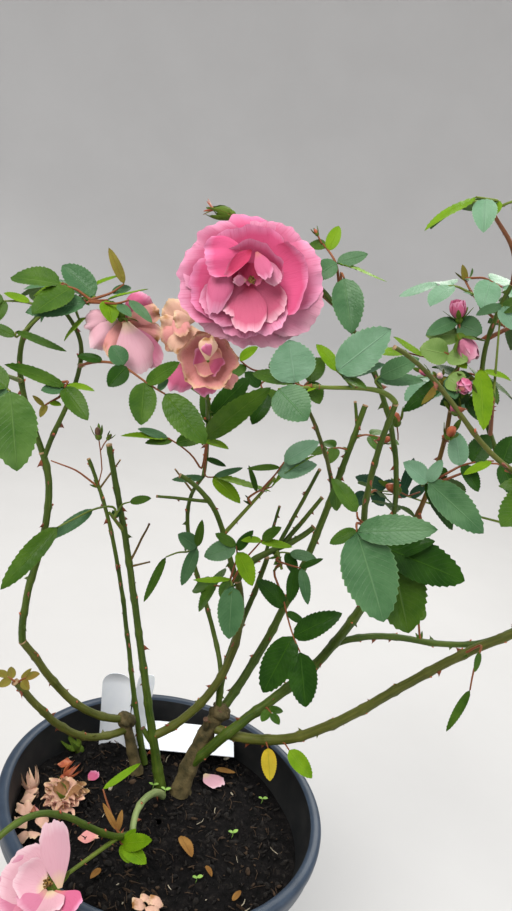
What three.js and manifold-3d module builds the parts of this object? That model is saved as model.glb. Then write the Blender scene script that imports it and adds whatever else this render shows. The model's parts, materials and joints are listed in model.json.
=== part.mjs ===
// A rose bush with long pruned canes, growing in a round nursery pot filled with compost.
// Millimetres, +Z up. The origin is the centre of the pot's flat underside, +X is to the right
// of the viewer and +Y points away from the viewer.

import * as THREE from 'three';
import { mergeVertices } from 'three/addons/utils/BufferGeometryUtils.js';
import Module from 'manifold-3d';

const wasm = await Module();
wasm.setup();

// Driving dimensions

const POT_HEIGHT = 225;
const RIM_RADIUS = 140;
const MOUTH_RADIUS = 130;
const BASE_RADIUS = 98;
const WALL = 2.4;
const LIP_DROP = 20;
const SOIL_TOP = POT_HEIGHT - 33;
const SEAT_GAP = 0.3;
const LEAF_CLEARANCE = 0.8;
const BLADE_BROAD = 0.74;
const BLADE_THICKNESS = 0.03;
const PETAL_THICKNESS = 0.05;
const WIDEST = 0.48;
const EDGE_LIFT = 0.04;
const TIP_DROP = -0.04;
const STALK_RADIUS = 1;
const TWIG_RADIUS = 1.2;
const STEM_RADIUS = 1.6;
const GOLDEN_TURN = 137.5;
const OPEN_SKY = new THREE.Vector3(0, -0.5, 1).normalize();

// The photograph's camera: it looks along +Y and a little down, and is rolled. Lengths are in
// millimetres, and what belongs to the photograph is in pixels.

const VIEW_FROM = new THREE.Vector3(10, -535, 671);
const FOCAL_PX = 720;
const PHOTO_CENTRE = [256, 455.5];
const PITCH_DOWN = THREE.MathUtils.degToRad(14.2);
const ROLL = -0.231;

// Each limb bends once between its two ends. leave and arrive are its headings there, as
// azimuth and elevation in degrees, and thick gives its radius at the two ends.
// A limb with "on" grows from that limb, at that fraction of its length.
// Stubs are short pruned ends, and sprigs are single leaves, that belong to the limb itself.

const LIMBS = {
  trunk: {
    from: [13, 40, SOIL_TOP], to: [33, 62, 272], leave: [73, 81], arrive: [41, 58],
    thick: [7.6, 7], flare: 3, knot: 9.5,
    stubs: [{ at: 0.72, azimuth: 250, lift: 60, length: 24, radius: 2.6 }],
  },
  left_stump: {
    from: [-32, 52, SOIL_TOP], to: [-53, 60, 241], leave: [154, 66], arrive: [162, 67],
    thick: [5, 4.8], flare: 2, knot: 7.5,
  },
  pruned_tall: {
    from: [-6, 40, SOIL_TOP], to: [-111, 40, 506], leave: [171, 70], arrive: [201, 70],
    thick: [3.9, 2.4], flare: 1.5,
    stubs: [
      { at: 0.13, azimuth: 172, lift: 45, length: 20, radius: 2.6 },
      { at: 0.66, azimuth: 350, lift: 30, length: 20, radius: 0.9 },
      { at: 0.67, azimuth: 355, lift: 75, length: 42, radius: 1 },
    ],
  },
  pruned_thin: {
    from: [-27, 66, SOIL_TOP], to: [-140, 100, 471], leave: [150, 62], arrive: [183, 59],
    thick: [2.6, 1.7], flare: 1,
    stubs: [{ at: 0.9, azimuth: 20, lift: 65, length: 34, radius: 0.9 }],
    sprigs: [
      { at: 0.905, azimuth: 185, lift: 28, rachis: 52, leaflet: 0, leaflets: 0 },
    ],
  },
  front_low: {
    from: [-3, 30, SOIL_TOP], to: [-18, -42, 212], leave: [250, 50], arrive: [285, -25],
    thick: [3.2, 2.6], flare: 1,
  },
  left_low_cane: {
    on: ['left_stump', 1], to: [-146, 5, 331], leave: [204, 0], arrive: [211, 51],
    thick: [3.7, 3.2],
  },
  low_left_cane: {
    on: ['left_stump', 0.8], to: [-132, -46, 327], leave: [228, -2], arrive: [212, 49],
    thick: [3.5, 2.8],
    sprigs: [
      { at: 0.98, azimuth: 200, lift: 45, rachis: 10, leaflet: 11, leaflets: 3 },
      { at: 0.98, azimuth: 320, lift: 60, rachis: 12, leaflet: 12, leaflets: 3 },
    ],
  },
  left_high_cane: {
    on: ['left_low_cane', 1], to: [-149, -12, 503], leave: [208, 80], arrive: [194, 65],
    thick: [3.1, 2.6],
  },
  left_outer: {
    on: ['left_high_cane', 1], to: [-159, -24, 609], leave: [198, 64], arrive: [20, 43],
    thick: [2.4, 1.7],
  },
  left_inner: {
    on: ['left_high_cane', 0.97], to: [-141, -45, 616], leave: [305, 70], arrive: [206, 36],
    thick: [2, 1.4],
  },
  mid_cane: {
    on: ['pruned_tall', 0.16], to: [19, 48, 410], leave: [7, 35], arrive: [199, 64],
    thick: [4.1, 3.2],
  },
  fork_right: {
    on: ['mid_cane', 1], to: [73, 58, 471], leave: [0, 84], arrive: [18, 57],
    thick: [3.2, 2.4],
    stubs: [
      { at: 0.55, azimuth: 325, lift: 75, length: 84, radius: 1.7 },
      { at: 0.6, azimuth: 20, lift: 62, length: 56, radius: 2 },
      { at: 0.42, azimuth: 70, lift: 80, length: 44, radius: 1.4 },
    ],
  },
  fork_left: {
    on: ['mid_cane', 0.95], to: [-48, 36, 495], leave: [190, 59], arrive: [186, 15],
    thick: [2.6, 2],
    stubs: [{ at: 0.72, azimuth: 186, lift: -6, length: 44, radius: 1.4 }],
  },
  thin_cane: {
    on: ['mid_cane', 0.47], to: [-31, 72, 488], leave: [105, 30], arrive: [327, 55],
    thick: [2.3, 1.7],
    stubs: [{ at: 0.9, azimuth: 160, lift: 35, length: 26, radius: 0.9 }],
  },
  bloom_cane: {
    on: ['thin_cane', 1], to: [-36, -28, 596], leave: [100, 62], arrive: [265, 62],
    thick: [1.8, 1.5],
  },
  second_cane: {
    on: ['trunk', 0.95], to: [40, 62, 432], leave: [195, 76], arrive: [271, 75],
    thick: [3.2, 2.2],
  },
  front_cane: {
    on: ['trunk', 0.3], to: [127, 25, 427], leave: [348, 62], arrive: [286, 63],
    thick: [4.9, 3.9], slack: [0.49, 0.62],
    sprigs: [
      { at: 0.38, azimuth: 300, lift: 20, rachis: 14, leaflet: 14, leaflets: 3 },
    ],
  },
  upper_cane: {
    on: ['front_cane', 1], to: [91, -66, 608], leave: [238, 55], arrive: [275, 70],
    thick: [2.9, 1.9], slack: [0.5, 0.36],
    sprigs: [
      { at: 0.62, azimuth: 60, lift: 10, rachis: 24, leaflet: 20, leaflets: 3 },
    ],
  },
  flower_cane: {
    on: ['front_cane', 0.96], to: [20, -62, 672], leave: [310, 74], arrive: [205, 30],
    thick: [2.3, 1.7],
    sprigs: [
      { at: 0.33, azimuth: 80, lift: 10, rachis: 26, leaflet: 22, leaflets: 3 },
    ],
  },
  tall_cane: {
    on: ['trunk', 1], to: [100, 142, 572], leave: [56, 41], arrive: [23, 84],
    thick: [4.3, 2.7],
    stubs: [{ at: 0.93, azimuth: 190, lift: 70, length: 26, radius: 1.6 }],
    sprigs: [
      { at: 0.86, azimuth: 200, lift: 5, rachis: 22, leaflet: 20, leaflets: 3 },
      { at: 0.9, azimuth: 330, lift: 30, rachis: 26, leaflet: 20, leaflets: 3 },
    ],
  },
  side_cane: {
    on: ['tall_cane', 0.72], to: [33, 68, 583], leave: [243, 53], arrive: [232, 42],
    thick: [2.1, 1.6],
    sprigs: [
      { at: 0.2, azimuth: 330, lift: -40, rachis: 10, leaflet: 30, leaflets: 1 },
    ],
  },
  right_long: {
    on: ['trunk', 0.8], to: [245, -20, 458], leave: [345, -5], arrive: [343, 41],
    thick: [4.8, 3.4], slack: [0.34, 0.42],
    sprigs: [
      { at: 0.16, azimuth: 290, lift: -70, rachis: 7, leaflet: 25, leaflets: 1 },
      { at: 0.23, azimuth: 320, lift: -55, rachis: 8, leaflet: 27, leaflets: 1 },
      { at: 0.9, azimuth: 225, lift: -65, rachis: 24, leaflet: 36, leaflets: 1 },
    ],
  },
  right_low: {
    on: ['front_cane', 0.75], to: [276, 55, 434], leave: [15, 32], arrive: [342, 60],
    thick: [3, 2.6], slack: [0.39, 0.5],
    sprigs: [
      { at: 0.44, azimuth: 160, lift: 70, rachis: 44, leaflet: 15, leaflets: 5 },
    ],
  },
  right_mid: {
    on: ['front_cane', 0.99], to: [146, 12, 602], leave: [13, 70], arrive: [233, 72],
    thick: [2.5, 1.7],
  },
  right_upper: {
    on: ['right_low', 1], to: [166, 24, 702], leave: [230, 77], arrive: [331, 77],
    thick: [2.7, 1.7], slack: [0.46, 0.47],
  },
  near_upper: {
    on: ['right_long', 1], to: [184, -118, 585], leave: [282, 55], arrive: [214, 28],
    thick: [2.2, 1.7],
  },
  near_cane: {
    on: ['near_upper', 1], to: [70, -133, 647], leave: [189, 11], arrive: [183, 16],
    thick: [1.7, 1.3], slack: [0.5, 0.36],
  },
  front_left: {
    on: ['front_low', 1], to: [-102, -165, 278], leave: [247, 20], arrive: [229, -54],
    thick: [2.7, 2], slack: [0.4, 0.47],
    sprigs: [
      { at: 0.04, azimuth: 300, lift: 15, rachis: 8, leaflet: 20, leaflets: 3 },
      { at: 0.1, azimuth: 150, lift: 60, rachis: 34, leaflet: 20, leaflets: 1 },
    ],
  },
};

// Each spray of leaves or blossom grows from one stem that leaves its limb and ends at "to".
// Its leaves follow each other along the stem: the first points to the azimuth "phase", each
// next one is turned on by "turn", and lift is the angle at which they rise.

const SPRAYS = {
  left_outer_spray: {
    on: ['left_outer', 1], to: [-150, -22, 624], leaves: 1, phase: 130, turn: 115, lift: 10,
    rachis: 34, leaflet: 28, leaflets: 5, seed: 11,
  },
  left_edge_spray: {
    on: ['left_outer', 0.5], to: [-168, -62, 566], leaves: 0, phase: 292, turn: 150, lift: -35,
    rachis: 26, leaflet: 44, leaflets: 3, seed: 12,
  },
  left_low_spray: {
    on: ['left_inner', 0.5], to: [-133, -54, 567], leaves: 0, phase: 195, turn: 65, lift: -5,
    rachis: 16, leaflet: 26, leaflets: 3, seed: 13,
  },
  left_reach_leaf: {
    on: ['left_inner', 0.66], to: [-122, -42, 580], leaves: 0, phase: 341, turn: 0, lift: 14,
    rachis: 62, leaflet: 25, leaflets: 7, seed: 14,
  },
  left_inner_spray: {
    on: ['left_inner', 1], to: [-121, -50, 626], leaves: 1, phase: 110, turn: 100, lift: 20,
    rachis: 24, leaflet: 38, leaflets: 3, seed: 15,
  },
  faded_bloom_left: {
    on: ['bloom_cane', 0.8], to: [-90, -40, 600], leaves: 0, phase: 100, turn: 120, lift: 30,
    rachis: 24, leaflet: 28, leaflets: 3, seed: 16,
    blooms: [{ kind: 'faded', size: 56, azimuth: 215, lift: -42 }],
  },
  faded_bloom_right: {
    on: ['bloom_cane', 1], to: [-44, -54, 618], leaves: 1, phase: 20, turn: 0, lift: 20,
    rachis: 24, leaflet: 26, leaflets: 3, seed: 17,
    blooms: [{ kind: 'faded', size: 66, azimuth: 250, lift: -30 }],
  },
  main_bloom: {
    on: ['flower_cane', 1], to: [-19, -84, 660], leaves: 0, phase: 0, turn: 0, lift: 0,
    rachis: 20, leaflet: 20, leaflets: 3, seed: 18,
    blooms: [{ kind: 'open', size: 96, azimuth: 268, lift: 8 }],
  },
  top_bud: {
    on: ['flower_cane', 0.93], to: [-40, -44, 700], leaves: 0, phase: 0, turn: 0, lift: 0,
    rachis: 20, leaflet: 20, leaflets: 3, seed: 19,
    blooms: [{ kind: 'bud', size: 24, azimuth: 190, lift: 35 }],
  },
  flower_leaf: {
    on: ['flower_cane', 0.84], to: [42, -52, 658], leaves: 0, phase: 215, turn: 0, lift: 82,
    rachis: 40, leaflet: 31, leaflets: 5, seed: 20,
  },
  arch_spray: {
    on: ['upper_cane', 1], to: [34, -90, 610], leaves: 0, phase: 20, turn: 112, lift: 10,
    rachis: 22, leaflet: 36, leaflets: 3, seed: 21,
  },
  side_spray: {
    on: ['side_cane', 1], to: [22, 54, 602], leaves: 1, phase: 80, turn: 112, lift: 15,
    rachis: 26, leaflet: 32, leaflets: 3, seed: 22,
  },
  thin_spray: {
    on: ['bloom_cane', 0.3], to: [-36, 36, 538], leaves: 0, phase: 20, turn: 160, lift: 25,
    rachis: 34, leaflet: 34, leaflets: 5, seed: 23,
  },
  mid_spray: {
    on: ['fork_left', 0.45], to: [30, 50, 508], leaves: 0, phase: 150, turn: 130, lift: 18,
    rachis: 24, leaflet: 28, leaflets: 3, seed: 24,
  },
  left_long_leaf: {
    on: ['pruned_tall', 0.76], to: [-98, 28, 452], leaves: 0, phase: 212, turn: 148, lift: -12,
    rachis: 66, leaflet: 32, leaflets: 5, seed: 25,
  },
  thin_leaf: {
    on: ['thin_cane', 0.6], to: [-32, 66, 424], leaves: 0, phase: 215, turn: 250, lift: -25,
    rachis: 34, leaflet: 28, leaflets: 5, seed: 26,
  },
  centre_spray: {
    on: ['mid_cane', 0.93], to: [12, 22, 412], leaves: 1, phase: 100, turn: 100, lift: -15,
    rachis: 18, leaflet: 30, leaflets: 3, seed: 27,
  },
  hanging_leaf: {
    on: ['fork_right', 0.55], to: [54, 42, 432], leaves: 0, phase: 315, turn: 0, lift: -48,
    rachis: 82, leaflet: 40, leaflets: 5, seed: 28,
  },
  big_leaf_spray: {
    on: ['upper_cane', 0.42], to: [93, -84, 527], leaves: 0, phase: 290, turn: 44, lift: -20,
    rachis: 25, leaflet: 45, leaflets: 3, seed: 29,
  },
  right_mid_spray: {
    on: ['right_mid', 0.62], to: [152, 4, 548], leaves: 1, phase: 70, turn: 100, lift: 5,
    rachis: 26, leaflet: 32, leaflets: 3, seed: 30,
  },
  right_top_spray: {
    on: ['right_mid', 1], to: [140, 10, 648], leaves: 2, phase: 40, turn: 137.5, lift: 15,
    rachis: 30, leaflet: 28, leaflets: 5, seed: 31,
    blooms: [{ kind: 'bud', size: 20, azimuth: 200, lift: 75 }],
  },
  right_upper_spray: {
    on: ['right_upper', 0.6], to: [170, -4, 618], leaves: 1, phase: 60, turn: 137.5, lift: 0,
    rachis: 28, leaflet: 34, leaflets: 3, seed: 32, twigs: 1,
    blooms: [{ kind: 'bud', size: 22, azimuth: 170, lift: 50 }],
  },
  right_back_spray: {
    on: ['right_upper', 0.3], to: [262, 92, 530], leaves: 1, phase: 60, turn: 137.5, lift: 15,
    rachis: 30, leaflet: 36, leaflets: 3, seed: 33,
  },
  right_crown_spray: {
    on: ['right_upper', 0.86], to: [206, 60, 690], leaves: 4, phase: 60, turn: 137.5, lift: 15,
    rachis: 32, leaflet: 34, leaflets: 3, seed: 34, twigs: 1,
  },
  top_right_spray: {
    on: ['right_upper', 1], to: [116, -52, 742], leaves: 2, phase: 30, turn: 100, lift: 5,
    rachis: 26, leaflet: 28, leaflets: 3, seed: 35,
  },
  near_spray: {
    on: ['near_upper', 0.97], to: [206, -134, 604], leaves: 4, phase: 230, turn: 110, lift: 5,
    rachis: 34, leaflet: 34, leaflets: 3, seed: 36, twigs: 1,
  },
  low_bloom: {
    on: ['front_left', 0.12], to: [-58, -144, 250], leaves: 0, phase: 0, turn: 0, lift: 0,
    rachis: 20, leaflet: 20, leaflets: 3, seed: 37,
    blooms: [{ kind: 'open', size: 78, azimuth: 240, lift: 58 }],
  },
};

// The leaves that the photograph shows, by the spray that carries them. A spot is a place in the
// photograph in pixels and its depth behind the pot's centre in millimetres. A leaflet's width is
// in millimetres, and it faces the open sky at 0 and the viewer at 1.

const leaflet = (foot, tip, broad, facing) => ({ foot, tip, broad, facing });

const SEEN_LEAVES = {
  left_inner_spray: [
    { stalk: [[86, 303, -56]], leaflets: [
      leaflet([86, 303, -56], [25, 311, -70], 16, 0.5),
    ] },
    { stalk: [[95, 296, -45]], leaflets: [
      leaflet([95, 296, -45], [62, 263, -42], 18, 0.6),
    ] },
    { stalk: [[84, 291, -38], [62, 283, -32]], leaflets: [
      leaflet([62, 284, -32], [32, 294, -38], 9, -0.2),
      leaflet([86, 290, -38], [118, 273, -38], 7, -0.2),
    ] },
    { stalk: [[108, 300, -57]], leaflets: [
      leaflet([108, 300, -57], [147, 286, -62], 8, -0.3),
      leaflet([107, 301, -57], [112, 321, -68], 13, 0.2),
    ] },
    { stalk: [[112, 293, -44], [124, 284, -42]], leaflets: [
      leaflet([124, 284, -42], [109, 247, -40], 7, 0.5),
      leaflet([112, 293, -44], [132, 286, -34], 7, 0.5),
    ] },
    { stalk: [[118, 304, -65], [129, 300, -68]], leaflets: [
      leaflet([129, 300, -68], [152, 321, -78], 7, 0.5),
      leaflet([118, 304, -65], [131, 316, -76], 7, 0.5),
    ] },
    { stalk: [[80, 322, -54], [85, 318, -56]], leaflets: [
      leaflet([85, 318, -56], [62, 339, -58], 12, -0.3),
    ] },
  ],
  left_outer_spray: [
    { stalk: [[14, 340, -40], [16, 332, -42]], leaflets: [
      leaflet([16, 332, -42], [65, 349, -58], 6, 0.6),
      leaflet([15, 336, -41], [-14, 322, -40], 9, 0.5),
    ] },
    { stalk: [[32, 303, -28], [18, 301, -28], [4, 301, -28]], leaflets: [
      leaflet([30, 302, -28], [4, 291, -30], 7, 0.3),
      leaflet([4, 301, -28], [-34, 296, -30], 14, 0.4),
      leaflet([6, 302, -28], [-12, 324, -36], 12, 0.4),
    ] },
  ],
  left_low_spray: [
    { stalk: [[69, 381, -58], [64, 388, -60]], leaflets: [
      leaflet([64, 386, -60], [7, 361, -76], 10, 0.4),
      leaflet([66, 391, -60], [41, 390, -70], 9, 0.5),
      leaflet([65, 389, -60], [87, 417, -76], 14, 0.6),
      leaflet([67, 385, -59], [95, 390, -56], 8, -0.1),
    ] },
    { stalk: [[62, 396, -56], [50, 402, -58], [44, 406, -60]], leaflets: [
      leaflet([44, 406, -60], [33, 395, -62], 4, 0.4),
      leaflet([50, 402, -58], [61, 405, -62], 5, 0.4),
      leaflet([46, 404, -60], [40, 417, -66], 5, 0.4),
    ] },
  ],
  left_edge_spray: [
    { stalk: [[6, 388, -88], [10, 391, -95]], leaflets: [
      leaflet([10, 391, -95], [17, 470, -112], 30, 0.7),
      leaflet([7, 389, -92], [-44, 428, -98], 22, 0.5),
      leaflet([7, 388, -91], [-30, 360, -84], 18, 0.5),
    ] },
  ],
  left_reach_leaf: [
    { stalk: [[74, 369, -37], [85, 363, -46], [105, 361, -60], [125, 365, -76], [145, 383, -78],
      [165, 394, -78]], leaflets: [
      leaflet([165, 394, -78], [206, 444, -90], 20, 0.7),
      leaflet([144, 383, -78], [141, 425, -90], 18, 0.8),
      leaflet([146, 384, -78], [179, 362, -82], 11, 0.6),
      leaflet([124, 364, -76], [111, 345, -74], 13, 0.7),
      leaflet([126, 367, -76], [108, 386, -84], 13, 0.7),
      leaflet([103, 361, -58], [77, 354, -58], 8, 0.3),
      leaflet([158, 391, -78], [168, 379, -78], 5, 0.5),
    ] },
  ],
  thin_spray: [
    { stalk: [[202, 446, 34], [206, 438, 28]], leaflets: [
      leaflet([206, 438, 28], [264, 388, 4], 20, 0.6),
      leaflet([204, 440, 29], [228, 446, 18], 8, 0.2),
    ] },
    { stalk: [[203, 440, 34], [208, 424, 30], [212, 416, 28]], leaflets: [
      leaflet([212, 416, 28], [247, 377, 24], 18, 0.5),
      leaflet([208, 424, 30], [203, 390, 30], 10, 0.5),
    ] },
    { stalk: [[202, 474, 52], [195, 457, 48], [180, 445, 44], [168, 438, 42]], leaflets: [
      leaflet([168, 438, 42], [138, 428, 36], 8, 0.5),
      leaflet([172, 441, 43], [145, 442, 36], 9, 0.4),
      leaflet([176, 443, 44], [207, 435, 36], 13, 0.5),
      leaflet([168, 438, 42], [121, 434, 30], 7, 0.2),
    ] },
    { stalk: [[204, 478, 54], [214, 477, 50]], leaflets: [
      leaflet([214, 477, 50], [242, 467, 46], 6, 0.5),
      leaflet([213, 478, 50], [241, 501, 38], 15, 0.2),
      leaflet([214, 478, 50], [271, 486, 44], 10, -0.2),
      leaflet([205, 478, 55], [171, 479, 58], 7, 0.6),
    ] },
    { stalk: [[203, 468, 56], [206, 459, 58]], leaflets: [
      leaflet([206, 459, 58], [226, 465, 54], 6, 0.4),
    ] },
  ],
  mid_spray: [
    { stalk: [[246, 499, 46], [258, 491, 42], [271, 487, 38]], leaflets: [
      leaflet([271, 487, 38], [311, 450, 26], 12, -0.3),
      leaflet([256, 492, 42], [250, 466, 42], 5, 0.5),
    ] },
    { stalk: [[262, 489, 36], [276, 474, 30], [284, 462, 28]], leaflets: [
      leaflet([284, 460, 28], [318, 441, 24], 16, 0.5),
      leaflet([280, 468, 29], [247, 467, 26], 6, 0.5),
      leaflet([282, 476, 30], [316, 464, 24], 16, 0.7),
    ] },
  ],
  side_spray: [
    { stalk: [[256, 372, 50], [246, 366, 44], [240, 360, 38]], leaflets: [
      leaflet([240, 360, 38], [256, 346, 32], 10, 0.3),
      leaflet([246, 366, 44], [228, 378, 36], 10, 0.4),
    ] },
    { stalk: [[258, 384, 46], [268, 394, 38]], leaflets: [
      leaflet([269, 394, 36], [252, 423, 24], 15, 0.3),
      leaflet([260, 386, 44], [246, 372, 38], 12, 0.5),
      leaflet([264, 390, 40], [288, 412, 40], 14, 0.4),
    ] },
  ],
  arch_spray: [
    { stalk: [[303, 387, -90], [295, 383, -92]], leaflets: [
      leaflet([295, 383, -92], [289, 340, -96], 29, 0.75),
      leaflet([296, 384, -91], [252, 371, -84], 13, 0.3),
    ] },
    { stalk: [[300, 388, -92], [291, 388, -96], [278, 389, -98]], leaflets: [
      leaflet([278, 389, -98], [307, 418, -112], 24, 0.7),
    ] },
    { stalk: [[304, 386, -88], [308, 382, -82]], leaflets: [
      leaflet([308, 382, -82], [321, 403, -86], 13, 0.3),
      leaflet([307, 382, -82], [322, 356, -72], 13, 0.4),
    ] },
    { stalk: [[343, 376, -84], [337, 371, -88]], leaflets: [
      leaflet([337, 371, -88], [390, 329, -104], 24, 0.75),
      leaflet([337, 371, -88], [317, 343, -80], 9, 0.3),
      leaflet([341, 375, -86], [384, 364, -98], 8, 0.8),
      leaflet([343, 377, -86], [367, 388, -94], 7, 0.3),
    ] },
    { stalk: [[374, 381, -74], [380, 376, -74]], leaflets: [
      leaflet([380, 376, -74], [418, 358, -84], 13, 0.7),
      leaflet([376, 380, -74], [425, 379, -70], 10, 0.5),
    ] },
  ],
  flower_leaf: [
    { stalk: [[341, 270, -61], [344, 278, -66]], leaflets: [
      leaflet([344, 278, -66], [352, 333, -80], 20, 0.7),
    ] },
    { stalk: [[337, 263, -60], [329, 251, -54], [323, 244, -50]], leaflets: [
      leaflet([336, 263, -60], [313, 277, -66], 13, 0.6),
      leaflet([338, 263, -60], [368, 253, -60], 10, 0.5),
      leaflet([337, 264, -60], [388, 277, -68], 7, -0.2),
      leaflet([329, 250, -54], [339, 225, -48], 9, 0.3),
      leaflet([326, 248, -52], [308, 243, -46], 9, 0.5),
    ] },
  ],
  top_right_spray: [
    { stalk: [[500, 201, -56], [488, 199, -58], [476, 197, -60]], leaflets: [
      leaflet([476, 197, -60], [424, 223, -74], 9, -0.2),
      leaflet([486, 194, -59], [484, 230, -72], 15, 0.8),
      leaflet([500, 200, -56], [491, 217, -58], 7, -0.2),
    ] },
    { stalk: [[508, 203, -52], [522, 198, -46]], leaflets: [
      leaflet([522, 198, -46], [556, 182, -44], 16, 0.5),
      leaflet([518, 200, -48], [530, 224, -56], 14, 0.5),
    ] },
  ],
  right_top_spray: [
    { stalk: [[462, 342, 12], [459, 330, 14], [457, 320, 14]], leaflets: [
      leaflet([457, 320, 14], [425, 333, 2], 12, 0.5),
      leaflet([458, 324, 14], [482, 333, 4], 18, 0.8),
      leaflet([461, 336, 13], [425, 338, 8], 15, 0.5),
    ] },
    { stalk: [[462, 352, 8], [452, 356, 4], [444, 352, 2]], leaflets: [
      leaflet([444, 352, 2], [420, 344, -2], 14, 0.4),
      leaflet([446, 354, 3], [437, 379, -8], 15, 0.5),
      leaflet([452, 357, 4], [467, 368, -4], 11, 0.4),
    ] },
    { stalk: [[462, 360, 6], [454, 372, 0], [448, 377, -4]], leaflets: [
      leaflet([449, 376, -4], [468, 387, -12], 14, 0.6),
      leaflet([446, 378, -5], [430, 402, -14], 9, 0.5),
    ] },
    { stalk: [[455, 352, 14], [430, 358, 22], [408, 353, 24]], leaflets: [
      leaflet([408, 353, 24], [372, 350, 18], 10, 0.2),
      leaflet([424, 356, 24], [394, 336, 26], 8, 0.1),
    ] },
  ],
  right_upper_spray: [
    { stalk: [[484, 372, 2], [480, 369, 0]], leaflets: [
      leaflet([480, 369, 0], [485, 430, -14], 17, 0.2),
      leaflet([484, 371, 1], [512, 378, -2], 10, 0.0),
    ] },
    { stalk: [[482, 384, 8], [466, 398, 8]], leaflets: [
      leaflet([466, 398, 8], [482, 420, 2], 14, 0.4),
      leaflet([470, 395, 8], [440, 404, 4], 14, 0.4),
    ] },
    { stalk: [[500, 318, 6], [502, 305, 8]], leaflets: [
      leaflet([502, 305, 8], [476, 315, 4], 8, 0.4),
      leaflet([503, 306, 8], [516, 330, 0], 16, 0.4),
      leaflet([501, 312, 7], [528, 296, 8], 12, 0.5),
    ] },
  ],
  right_mid_spray: [
    { stalk: [[420, 486, 4], [428, 482, 0]], leaflets: [
      leaflet([428, 482, 0], [404, 462, -2], 16, 0.5),
      leaflet([430, 482, 0], [442, 460, -2], 10, 0.5),
      leaflet([431, 484, 0], [485, 533, -16], 25, 0.7),
      leaflet([428, 485, 2], [456, 531, 8], 15, 0.5),
    ] },
    { stalk: [[431, 482, 4], [448, 473, 6], [461, 465, 6], [480, 461, 6], [494, 461, 4]], leaflets: [
      leaflet([460, 466, 6], [456, 432, 4], 16, 0.8),
      leaflet([492, 461, 4], [464, 473, -4], 7, 0.4),
      leaflet([462, 466, 6], [480, 491, -2], 13, 0.4),
      leaflet([448, 473, 6], [432, 472, 14], 9, 0.5),
      leaflet([472, 462, 7], [488, 434, 12], 18, 0.5),
    ] },
    { stalk: [[494, 461, 4], [504, 466, 2], [512, 470, 0]], leaflets: [
      leaflet([500, 464, 3], [521, 499, -6], 17, 0.5),
      leaflet([502, 464, 3], [512, 436, 8], 18, 0.5),
      leaflet([512, 470, 0], [545, 462, -4], 18, 0.5),
    ] },
  ],
  right_back_spray: [
    { stalk: [[415, 500, 52], [400, 492, 54], [386, 488, 56], [366, 492, 58]], leaflets: [
      leaflet([366, 492, 58], [353, 506, 54], 12, 0.6),
      leaflet([386, 488, 56], [356, 476, 56], 13, 0.6),
      leaflet([372, 490, 57], [384, 506, 52], 12, 0.6),
      leaflet([408, 496, 53], [386, 480, 53], 13, 0.6),
      leaflet([410, 497, 53], [426, 484, 50], 9, 0.6),
      leaflet([402, 493, 54], [414, 458, 56], 9, 0.5),
    ] },
  ],
  big_leaf_spray: [
    { stalk: [[356, 522, -96], [357, 532, -104]], leaflets: [
      leaflet([357, 532, -104], [437, 528, -118], 20, 0.6),
      leaflet([356, 531, -104], [380, 622, -130], 34, 0.8),
      leaflet([355, 530, -103], [329, 543, -104], 9, 0.5),
    ] },
    { stalk: [[357, 518, -92], [357, 512, -90]], leaflets: [
      leaflet([357, 512, -90], [333, 477, -82], 12, 0.4),
    ] },
    { stalk: [[360, 524, -90], [374, 540, -84], [392, 556, -80]], leaflets: [
      leaflet([392, 556, -80], [413, 636, -98], 18, 0.6),
      leaflet([390, 555, -80], [434, 539, -84], 13, 0.3),
      leaflet([380, 547, -82], [466, 580, -92], 30, 0.5),
    ] },
  ],
  hanging_leaf: [
    { stalk: [[270, 568, 48], [282, 592, 40], [287, 616, 32], [293, 637, 24], [300, 652, 18]], leaflets: [
      leaflet([300, 652, 18], [306, 708, 2], 25, 0.75),
      leaflet([292, 637, 24], [339, 613, 16], 20, 0.6),
      leaflet([291, 637, 24], [262, 694, 6], 28, 0.7),
      leaflet([285, 606, 35], [258, 580, 30], 18, 0.4),
      leaflet([287, 612, 33], [306, 623, 28], 8, 0.4),
    ] },
    { stalk: [[272, 556, 50], [281, 552, 50], [290, 553, 48]], leaflets: [
      leaflet([290, 553, 48], [316, 558, 42], 10, 0.6),
      leaflet([286, 553, 49], [297, 575, 42], 11, 0.5),
    ] },
    { stalk: [[274, 560, 44], [292, 566, 38], [301, 568, 36]], leaflets: [
      leaflet([296, 568, 37], [290, 603, 28], 12, 0.5),
      leaflet([301, 568, 36], [309, 605, 26], 10, 0.4),
      leaflet([301, 567, 36], [322, 558, 32], 6, 0.4),
    ] },
  ],
  centre_spray: [
    { stalk: [[231, 580, 18], [232, 586, 12]], leaflets: [
      leaflet([232, 586, 12], [229, 640, -2], 22, 0.75),
      leaflet([231, 581, 16], [220, 597, 8], 12, 0.4),
      leaflet([230, 578, 18], [193, 579, 10], 6, 0.1),
    ] },
    { stalk: [[233, 570, 22], [238, 556, 18], [236, 546, 16]], leaflets: [
      leaflet([236, 546, 16], [204, 556, 8], 17, 0.7),
      leaflet([238, 550, 17], [252, 531, 14], 9, 0.5),
      leaflet([238, 552, 17], [254, 585, 6], 16, 0.0),
      leaflet([236, 546, 16], [216, 533, 14], 9, 0.5),
    ] },
    { stalk: [[244, 560, 20], [258, 545, 16], [262, 540, 16]], leaflets: [
      leaflet([262, 540, 16], [281, 527, 14], 9, 0.5),
      leaflet([262, 541, 16], [242, 539, 10], 7, 0.2),
      leaflet([261, 543, 16], [292, 545, 10], 8, 0.2),
    ] },
  ],
  left_long_leaf: [
    { stalk: [[119, 505, 44], [106, 506, 38], [93, 509, 24], [58, 527, -12]], leaflets: [
      leaflet([58, 527, -12], [-2, 588, -44], 17, 0.4),
      leaflet([93, 509, 24], [50, 538, -4], 11, 0.5),
    ] },
    { stalk: [[122, 504, 42], [130, 502, 40]], leaflets: [
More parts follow.
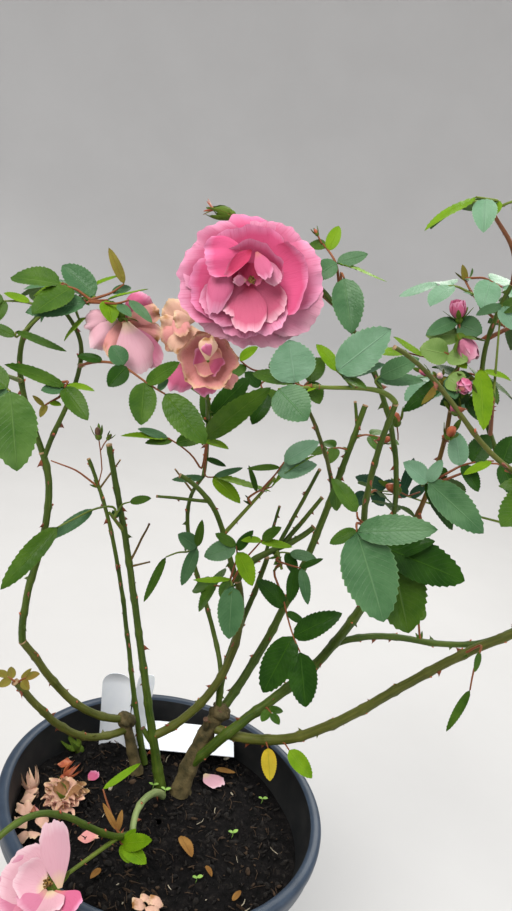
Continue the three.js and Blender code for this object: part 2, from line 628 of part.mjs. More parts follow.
      leaflet([130, 502, 40], [151, 498, 38], 9, 0.3),
    ] },
  ],
  thin_leaf: [
    { stalk: [[196, 548, 62], [197, 547, 56]], leaflets: [
      leaflet([197, 547, 56], [179, 534, 50], 15, 0.6),
      leaflet([197, 546, 56], [202, 521, 54], 8, 0.5),
      leaflet([196, 549, 56], [181, 586, 44], 12, 0.6),
    ] },
    { stalk: [[190, 552, 58], [178, 552, 50], [166, 557, 44]], leaflets: [
      leaflet([166, 557, 44], [142, 603, 34], 8, 0.3),
    ] },
  ],
};

// A flower is one ruffled body: whorls of petals from the outside in, each a scalloped ridge at
// [its share of the flower's radius, its height], with so many lobes and corners round it.

const BLOOM_KINDS = {
  open: {
    lobes: 7, corners: 21, scallop: 0.1, tall: 0.87, back: [[0.22, -0.34], [0.66, -0.2]],
    whorls: [[1, 0], [0.82, 0.18], [0.58, 0.32], [0.34, 0.4]],
  },
  faded: {
    lobes: 5, corners: 15, scallop: 0.16, tall: 1, back: [[0.24, -0.5], [0.7, -0.34]],
    whorls: [[1, -0.02], [0.72, 0.3], [0.4, 0.5]],
  },
  bud: {
    lobes: 5, corners: 10, scallop: 0.08, tall: 1, back: [[0.3, -0.8], [0.52, -0.4]],
    whorls: [[0.5, 0.2], [0.22, 0.9]],
  },
};

// Small helpers

const point = ([x, y, z]) => new THREE.Vector3(x, y, z);

function heading(azimuth, elevation) {
  const a = THREE.MathUtils.degToRad(azimuth);
  const e = THREE.MathUtils.degToRad(elevation);
  return new THREE.Vector3(Math.cos(e) * Math.cos(a), Math.cos(e) * Math.sin(a), Math.sin(e));
}

function seededRandom(seed) {
  let state = seed;
  return () => {
    state = (state + 0x6d2b79f5) >>> 0;
    let t = Math.imul(state ^ (state >>> 15), state | 1);
    t ^= t + Math.imul(t ^ (t >>> 7), t | 61);
    return ((t ^ (t >>> 14)) >>> 0) / 4294967296;
  };
}

function solidOf(geometry) {
  const plain = geometry.clone();
  plain.deleteAttribute('normal');
  plain.deleteAttribute('uv');
  const merged = mergeVertices(plain, 1e-4);
  return new wasm.Manifold(new wasm.Mesh({
    numProp: 3,
    vertProperties: new Float32Array(merged.attributes.position.array),
    triVerts: new Uint32Array(merged.index.array),
  }));
}

function join(solids) {
  return solids.reduce((sum, solid) => sum.add(solid));
}

// Keeps the largest closed surface, so that no crumb or sealed pocket is left after a cut or join.
function largestSurface(triangles, count) {
  const parent = Array.from({ length: count }, (_, i) => i);
  const find = (i) => {
    while (parent[i] !== i) {
      parent[i] = parent[parent[i]];
      i = parent[i];
    }
    return i;
  };
  for (let t = 0; t < triangles.length; t += 3) {
    parent[find(triangles[t])] = find(triangles[t + 1]);
    parent[find(triangles[t + 1])] = find(triangles[t + 2]);
  }
  const sizes = new Map();
  for (let t = 0; t < triangles.length; t += 3) {
    const root = find(triangles[t]);
    sizes.set(root, (sizes.get(root) ?? 0) + 1);
  }
  const [largest] = [...sizes.entries()].reduce((a, b) => (b[1] > a[1] ? b : a));
  return triangles.filter((_, i) => find(triangles[i - (i % 3)]) === largest);
}

function geometryOf(solid) {
  const mesh = solid.getMesh();
  const geometry = new THREE.BufferGeometry();
  geometry.setAttribute('position', new THREE.BufferAttribute(mesh.vertProperties, 3));
  geometry.setIndex([...largestSurface([...mesh.triVerts], mesh.vertProperties.length / 3)]);
  geometry.computeVertexNormals();
  return geometry;
}

// Limbs

// A round bar bent along a curve: a cylinder whose rings are laid across the curve.
function barThrough(spots, frames, radiusAt, sides) {
  const steps = spots.length - 1;
  const bar = new THREE.CylinderGeometry(1, 1, 1, sides, steps);
  const position = bar.attributes.position;
  for (let i = 0; i < position.count; i += 1) {
    const step = Math.round((0.5 - position.getY(i)) * steps);
    const radius = radiusAt(step / steps);
    const spot = spots[step].clone();
    spot.addScaledVector(frames.normals[step], position.getX(i) * radius);
    spot.addScaledVector(frames.binormals[step], position.getZ(i) * radius);
    position.setXYZ(i, spot.x, spot.y, spot.z);
  }
  return solidOf(bar);
}

function bentBar(curve, radiusAt, sides, steps) {
  return barThrough(curve.getSpacedPoints(steps), curve.computeFrenetFrames(steps), radiusAt, sides);
}

function limbCurve(start, end, leave, arrive, slack = [0.36, 0.36]) {
  const chord = start.distanceTo(end);
  return new THREE.CubicBezierCurve3(
    start,
    start.clone().addScaledVector(heading(...leave), chord * slack[0]),
    end.clone().addScaledVector(heading(...arrive), -chord * slack[1]),
    end,
  );
}

function lumpyBall(centre, radius, random, grow) {
  const ball = new THREE.IcosahedronGeometry(1, 1);
  ball.deleteAttribute('normal');
  ball.deleteAttribute('uv');
  const merged = mergeVertices(ball, 1e-4);
  const position = merged.attributes.position;
  for (let i = 0; i < position.count; i += 1) {
    const reach = radius * (0.84 + 0.3 * random()) + grow;
    position.setXYZ(
      i,
      centre.x + position.getX(i) * reach,
      centre.y + position.getY(i) * reach,
      centre.z + position.getZ(i) * reach * 0.86,
    );
  }
  return solidOf(merged);
}

const limbCurves = {};
for (const [name, limb] of Object.entries(LIMBS)) {
  const start = limb.on ? limbCurves[limb.on[0]].getPointAt(limb.on[1]) : point(limb.from);
  limbCurves[name] = limbCurve(start, point(limb.to), limb.leave, limb.arrive, limb.slack);
}

function limbRadius(limb, u) {
  const [atStart, atEnd] = limb.thick;
  const flare = (limb.flare ?? 0) * Math.exp(-u * 9);
  return THREE.MathUtils.lerp(atStart, atEnd, u) + flare;
}

// The limb's solid, or, with a grow above 0, the slightly larger body that keeps others clear.
function limbSolid(name, grow = 0) {
  const limb = LIMBS[name];
  const curve = limbCurves[name];
  const steps = Math.max(5, Math.round(curve.getLength() / 26));
  const sides = limb.thick[0] > 3 ? 7 : 6;
  const parts = [bentBar(curve, (u) => limbRadius(limb, u) + grow, sides, steps)];
  if (grow > 0) {
    const tip = curve.getPointAt(1);
    const beyond = tip.clone().addScaledVector(curve.getTangentAt(1), grow);
    parts.push(bentBar(new THREE.LineCurve3(tip, beyond), () => limb.thick[1] + grow, sides, 1));
  }
  if (limb.knot) {
    parts.push(lumpyBall(curve.getPointAt(0.97), limb.knot, seededRandom(7), grow));
  }
  for (const stub of limb.stubs ?? []) {
    const root = curve.getPointAt(stub.at);
    const tip = root.clone().addScaledVector(heading(stub.azimuth, stub.lift), stub.length + grow);
    const radius = (u) => stub.radius * (1.15 - 0.3 * u) + grow;
    parts.push(bentBar(new THREE.LineCurve3(root, tip), radius, 6, 1));
  }
  return join(parts);
}

// The ground under the stems: everything below it is cut away, so each stem stands on a flat cut.
function groundBlock() {
  const depth = 40;
  const block = new THREE.BoxGeometry(2 * RIM_RADIUS, 2 * RIM_RADIUS, depth);
  block.translate(0, 0, SOIL_TOP + SEAT_GAP - depth / 2);
  return solidOf(block);
}

// Leaves

// The corners of a blade: its root, right edge, tip and left edge, as it lies along and across.
function bladeCorners(blade) {
  const left = new THREE.Vector3().crossVectors(blade.up, blade.along);
  const half = blade.broad / 2;
  const spot = (x, y, z) => blade.root.clone()
    .addScaledVector(blade.along, x * blade.length)
    .addScaledVector(left, y * blade.length)
    .addScaledVector(blade.up, z * blade.length);
  return [spot(0, 0, 0), spot(WIDEST, -half, EDGE_LIFT), spot(1, 0, TIP_DROP), spot(WIDEST, half, EDGE_LIFT)];
}

// A thin closed blade of eight faces between its four corners and the middles of its two surfaces.
function bladeSolid(blade, thickness) {
  const corners = bladeCorners(blade);
  const middle = blade.root.clone().addScaledVector(blade.along, WIDEST * blade.length);
  corners.push(middle.clone().addScaledVector(blade.up, 0.5 * thickness * blade.length));
  corners.push(middle.clone().addScaledVector(blade.up, -0.5 * thickness * blade.length));
  const geometry = new THREE.BufferGeometry();
  const numbers = corners.flatMap((corner) => corner.toArray());
  geometry.setAttribute('position', new THREE.Float32BufferAttribute(numbers, 3));
  geometry.setIndex([0, 1, 4, 1, 2, 4, 2, 3, 4, 3, 0, 4, 1, 0, 5, 2, 1, 5, 3, 2, 5, 0, 3, 5]);
  return solidOf(geometry);
}

// Where the pairs of leaflets sit along the leaf's stalk, and their size beside the end leaflet.
const PAIR_PLACES = {
  0: [],
  1: [],
  3: [[0.66, 0.9]],
  5: [[0.76, 0.94], [0.44, 0.78]],
  7: [[0.8, 0.95], [0.56, 0.86], [0.33, 0.7]],
};

function makeLeaf(root, azimuth, lift, roll, size, random) {
  const out = heading(azimuth, lift);
  const side = new THREE.Vector3().crossVectors(out, OPEN_SKY).normalize();
  const up = new THREE.Vector3().crossVectors(side, out).applyAxisAngle(out, roll);
  side.applyAxisAngle(out, roll);
  const droop = THREE.MathUtils.degToRad(18 + 14 * random());
  const late = out.clone().applyAxisAngle(side, -droop);
  const bend = root.clone().addScaledVector(out, size.rachis / 2);
  const tip = bend.clone().addScaledVector(late, size.rachis / 2);
  const stalk = new THREE.CurvePath();
  stalk.add(new THREE.LineCurve3(root, bend));
  stalk.add(new THREE.LineCurve3(bend, tip));
  const blades = [];
  const addBlade = (place, swing, scale) => {
    const forward = stalk.getTangentAt(place);
    const normal = up.clone().addScaledVector(forward, -up.dot(forward)).normalize();
    const along = forward.clone().applyAxisAngle(normal, swing);
    along.addScaledVector(normal, -0.12).normalize();
    const face = normal.addScaledVector(along, -normal.dot(along)).normalize();
    const length = size.leaflet * scale * (0.92 + 0.16 * random());
    blades.push({ root: stalk.getPointAt(place), along, up: face, length, broad: BLADE_BROAD });
  };
  if (size.leaflets > 0) {
    addBlade(1, 0, 1);
  }
  for (const [place, scale] of PAIR_PLACES[size.leaflets]) {
    const swing = THREE.MathUtils.degToRad(54 + 12 * random());
    addBlade(place - 0.01, swing, scale);
    addBlade(place + 0.01, -swing, scale);
  }
  return { stalk: { points: stalk.getSpacedPoints(5), radius: STALK_RADIUS, curve: stalk }, blades };
}

function leafSolids(leaf) {
  const blades = leaf.blades.map((blade) => bladeSolid(blade, BLADE_THICKNESS));
  const stalk = bentBar(leaf.stalk.curve, (u) => STALK_RADIUS * (1.1 - 0.3 * u), 3, 2);
  return [stalk, ...blades];
}

// The point behind a pixel of the photograph, at a depth from the pot's centre.
function seenSpot([across, down, depth]) {
  const x = (across - PHOTO_CENTRE[0]) / FOCAL_PX;
  const y = (down - PHOTO_CENTRE[1]) / FOCAL_PX;
  const [sin, cos] = [Math.sin(ROLL), Math.cos(ROLL)];
  const level = x * cos - y * sin;
  const fall = x * sin + y * cos;
  const way = new THREE.Vector3(level, 0, 0)
    .add(new THREE.Vector3(0, -Math.sin(PITCH_DOWN), -Math.cos(PITCH_DOWN)).multiplyScalar(fall))
    .add(new THREE.Vector3(0, Math.cos(PITCH_DOWN), -Math.sin(PITCH_DOWN)));
  return VIEW_FROM.clone().addScaledVector(way, (depth - VIEW_FROM.y) / way.y);
}

const nearestOf = (spots, target) => spots.reduce((best, spot) => (
  spot.distanceTo(target) < best.distanceTo(target) ? spot : best));

// The stalk of a seen leaf runs on from the nearest spot of its spray's stem. Each further leaf
// leaves the stem a little lower down.
function seenLeaf(stem, item, order) {
  const spots = item.stalk.map(seenSpot);
  const stemSpots = stem.getSpacedPoints(48);
  const nearest = stemSpots.indexOf(nearestOf(stemSpots, spots[0]));
  const joint = stemSpots[Math.max(0, nearest - 2 * order)];
  const rest = joint.distanceTo(spots[0]) > 2 ? spots : spots.slice(1);
  const points = [joint, ...rest];
  const runs = rest.map((spot, i) => new THREE.Line3(points[i], spot));
  const blades = item.leaflets.map((seen) => {
    const foot = seenSpot(seen.foot);
    const root = nearestOf(runs.map((run) => run.closestPointToPoint(foot, true, new THREE.Vector3())), foot);
    const along = seenSpot(seen.tip).sub(root);
    const length = along.length();
    along.normalize();
    const up = OPEN_SKY.clone().lerp(VIEW_FROM.clone().sub(root).normalize(), seen.facing);
    up.addScaledVector(along, -up.dot(along)).normalize();
    return { root, along, up, length, broad: seen.broad / length };
  });
  return { stalk: { points, radius: STALK_RADIUS }, blades };
}

function seenLeafSolids(leaf) {
  const blades = leaf.blades.map((blade) => bladeSolid(blade, BLADE_THICKNESS));
  const { points, radius } = leaf.stalk;
  const frames = new THREE.CatmullRomCurve3(points).computeFrenetFrames(points.length - 1);
  return [barThrough(points, frames, (u) => radius * (1.1 - 0.3 * u), 3), ...blades];
}

// What touches what. A line is a row of points with a radius: a limb, a stem or a leaf stalk.

function lineTouchesBlade(line, blade, clearance) {
  const left = new THREE.Vector3().crossVectors(blade.up, blade.along);
  const margin = line.radius + clearance;
  const middle = blade.root.clone().addScaledVector(blade.along, blade.length / 2);
  const near = blade.length * 0.75 + margin;
  const local = (spot) => {
    const d = spot.clone().sub(blade.root);
    return [d.dot(blade.along) / blade.length, d.dot(left), d.dot(blade.up)];
  };
  for (let i = 0; i + 1 < line.points.length; i += 1) {
    const [from, to] = [line.points[i], line.points[i + 1]];
    if (from.distanceTo(middle) > near + from.distanceTo(to)) {
      continue;
    }
    const [a, b] = [local(from), local(to)];
    if (a[2] * b[2] < 0 || Math.min(Math.abs(a[2]), Math.abs(b[2])) < margin) {
      const t = a[2] === b[2] ? 0.5 : THREE.MathUtils.clamp(a[2] / (a[2] - b[2]), 0, 1);
      const x = a[0] + t * (b[0] - a[0]);
      const y = a[1] + t * (b[1] - a[1]);
      const share = x < WIDEST ? x / WIDEST : (1 - x) / (1 - WIDEST);
      if (Math.abs(y) < Math.max(0, share) * blade.broad / 2 * blade.length + margin
        && x > -margin / blade.length && x < 1 + margin / blade.length) {
        return true;
      }
    }
  }
  return false;
}

function bladeLines(blade) {
  const [root, right, tip, left] = bladeCorners(blade);
  const inner = root.clone().lerp(tip, 0.12);
  return { points: [inner, right, tip, left, inner, tip, right, left], radius: 0 };
}

const bladesTouch = (a, b) => lineTouchesBlade(bladeLines(a), b, LEAF_CLEARANCE)
  || lineTouchesBlade(bladeLines(b), a, LEAF_CLEARANCE);

function linesTouch(a, b) {
  const margin = a.radius + b.radius + LEAF_CLEARANCE;
  return a.points.some((spot) => {
    for (let i = 0; i + 1 < b.points.length; i += 1) {
      const edge = new THREE.Line3(b.points[i], b.points[i + 1]);
      if (edge.closestPointToPoint(spot, true, new THREE.Vector3()).distanceTo(spot) < margin) {
        return true;
      }
    }
    return false;
  });
}

function ballTouches(ball, spots) {
  return spots.some((spot) => spot.distanceTo(ball.centre) < ball.radius + LEAF_CLEARANCE);
}

// Blossom

function bloomSolid(bloom, centre, random) {
  const kind = BLOOM_KINDS[bloom.kind];
  const facing = heading(bloom.azimuth, bloom.lift);
  const across = new THREE.Vector3().crossVectors(new THREE.Vector3(0, 0, 1), facing).normalize();
  const upward = new THREE.Vector3().crossVectors(facing, across);
  const radius = bloom.size / 2;
  const valleyDepth = 0.12;
  const rings = kind.back.map(([share, height]) => ({ share, height, whorl: 0, scallop: 0 }));
  kind.whorls.forEach(([share, height], whorl) => {
    rings.push({ share, height, whorl, scallop: kind.scallop });
    const next = kind.whorls[whorl + 1] ?? [share * 0.5, height];
    const inner = Math.min(next[0] * 1.08, (next[0] + share) / 2);
    rings.push({ share: inner, height: height - valleyDepth, whorl: whorl + 1, scallop: kind.scallop });
  });
  const ragged = kind.whorls.map(() => Array.from({ length: kind.corners }, () => 1 - 0.08 * random()));
  const spot = (x, y, z) => centre.clone()
    .addScaledVector(across, x * radius)
    .addScaledVector(upward, y * radius * kind.tall)
    .addScaledVector(facing, z * radius);
  const spots = [spot(0, 0, kind.back[0][1] - 0.04)];
  for (const ring of rings) {
    for (let k = 0; k < kind.corners; k += 1) {
      const angle = 2 * Math.PI * k / kind.corners;
      const lobe = Math.abs(Math.cos(kind.lobes * angle / 2 + ring.whorl * Math.PI / 2));
      const torn = ragged[Math.min(ring.whorl, ragged.length - 1)][k];
      const reach = ring.share * torn * (1 - ring.scallop * (1 - lobe));
      spots.push(spot(reach * Math.cos(angle), reach * Math.sin(angle), ring.height));
    }
  }
  const [, lastHeight] = kind.whorls[kind.whorls.length - 1];
  spots.push(spot(0, 0, lastHeight - valleyDepth * 1.5));
  const front = spots.length - 1;
  const indices = [];
  for (let k = 0; k < kind.corners; k += 1) {
    const next = (k + 1) % kind.corners;
    indices.push(0, 1 + next, 1 + k);
    for (let ring = 0; ring + 1 < rings.length; ring += 1) {
      const [a, b] = [1 + ring * kind.corners, 1 + (ring + 1) * kind.corners];
      indices.push(a + k, a + next, b + next, a + k, b + next, b + k);
    }
    const last = 1 + (rings.length - 1) * kind.corners;
    indices.push(last + k, last + next, front);
  }
  const geometry = new THREE.BufferGeometry();
  geometry.setAttribute('position', new THREE.Float32BufferAttribute(spots.flatMap((v) => v.toArray()), 3));
  geometry.setIndex(indices);
  return solidOf(geometry);
}

// Sprays

function sprayStem(spray) {
  const [limb, at] = spray.on;
  const start = limbCurves[limb].getPointAt(at);
  const end = point(spray.to);
  const span = start.distanceTo(end);
  const straight = end.clone().sub(start).normalize();
  const first = at === 1 ? limbCurves[limb].getTangentAt(1) : straight.clone();
  const lead = first.add(straight).normalize();
  return new THREE.CubicBezierCurve3(
    start,
    start.clone().addScaledVector(lead, span * 0.35),
    end.clone().addScaledVector(straight, -span * 0.3),
    end,
  );
}

// Every spray starts as its stem, side twigs and the places of its leaves.

function leafPlaces(curve, shoot, random) {
  const places = [];
  for (let i = 0; i < shoot.leaves; i += 1) {
    const along = shoot.leaves === 1 ? 1 : shoot.first + (1 - shoot.first) * (i / (shoot.leaves - 1));
    places.push({
      root: curve.getPointAt(along),
      azimuth: shoot.phase + i * shoot.turn + 14 * (random() - 0.5),
      lift: shoot.lift + 16 * (random() - 0.5),
      roll: 0.5 * (random() - 0.5),
      scale: 0.88 + 0.2 * random(),
    });
  }
  return places;
}

function sideTwig(stem, spray, index, random) {
  const start = stem.getPointAt(0.35 + 0.5 * (index / Math.max(1, spray.twigs)));
  const azimuth = spray.phase + 70 + index * GOLDEN_TURN + 20 * (random() - 0.5);
  const length = (spray.rachis + spray.leaflet) * (0.7 + 0.3 * random());
  const bend = start.clone().addScaledVector(heading(azimuth, 15), length * 0.5);
  const end = bend.clone().addScaledVector(heading(azimuth, 45), length * 0.5);
  return new THREE.QuadraticBezierCurve3(start, bend, end);
}

const limbLines = [];
for (const [name, limb] of Object.entries(LIMBS)) {
  const curve = limbCurves[name];
  const radius = limbRadius(limb, 0.3);
  const points = curve.getSpacedPoints(Math.ceil(curve.getLength() / 5));
  limbLines.push({ points, radius, owner: name });
  for (const stub of limb.stubs ?? []) {
    const root = curve.getPointAt(stub.at);
    const tip = root.clone().addScaledVector(heading(stub.azimuth, stub.lift), stub.length);
    limbLines.push({ points: [root, root.clone().lerp(tip, 0.5), tip], radius: stub.radius, owner: name });
  }
}

const placed = { lines: limbLines, blades: [], balls: [] };
const rimLine = { points: [], radius: 9 };
for (let azimuth = 0; azimuth <= 360; azimuth += 5) {
  rimLine.points.push(heading(azimuth, 0).multiplyScalar(RIM_RADIUS - 5).setZ(POT_HEIGHT - 8));
}
placed.lines.push(rimLine);

function keep(leaf) {
  placed.lines.push(leaf.stalk);
  placed.blades.push(...leaf.blades);
}

const bladeIsFree = (blade) => !placed.lines.some((line) => lineTouchesBlade(line, blade, LEAF_CLEARANCE))
  && !placed.blades.some((other) => bladesTouch(blade, other))
  && !placed.balls.some((ball) => ballTouches(ball, bladeCorners(blade).slice(1)));

function stalkIsFree(stalk, home) {
  const outer = { points: stalk.points.slice(1), radius: stalk.radius };
  return !placed.lines.some((line) => line !== home && linesTouch(outer, line))
    && !placed.blades.some((blade) => lineTouchesBlade(outer, blade, LEAF_CLEARANCE))
    && !placed.balls.some((ball) => ballTouches(ball, outer.points));
}

const BLOOM_HEART = 0.8;

// A seen leaf keeps its place. It may touch its own spray, and grows clear of everything else.
function placeSeenLeaf(leaf, name) {
  const host = SPRAYS[name].on[0];
  const strange = (item) => item.owner !== name;
  const far = (line) => strange(line) && line.owner !== host;
  const hearts = placed.balls.filter(strange)
    .map(({ centre, radius }) => ({ centre, radius: radius * BLOOM_HEART }));
  leaf.stalk.owner = name;
  const free = !placed.lines.some((line) => far(line) && linesTouch(leaf.stalk, line))
    && !placed.blades.some((blade) => strange(blade) && lineTouchesBlade(leaf.stalk, blade, LEAF_CLEARANCE))
    && !hearts.some((heart) => ballTouches(heart, leaf.stalk.points));
  if (!free) {
    return false;
  }
  leaf.blades = leaf.blades.filter((blade) => (
    !placed.lines.some((line) => strange(line) && lineTouchesBlade(line, blade, LEAF_CLEARANCE))
    && !placed.blades.some((other) => strange(other) && bladesTouch(blade, other))
    && !hearts.some((heart) => ballTouches(heart, bladeCorners(blade).slice(1)))));
  leaf.blades.forEach((blade) => Object.assign(blade, { owner: name }));
  keep(leaf);
  return true;
}

// A leaf that would touch a limb, a stem or another leaf is tried at a few other headings, and is
// left out if none is free. A single leaflet that would touch is left out by itself.
const TRIES = [[0, 0], [18, 6], [-18, 6], [36, 14], [-36, 14], [60, 20], [-60, 20], [90, 10], [-90, 10]];

function placeLeaf(place, size, seed, home) {
  let best = null;
  for (const [swing, rise] of TRIES) {
    const azimuth = place.azimuth + swing;
    const leaf = makeLeaf(place.root, azimuth, place.lift + rise, place.roll, size, seededRandom(seed));
    if (stalkIsFree(leaf.stalk, home)) {
      const wanted = leaf.blades.length;
      leaf.blades = leaf.blades.filter(bladeIsFree);
      if (!best || leaf.blades.length > best.blades.length) {
        best = leaf;
      }
      if (leaf.blades.length === wanted) {
        break;
      }
    }
  }
  if (best && best.blades.length > 0) {
    keep(best);
    return best;
  }
  return null;
}

const limbSprigs = {};
for (const [name, limb] of Object.entries(LIMBS)) {
  limbSprigs[name] = (limb.sprigs ?? []).map((sprig, i) => {
    const root = limbCurves[name].getPointAt(sprig.at);
    return makeLeaf(root, sprig.azimuth, sprig.lift, 0, sprig, seededRandom(i + 1));
  });
  limbSprigs[name].forEach(keep);
}

const sprays = {};
for (const [name, spray] of Object.entries(SPRAYS)) {
  const curve = sprayStem(spray);
  const line = { points: curve.getSpacedPoints(6), radius: STEM_RADIUS, owner: name };
  sprays[name] = { spray, shoots: [{ curve, line }], leaves: [], seen: [] };
  placed.lines.push(line);
  for (const bloom of spray.blooms ?? []) {
    placed.balls.push({ centre: curve.getPointAt(1), radius: bloom.size * 0.5, owner: name });
  }
}

for (const [name, items] of Object.entries(SEEN_LEAVES)) {
  const leaves = items.map((item, order) => seenLeaf(sprays[name].shoots[0].curve, item, order));
  sprays[name].seen = leaves.filter((leaf) => placeSeenLeaf(leaf, name));
}

for (const { spray, shoots, leaves } of Object.values(sprays)) {
  const random = seededRandom(spray.seed);
  const [stem] = shoots;
  const { phase: firstPhase, turn, lift } = spray;
  Object.assign(stem, { leaves: spray.leaves, first: 0.4, phase: firstPhase, turn, lift });
  for (let k = 0; k < (spray.twigs ?? 0); k += 1) {
    const curve = sideTwig(stem.curve, spray, k, random);
    const line = { points: curve.getSpacedPoints(6), radius: TWIG_RADIUS };
    const phase = 360 * random();
    if (stalkIsFree(line, stem.line)) {
      placed.lines.push(line);
      shoots.push({ curve, line, leaves: 3, first: 0.45, phase, turn: GOLDEN_TURN, lift: 15 });
    }
  }
  shoots.forEach((shoot, s) => {
    leafPlaces(shoot.curve, shoot, random).forEach((place, i) => {
      const size = {
        rachis: spray.rachis * place.scale,
        leaflet: spray.leaflet * place.scale,
        leaflets: spray.leaflets,
      };
      const leaf = placeLeaf(place, size, spray.seed * 100 + s * 10 + i, shoot.line);
      if (leaf) {
        leaves.push(leaf);
      }
    });
  });
}

// The pot and what is in it

function turned(profile, segments) {
  const lathe = new THREE.LatheGeometry(profile.map(([r, z]) => new THREE.Vector2(r, z)), segments);
  lathe.rotateX(Math.PI / 2);
  return solidOf(lathe);
}

const POT_SEGMENTS = 36;
const wallRadius = (z) => THREE.MathUtils.lerp(BASE_RADIUS, MOUTH_RADIUS + WALL, z / POT_HEIGHT);

function potSolid() {
  const floor = 3;
  const skirt = POT_HEIGHT - LIP_DROP;
  const body = turned([
    [0, 0],
    [BASE_RADIUS - 3, 0],
    [wallRadius(4), 4],
    [wallRadius(skirt + 12), skirt + 12],
    [RIM_RADIUS - 2.4, skirt + 12],
    [RIM_RADIUS - 2.4, skirt],
    [RIM_RADIUS - 0.4, skirt],
    [RIM_RADIUS, skirt + 3],
    [RIM_RADIUS, POT_HEIGHT - 3.5],
    [RIM_RADIUS - 1.4, POT_HEIGHT - 0.8],
    [RIM_RADIUS - 3.6, POT_HEIGHT],
    [MOUTH_RADIUS + 0.4, POT_HEIGHT - 2.6],
    [MOUTH_RADIUS - 0.4, POT_HEIGHT - 6],
    [wallRadius(SOIL_TOP) - WALL, SOIL_TOP],
    [wallRadius(floor) - WALL, floor],
    [0, floor],
  ], POT_SEGMENTS);
  const hole = { count: 6, radius: 8, ring: 74 };
  const holes = [];
  for (let k = 0; k < hole.count; k += 1) {
    const angle = 2 * Math.PI * (k + 0.5) / hole.count;
    const drill = new THREE.CylinderGeometry(hole.radius, hole.radius, 4 * floor, 8);
    drill.rotateX(Math.PI / 2);
    drill.translate(hole.ring * Math.cos(angle), hole.ring * Math.sin(angle), 0);
    holes.push(solidOf(drill));
  }
  return body.subtract(join(holes));
}

// The compost's surface: flat where the stems stand, gently uneven towards the wall.
function soilHeight(x, y) {
  const fromStems = Math.hypot(x + 5, y - 48);
  const rough = THREE.MathUtils.smoothstep(fromStems, 66, 105);
  const heave = Math.sin(x * 0.061 + 1) * Math.cos(y * 0.053) + 0.5 * Math.sin(x * 0.13 + y * 0.11);
  return SOIL_TOP - rough * (3.5 - 2.2 * heave);
}

function soilSolid() {
  const underside = 3 + SEAT_GAP;
  const edge = wallRadius(SOIL_TOP - 1) - WALL - 2 * SEAT_GAP;
  const foot = wallRadius(underside) - WALL - 2 * SEAT_GAP;
  const profile = [[0, underside], [foot, underside], [edge, SOIL_TOP - 1]];
  for (const share of [0.94, 0.8, 0.62, 0.42, 0.2, 0]) {
    profile.push([edge * share, SOIL_TOP]);
  }
  const lathe = new THREE.LatheGeometry(profile.map(([r, z]) => new THREE.Vector2(r, z)), POT_SEGMENTS);
  lathe.rotateX(Math.PI / 2);
  const position = lathe.attributes.position;
  for (let i = 0; i < position.count; i += 1) {
    if (position.getZ(i) > SOIL_TOP - 0.5) {
      position.setZ(i, soilHeight(position.getX(i), position.getY(i)));
    }
  }
  return solidOf(lathe);
}

// Lowers a loose piece until its lowest spot is the seat gap above the compost. Where the
// compost's facets hollow out, it settles by that much more.
function laidOnSoil(solid, settle = 0) {
  const { vertProperties } = solid.getMesh();
  let drop = Infinity;
  for (let i = 0; i < vertProperties.length; i += 3) {
    const [x, y, z] = vertProperties.slice(i, i + 3);
    drop = Math.min(drop, z - soilHeight(x, y));
  }
  return solid.translate([0, 0, SEAT_GAP - settle - drop]);
}

// A blank plastic plant label: a card that lies on the compost, and the strap it hangs by,
// which rises behind the stems and is folded over.

const LABEL_SHEET = 0.8;

function sheetSolid(outline, frame, holes = []) {
  const shape = new THREE.Shape(outline.map(([x, y]) => new THREE.Vector2(x, y)));
  for (const [x, y, radius] of holes) {
    shape.holes.push(new THREE.Path().absarc(x, y, radius, 0, 2 * Math.PI));
  }
  const settings = { depth: LABEL_SHEET, bevelEnabled: false, curveSegments: 8 };
  const sheet = new THREE.ExtrudeGeometry(shape, settings);
  sheet.applyMatrix4(frame);
  return solidOf(sheet);
}

function frameAt(origin, along, across) {
  const x = along.clone().normalize();
  const z = new THREE.Vector3().crossVectors(x, across).normalize();
  const y = new THREE.Vector3().crossVectors(z, x);
  return new THREE.Matrix4().makeBasis(x, y, z).setPosition(origin);
}

function labelSolid() {
  const cardLength = 96;
  const card = sheetSolid(
    [[0, 0], [6, -8], [22, -14], [58, -14], [cardLength, 8], [cardLength - 8, 16], [0, 20]],
    frameAt(new THREE.Vector3(-38, 82, SOIL_TOP + 5), heading(8, 3), heading(98, 12)),
  );
  const strapHeight = 74;
  const strap = sheetSolid(
    [[0, -8], [17, -8], [17, strapHeight], [0, strapHeight]],
    frameAt(new THREE.Vector3(-52, 91, SOIL_TOP + 4), heading(5, 0), heading(100, 86)),
    [[6, strapHeight - 22, 4.5]],
  );
  const tongueWidth = 30;
  const round = Array.from({ length: 9 }, (_, i) => {
    const angle = Math.PI * i / 8;
    return [tongueWidth / 2 + tongueWidth / 2 * Math.cos(angle), 48 + 13 * Math.sin(angle)];
  });
  const tongue = sheetSolid(
    [[0, 0], [tongueWidth, 0], ...round],
    frameAt(new THREE.Vector3(-82, 84, SOIL_TOP + 20), heading(8, 0), heading(104, 84)),
  );
  const fold = sheetSolid(
    [[0, 0], [14, 0], [14, 24], [0, 24]],
    frameAt(new THREE.Vector3(-54.4, 87, SOIL_TOP + 24), heading(60, 0), heading(104, 84)),
  );
  return join([card, strap, tongue, fold]).subtract(groundBlock());
}

// What has dropped on the compost

function fallenPetal() {
  const along = heading(330, 3);
  const up = heading(90, 84);
  up.addScaledVector(along, -up.dot(along)).normalize();
  const root = new THREE.Vector3(28, 20, SOIL_TOP + 3);
  return laidOnSoil(bladeSolid({ root, along, up, length: 26, broad: 0.75 }, PETAL_THICKNESS));
}

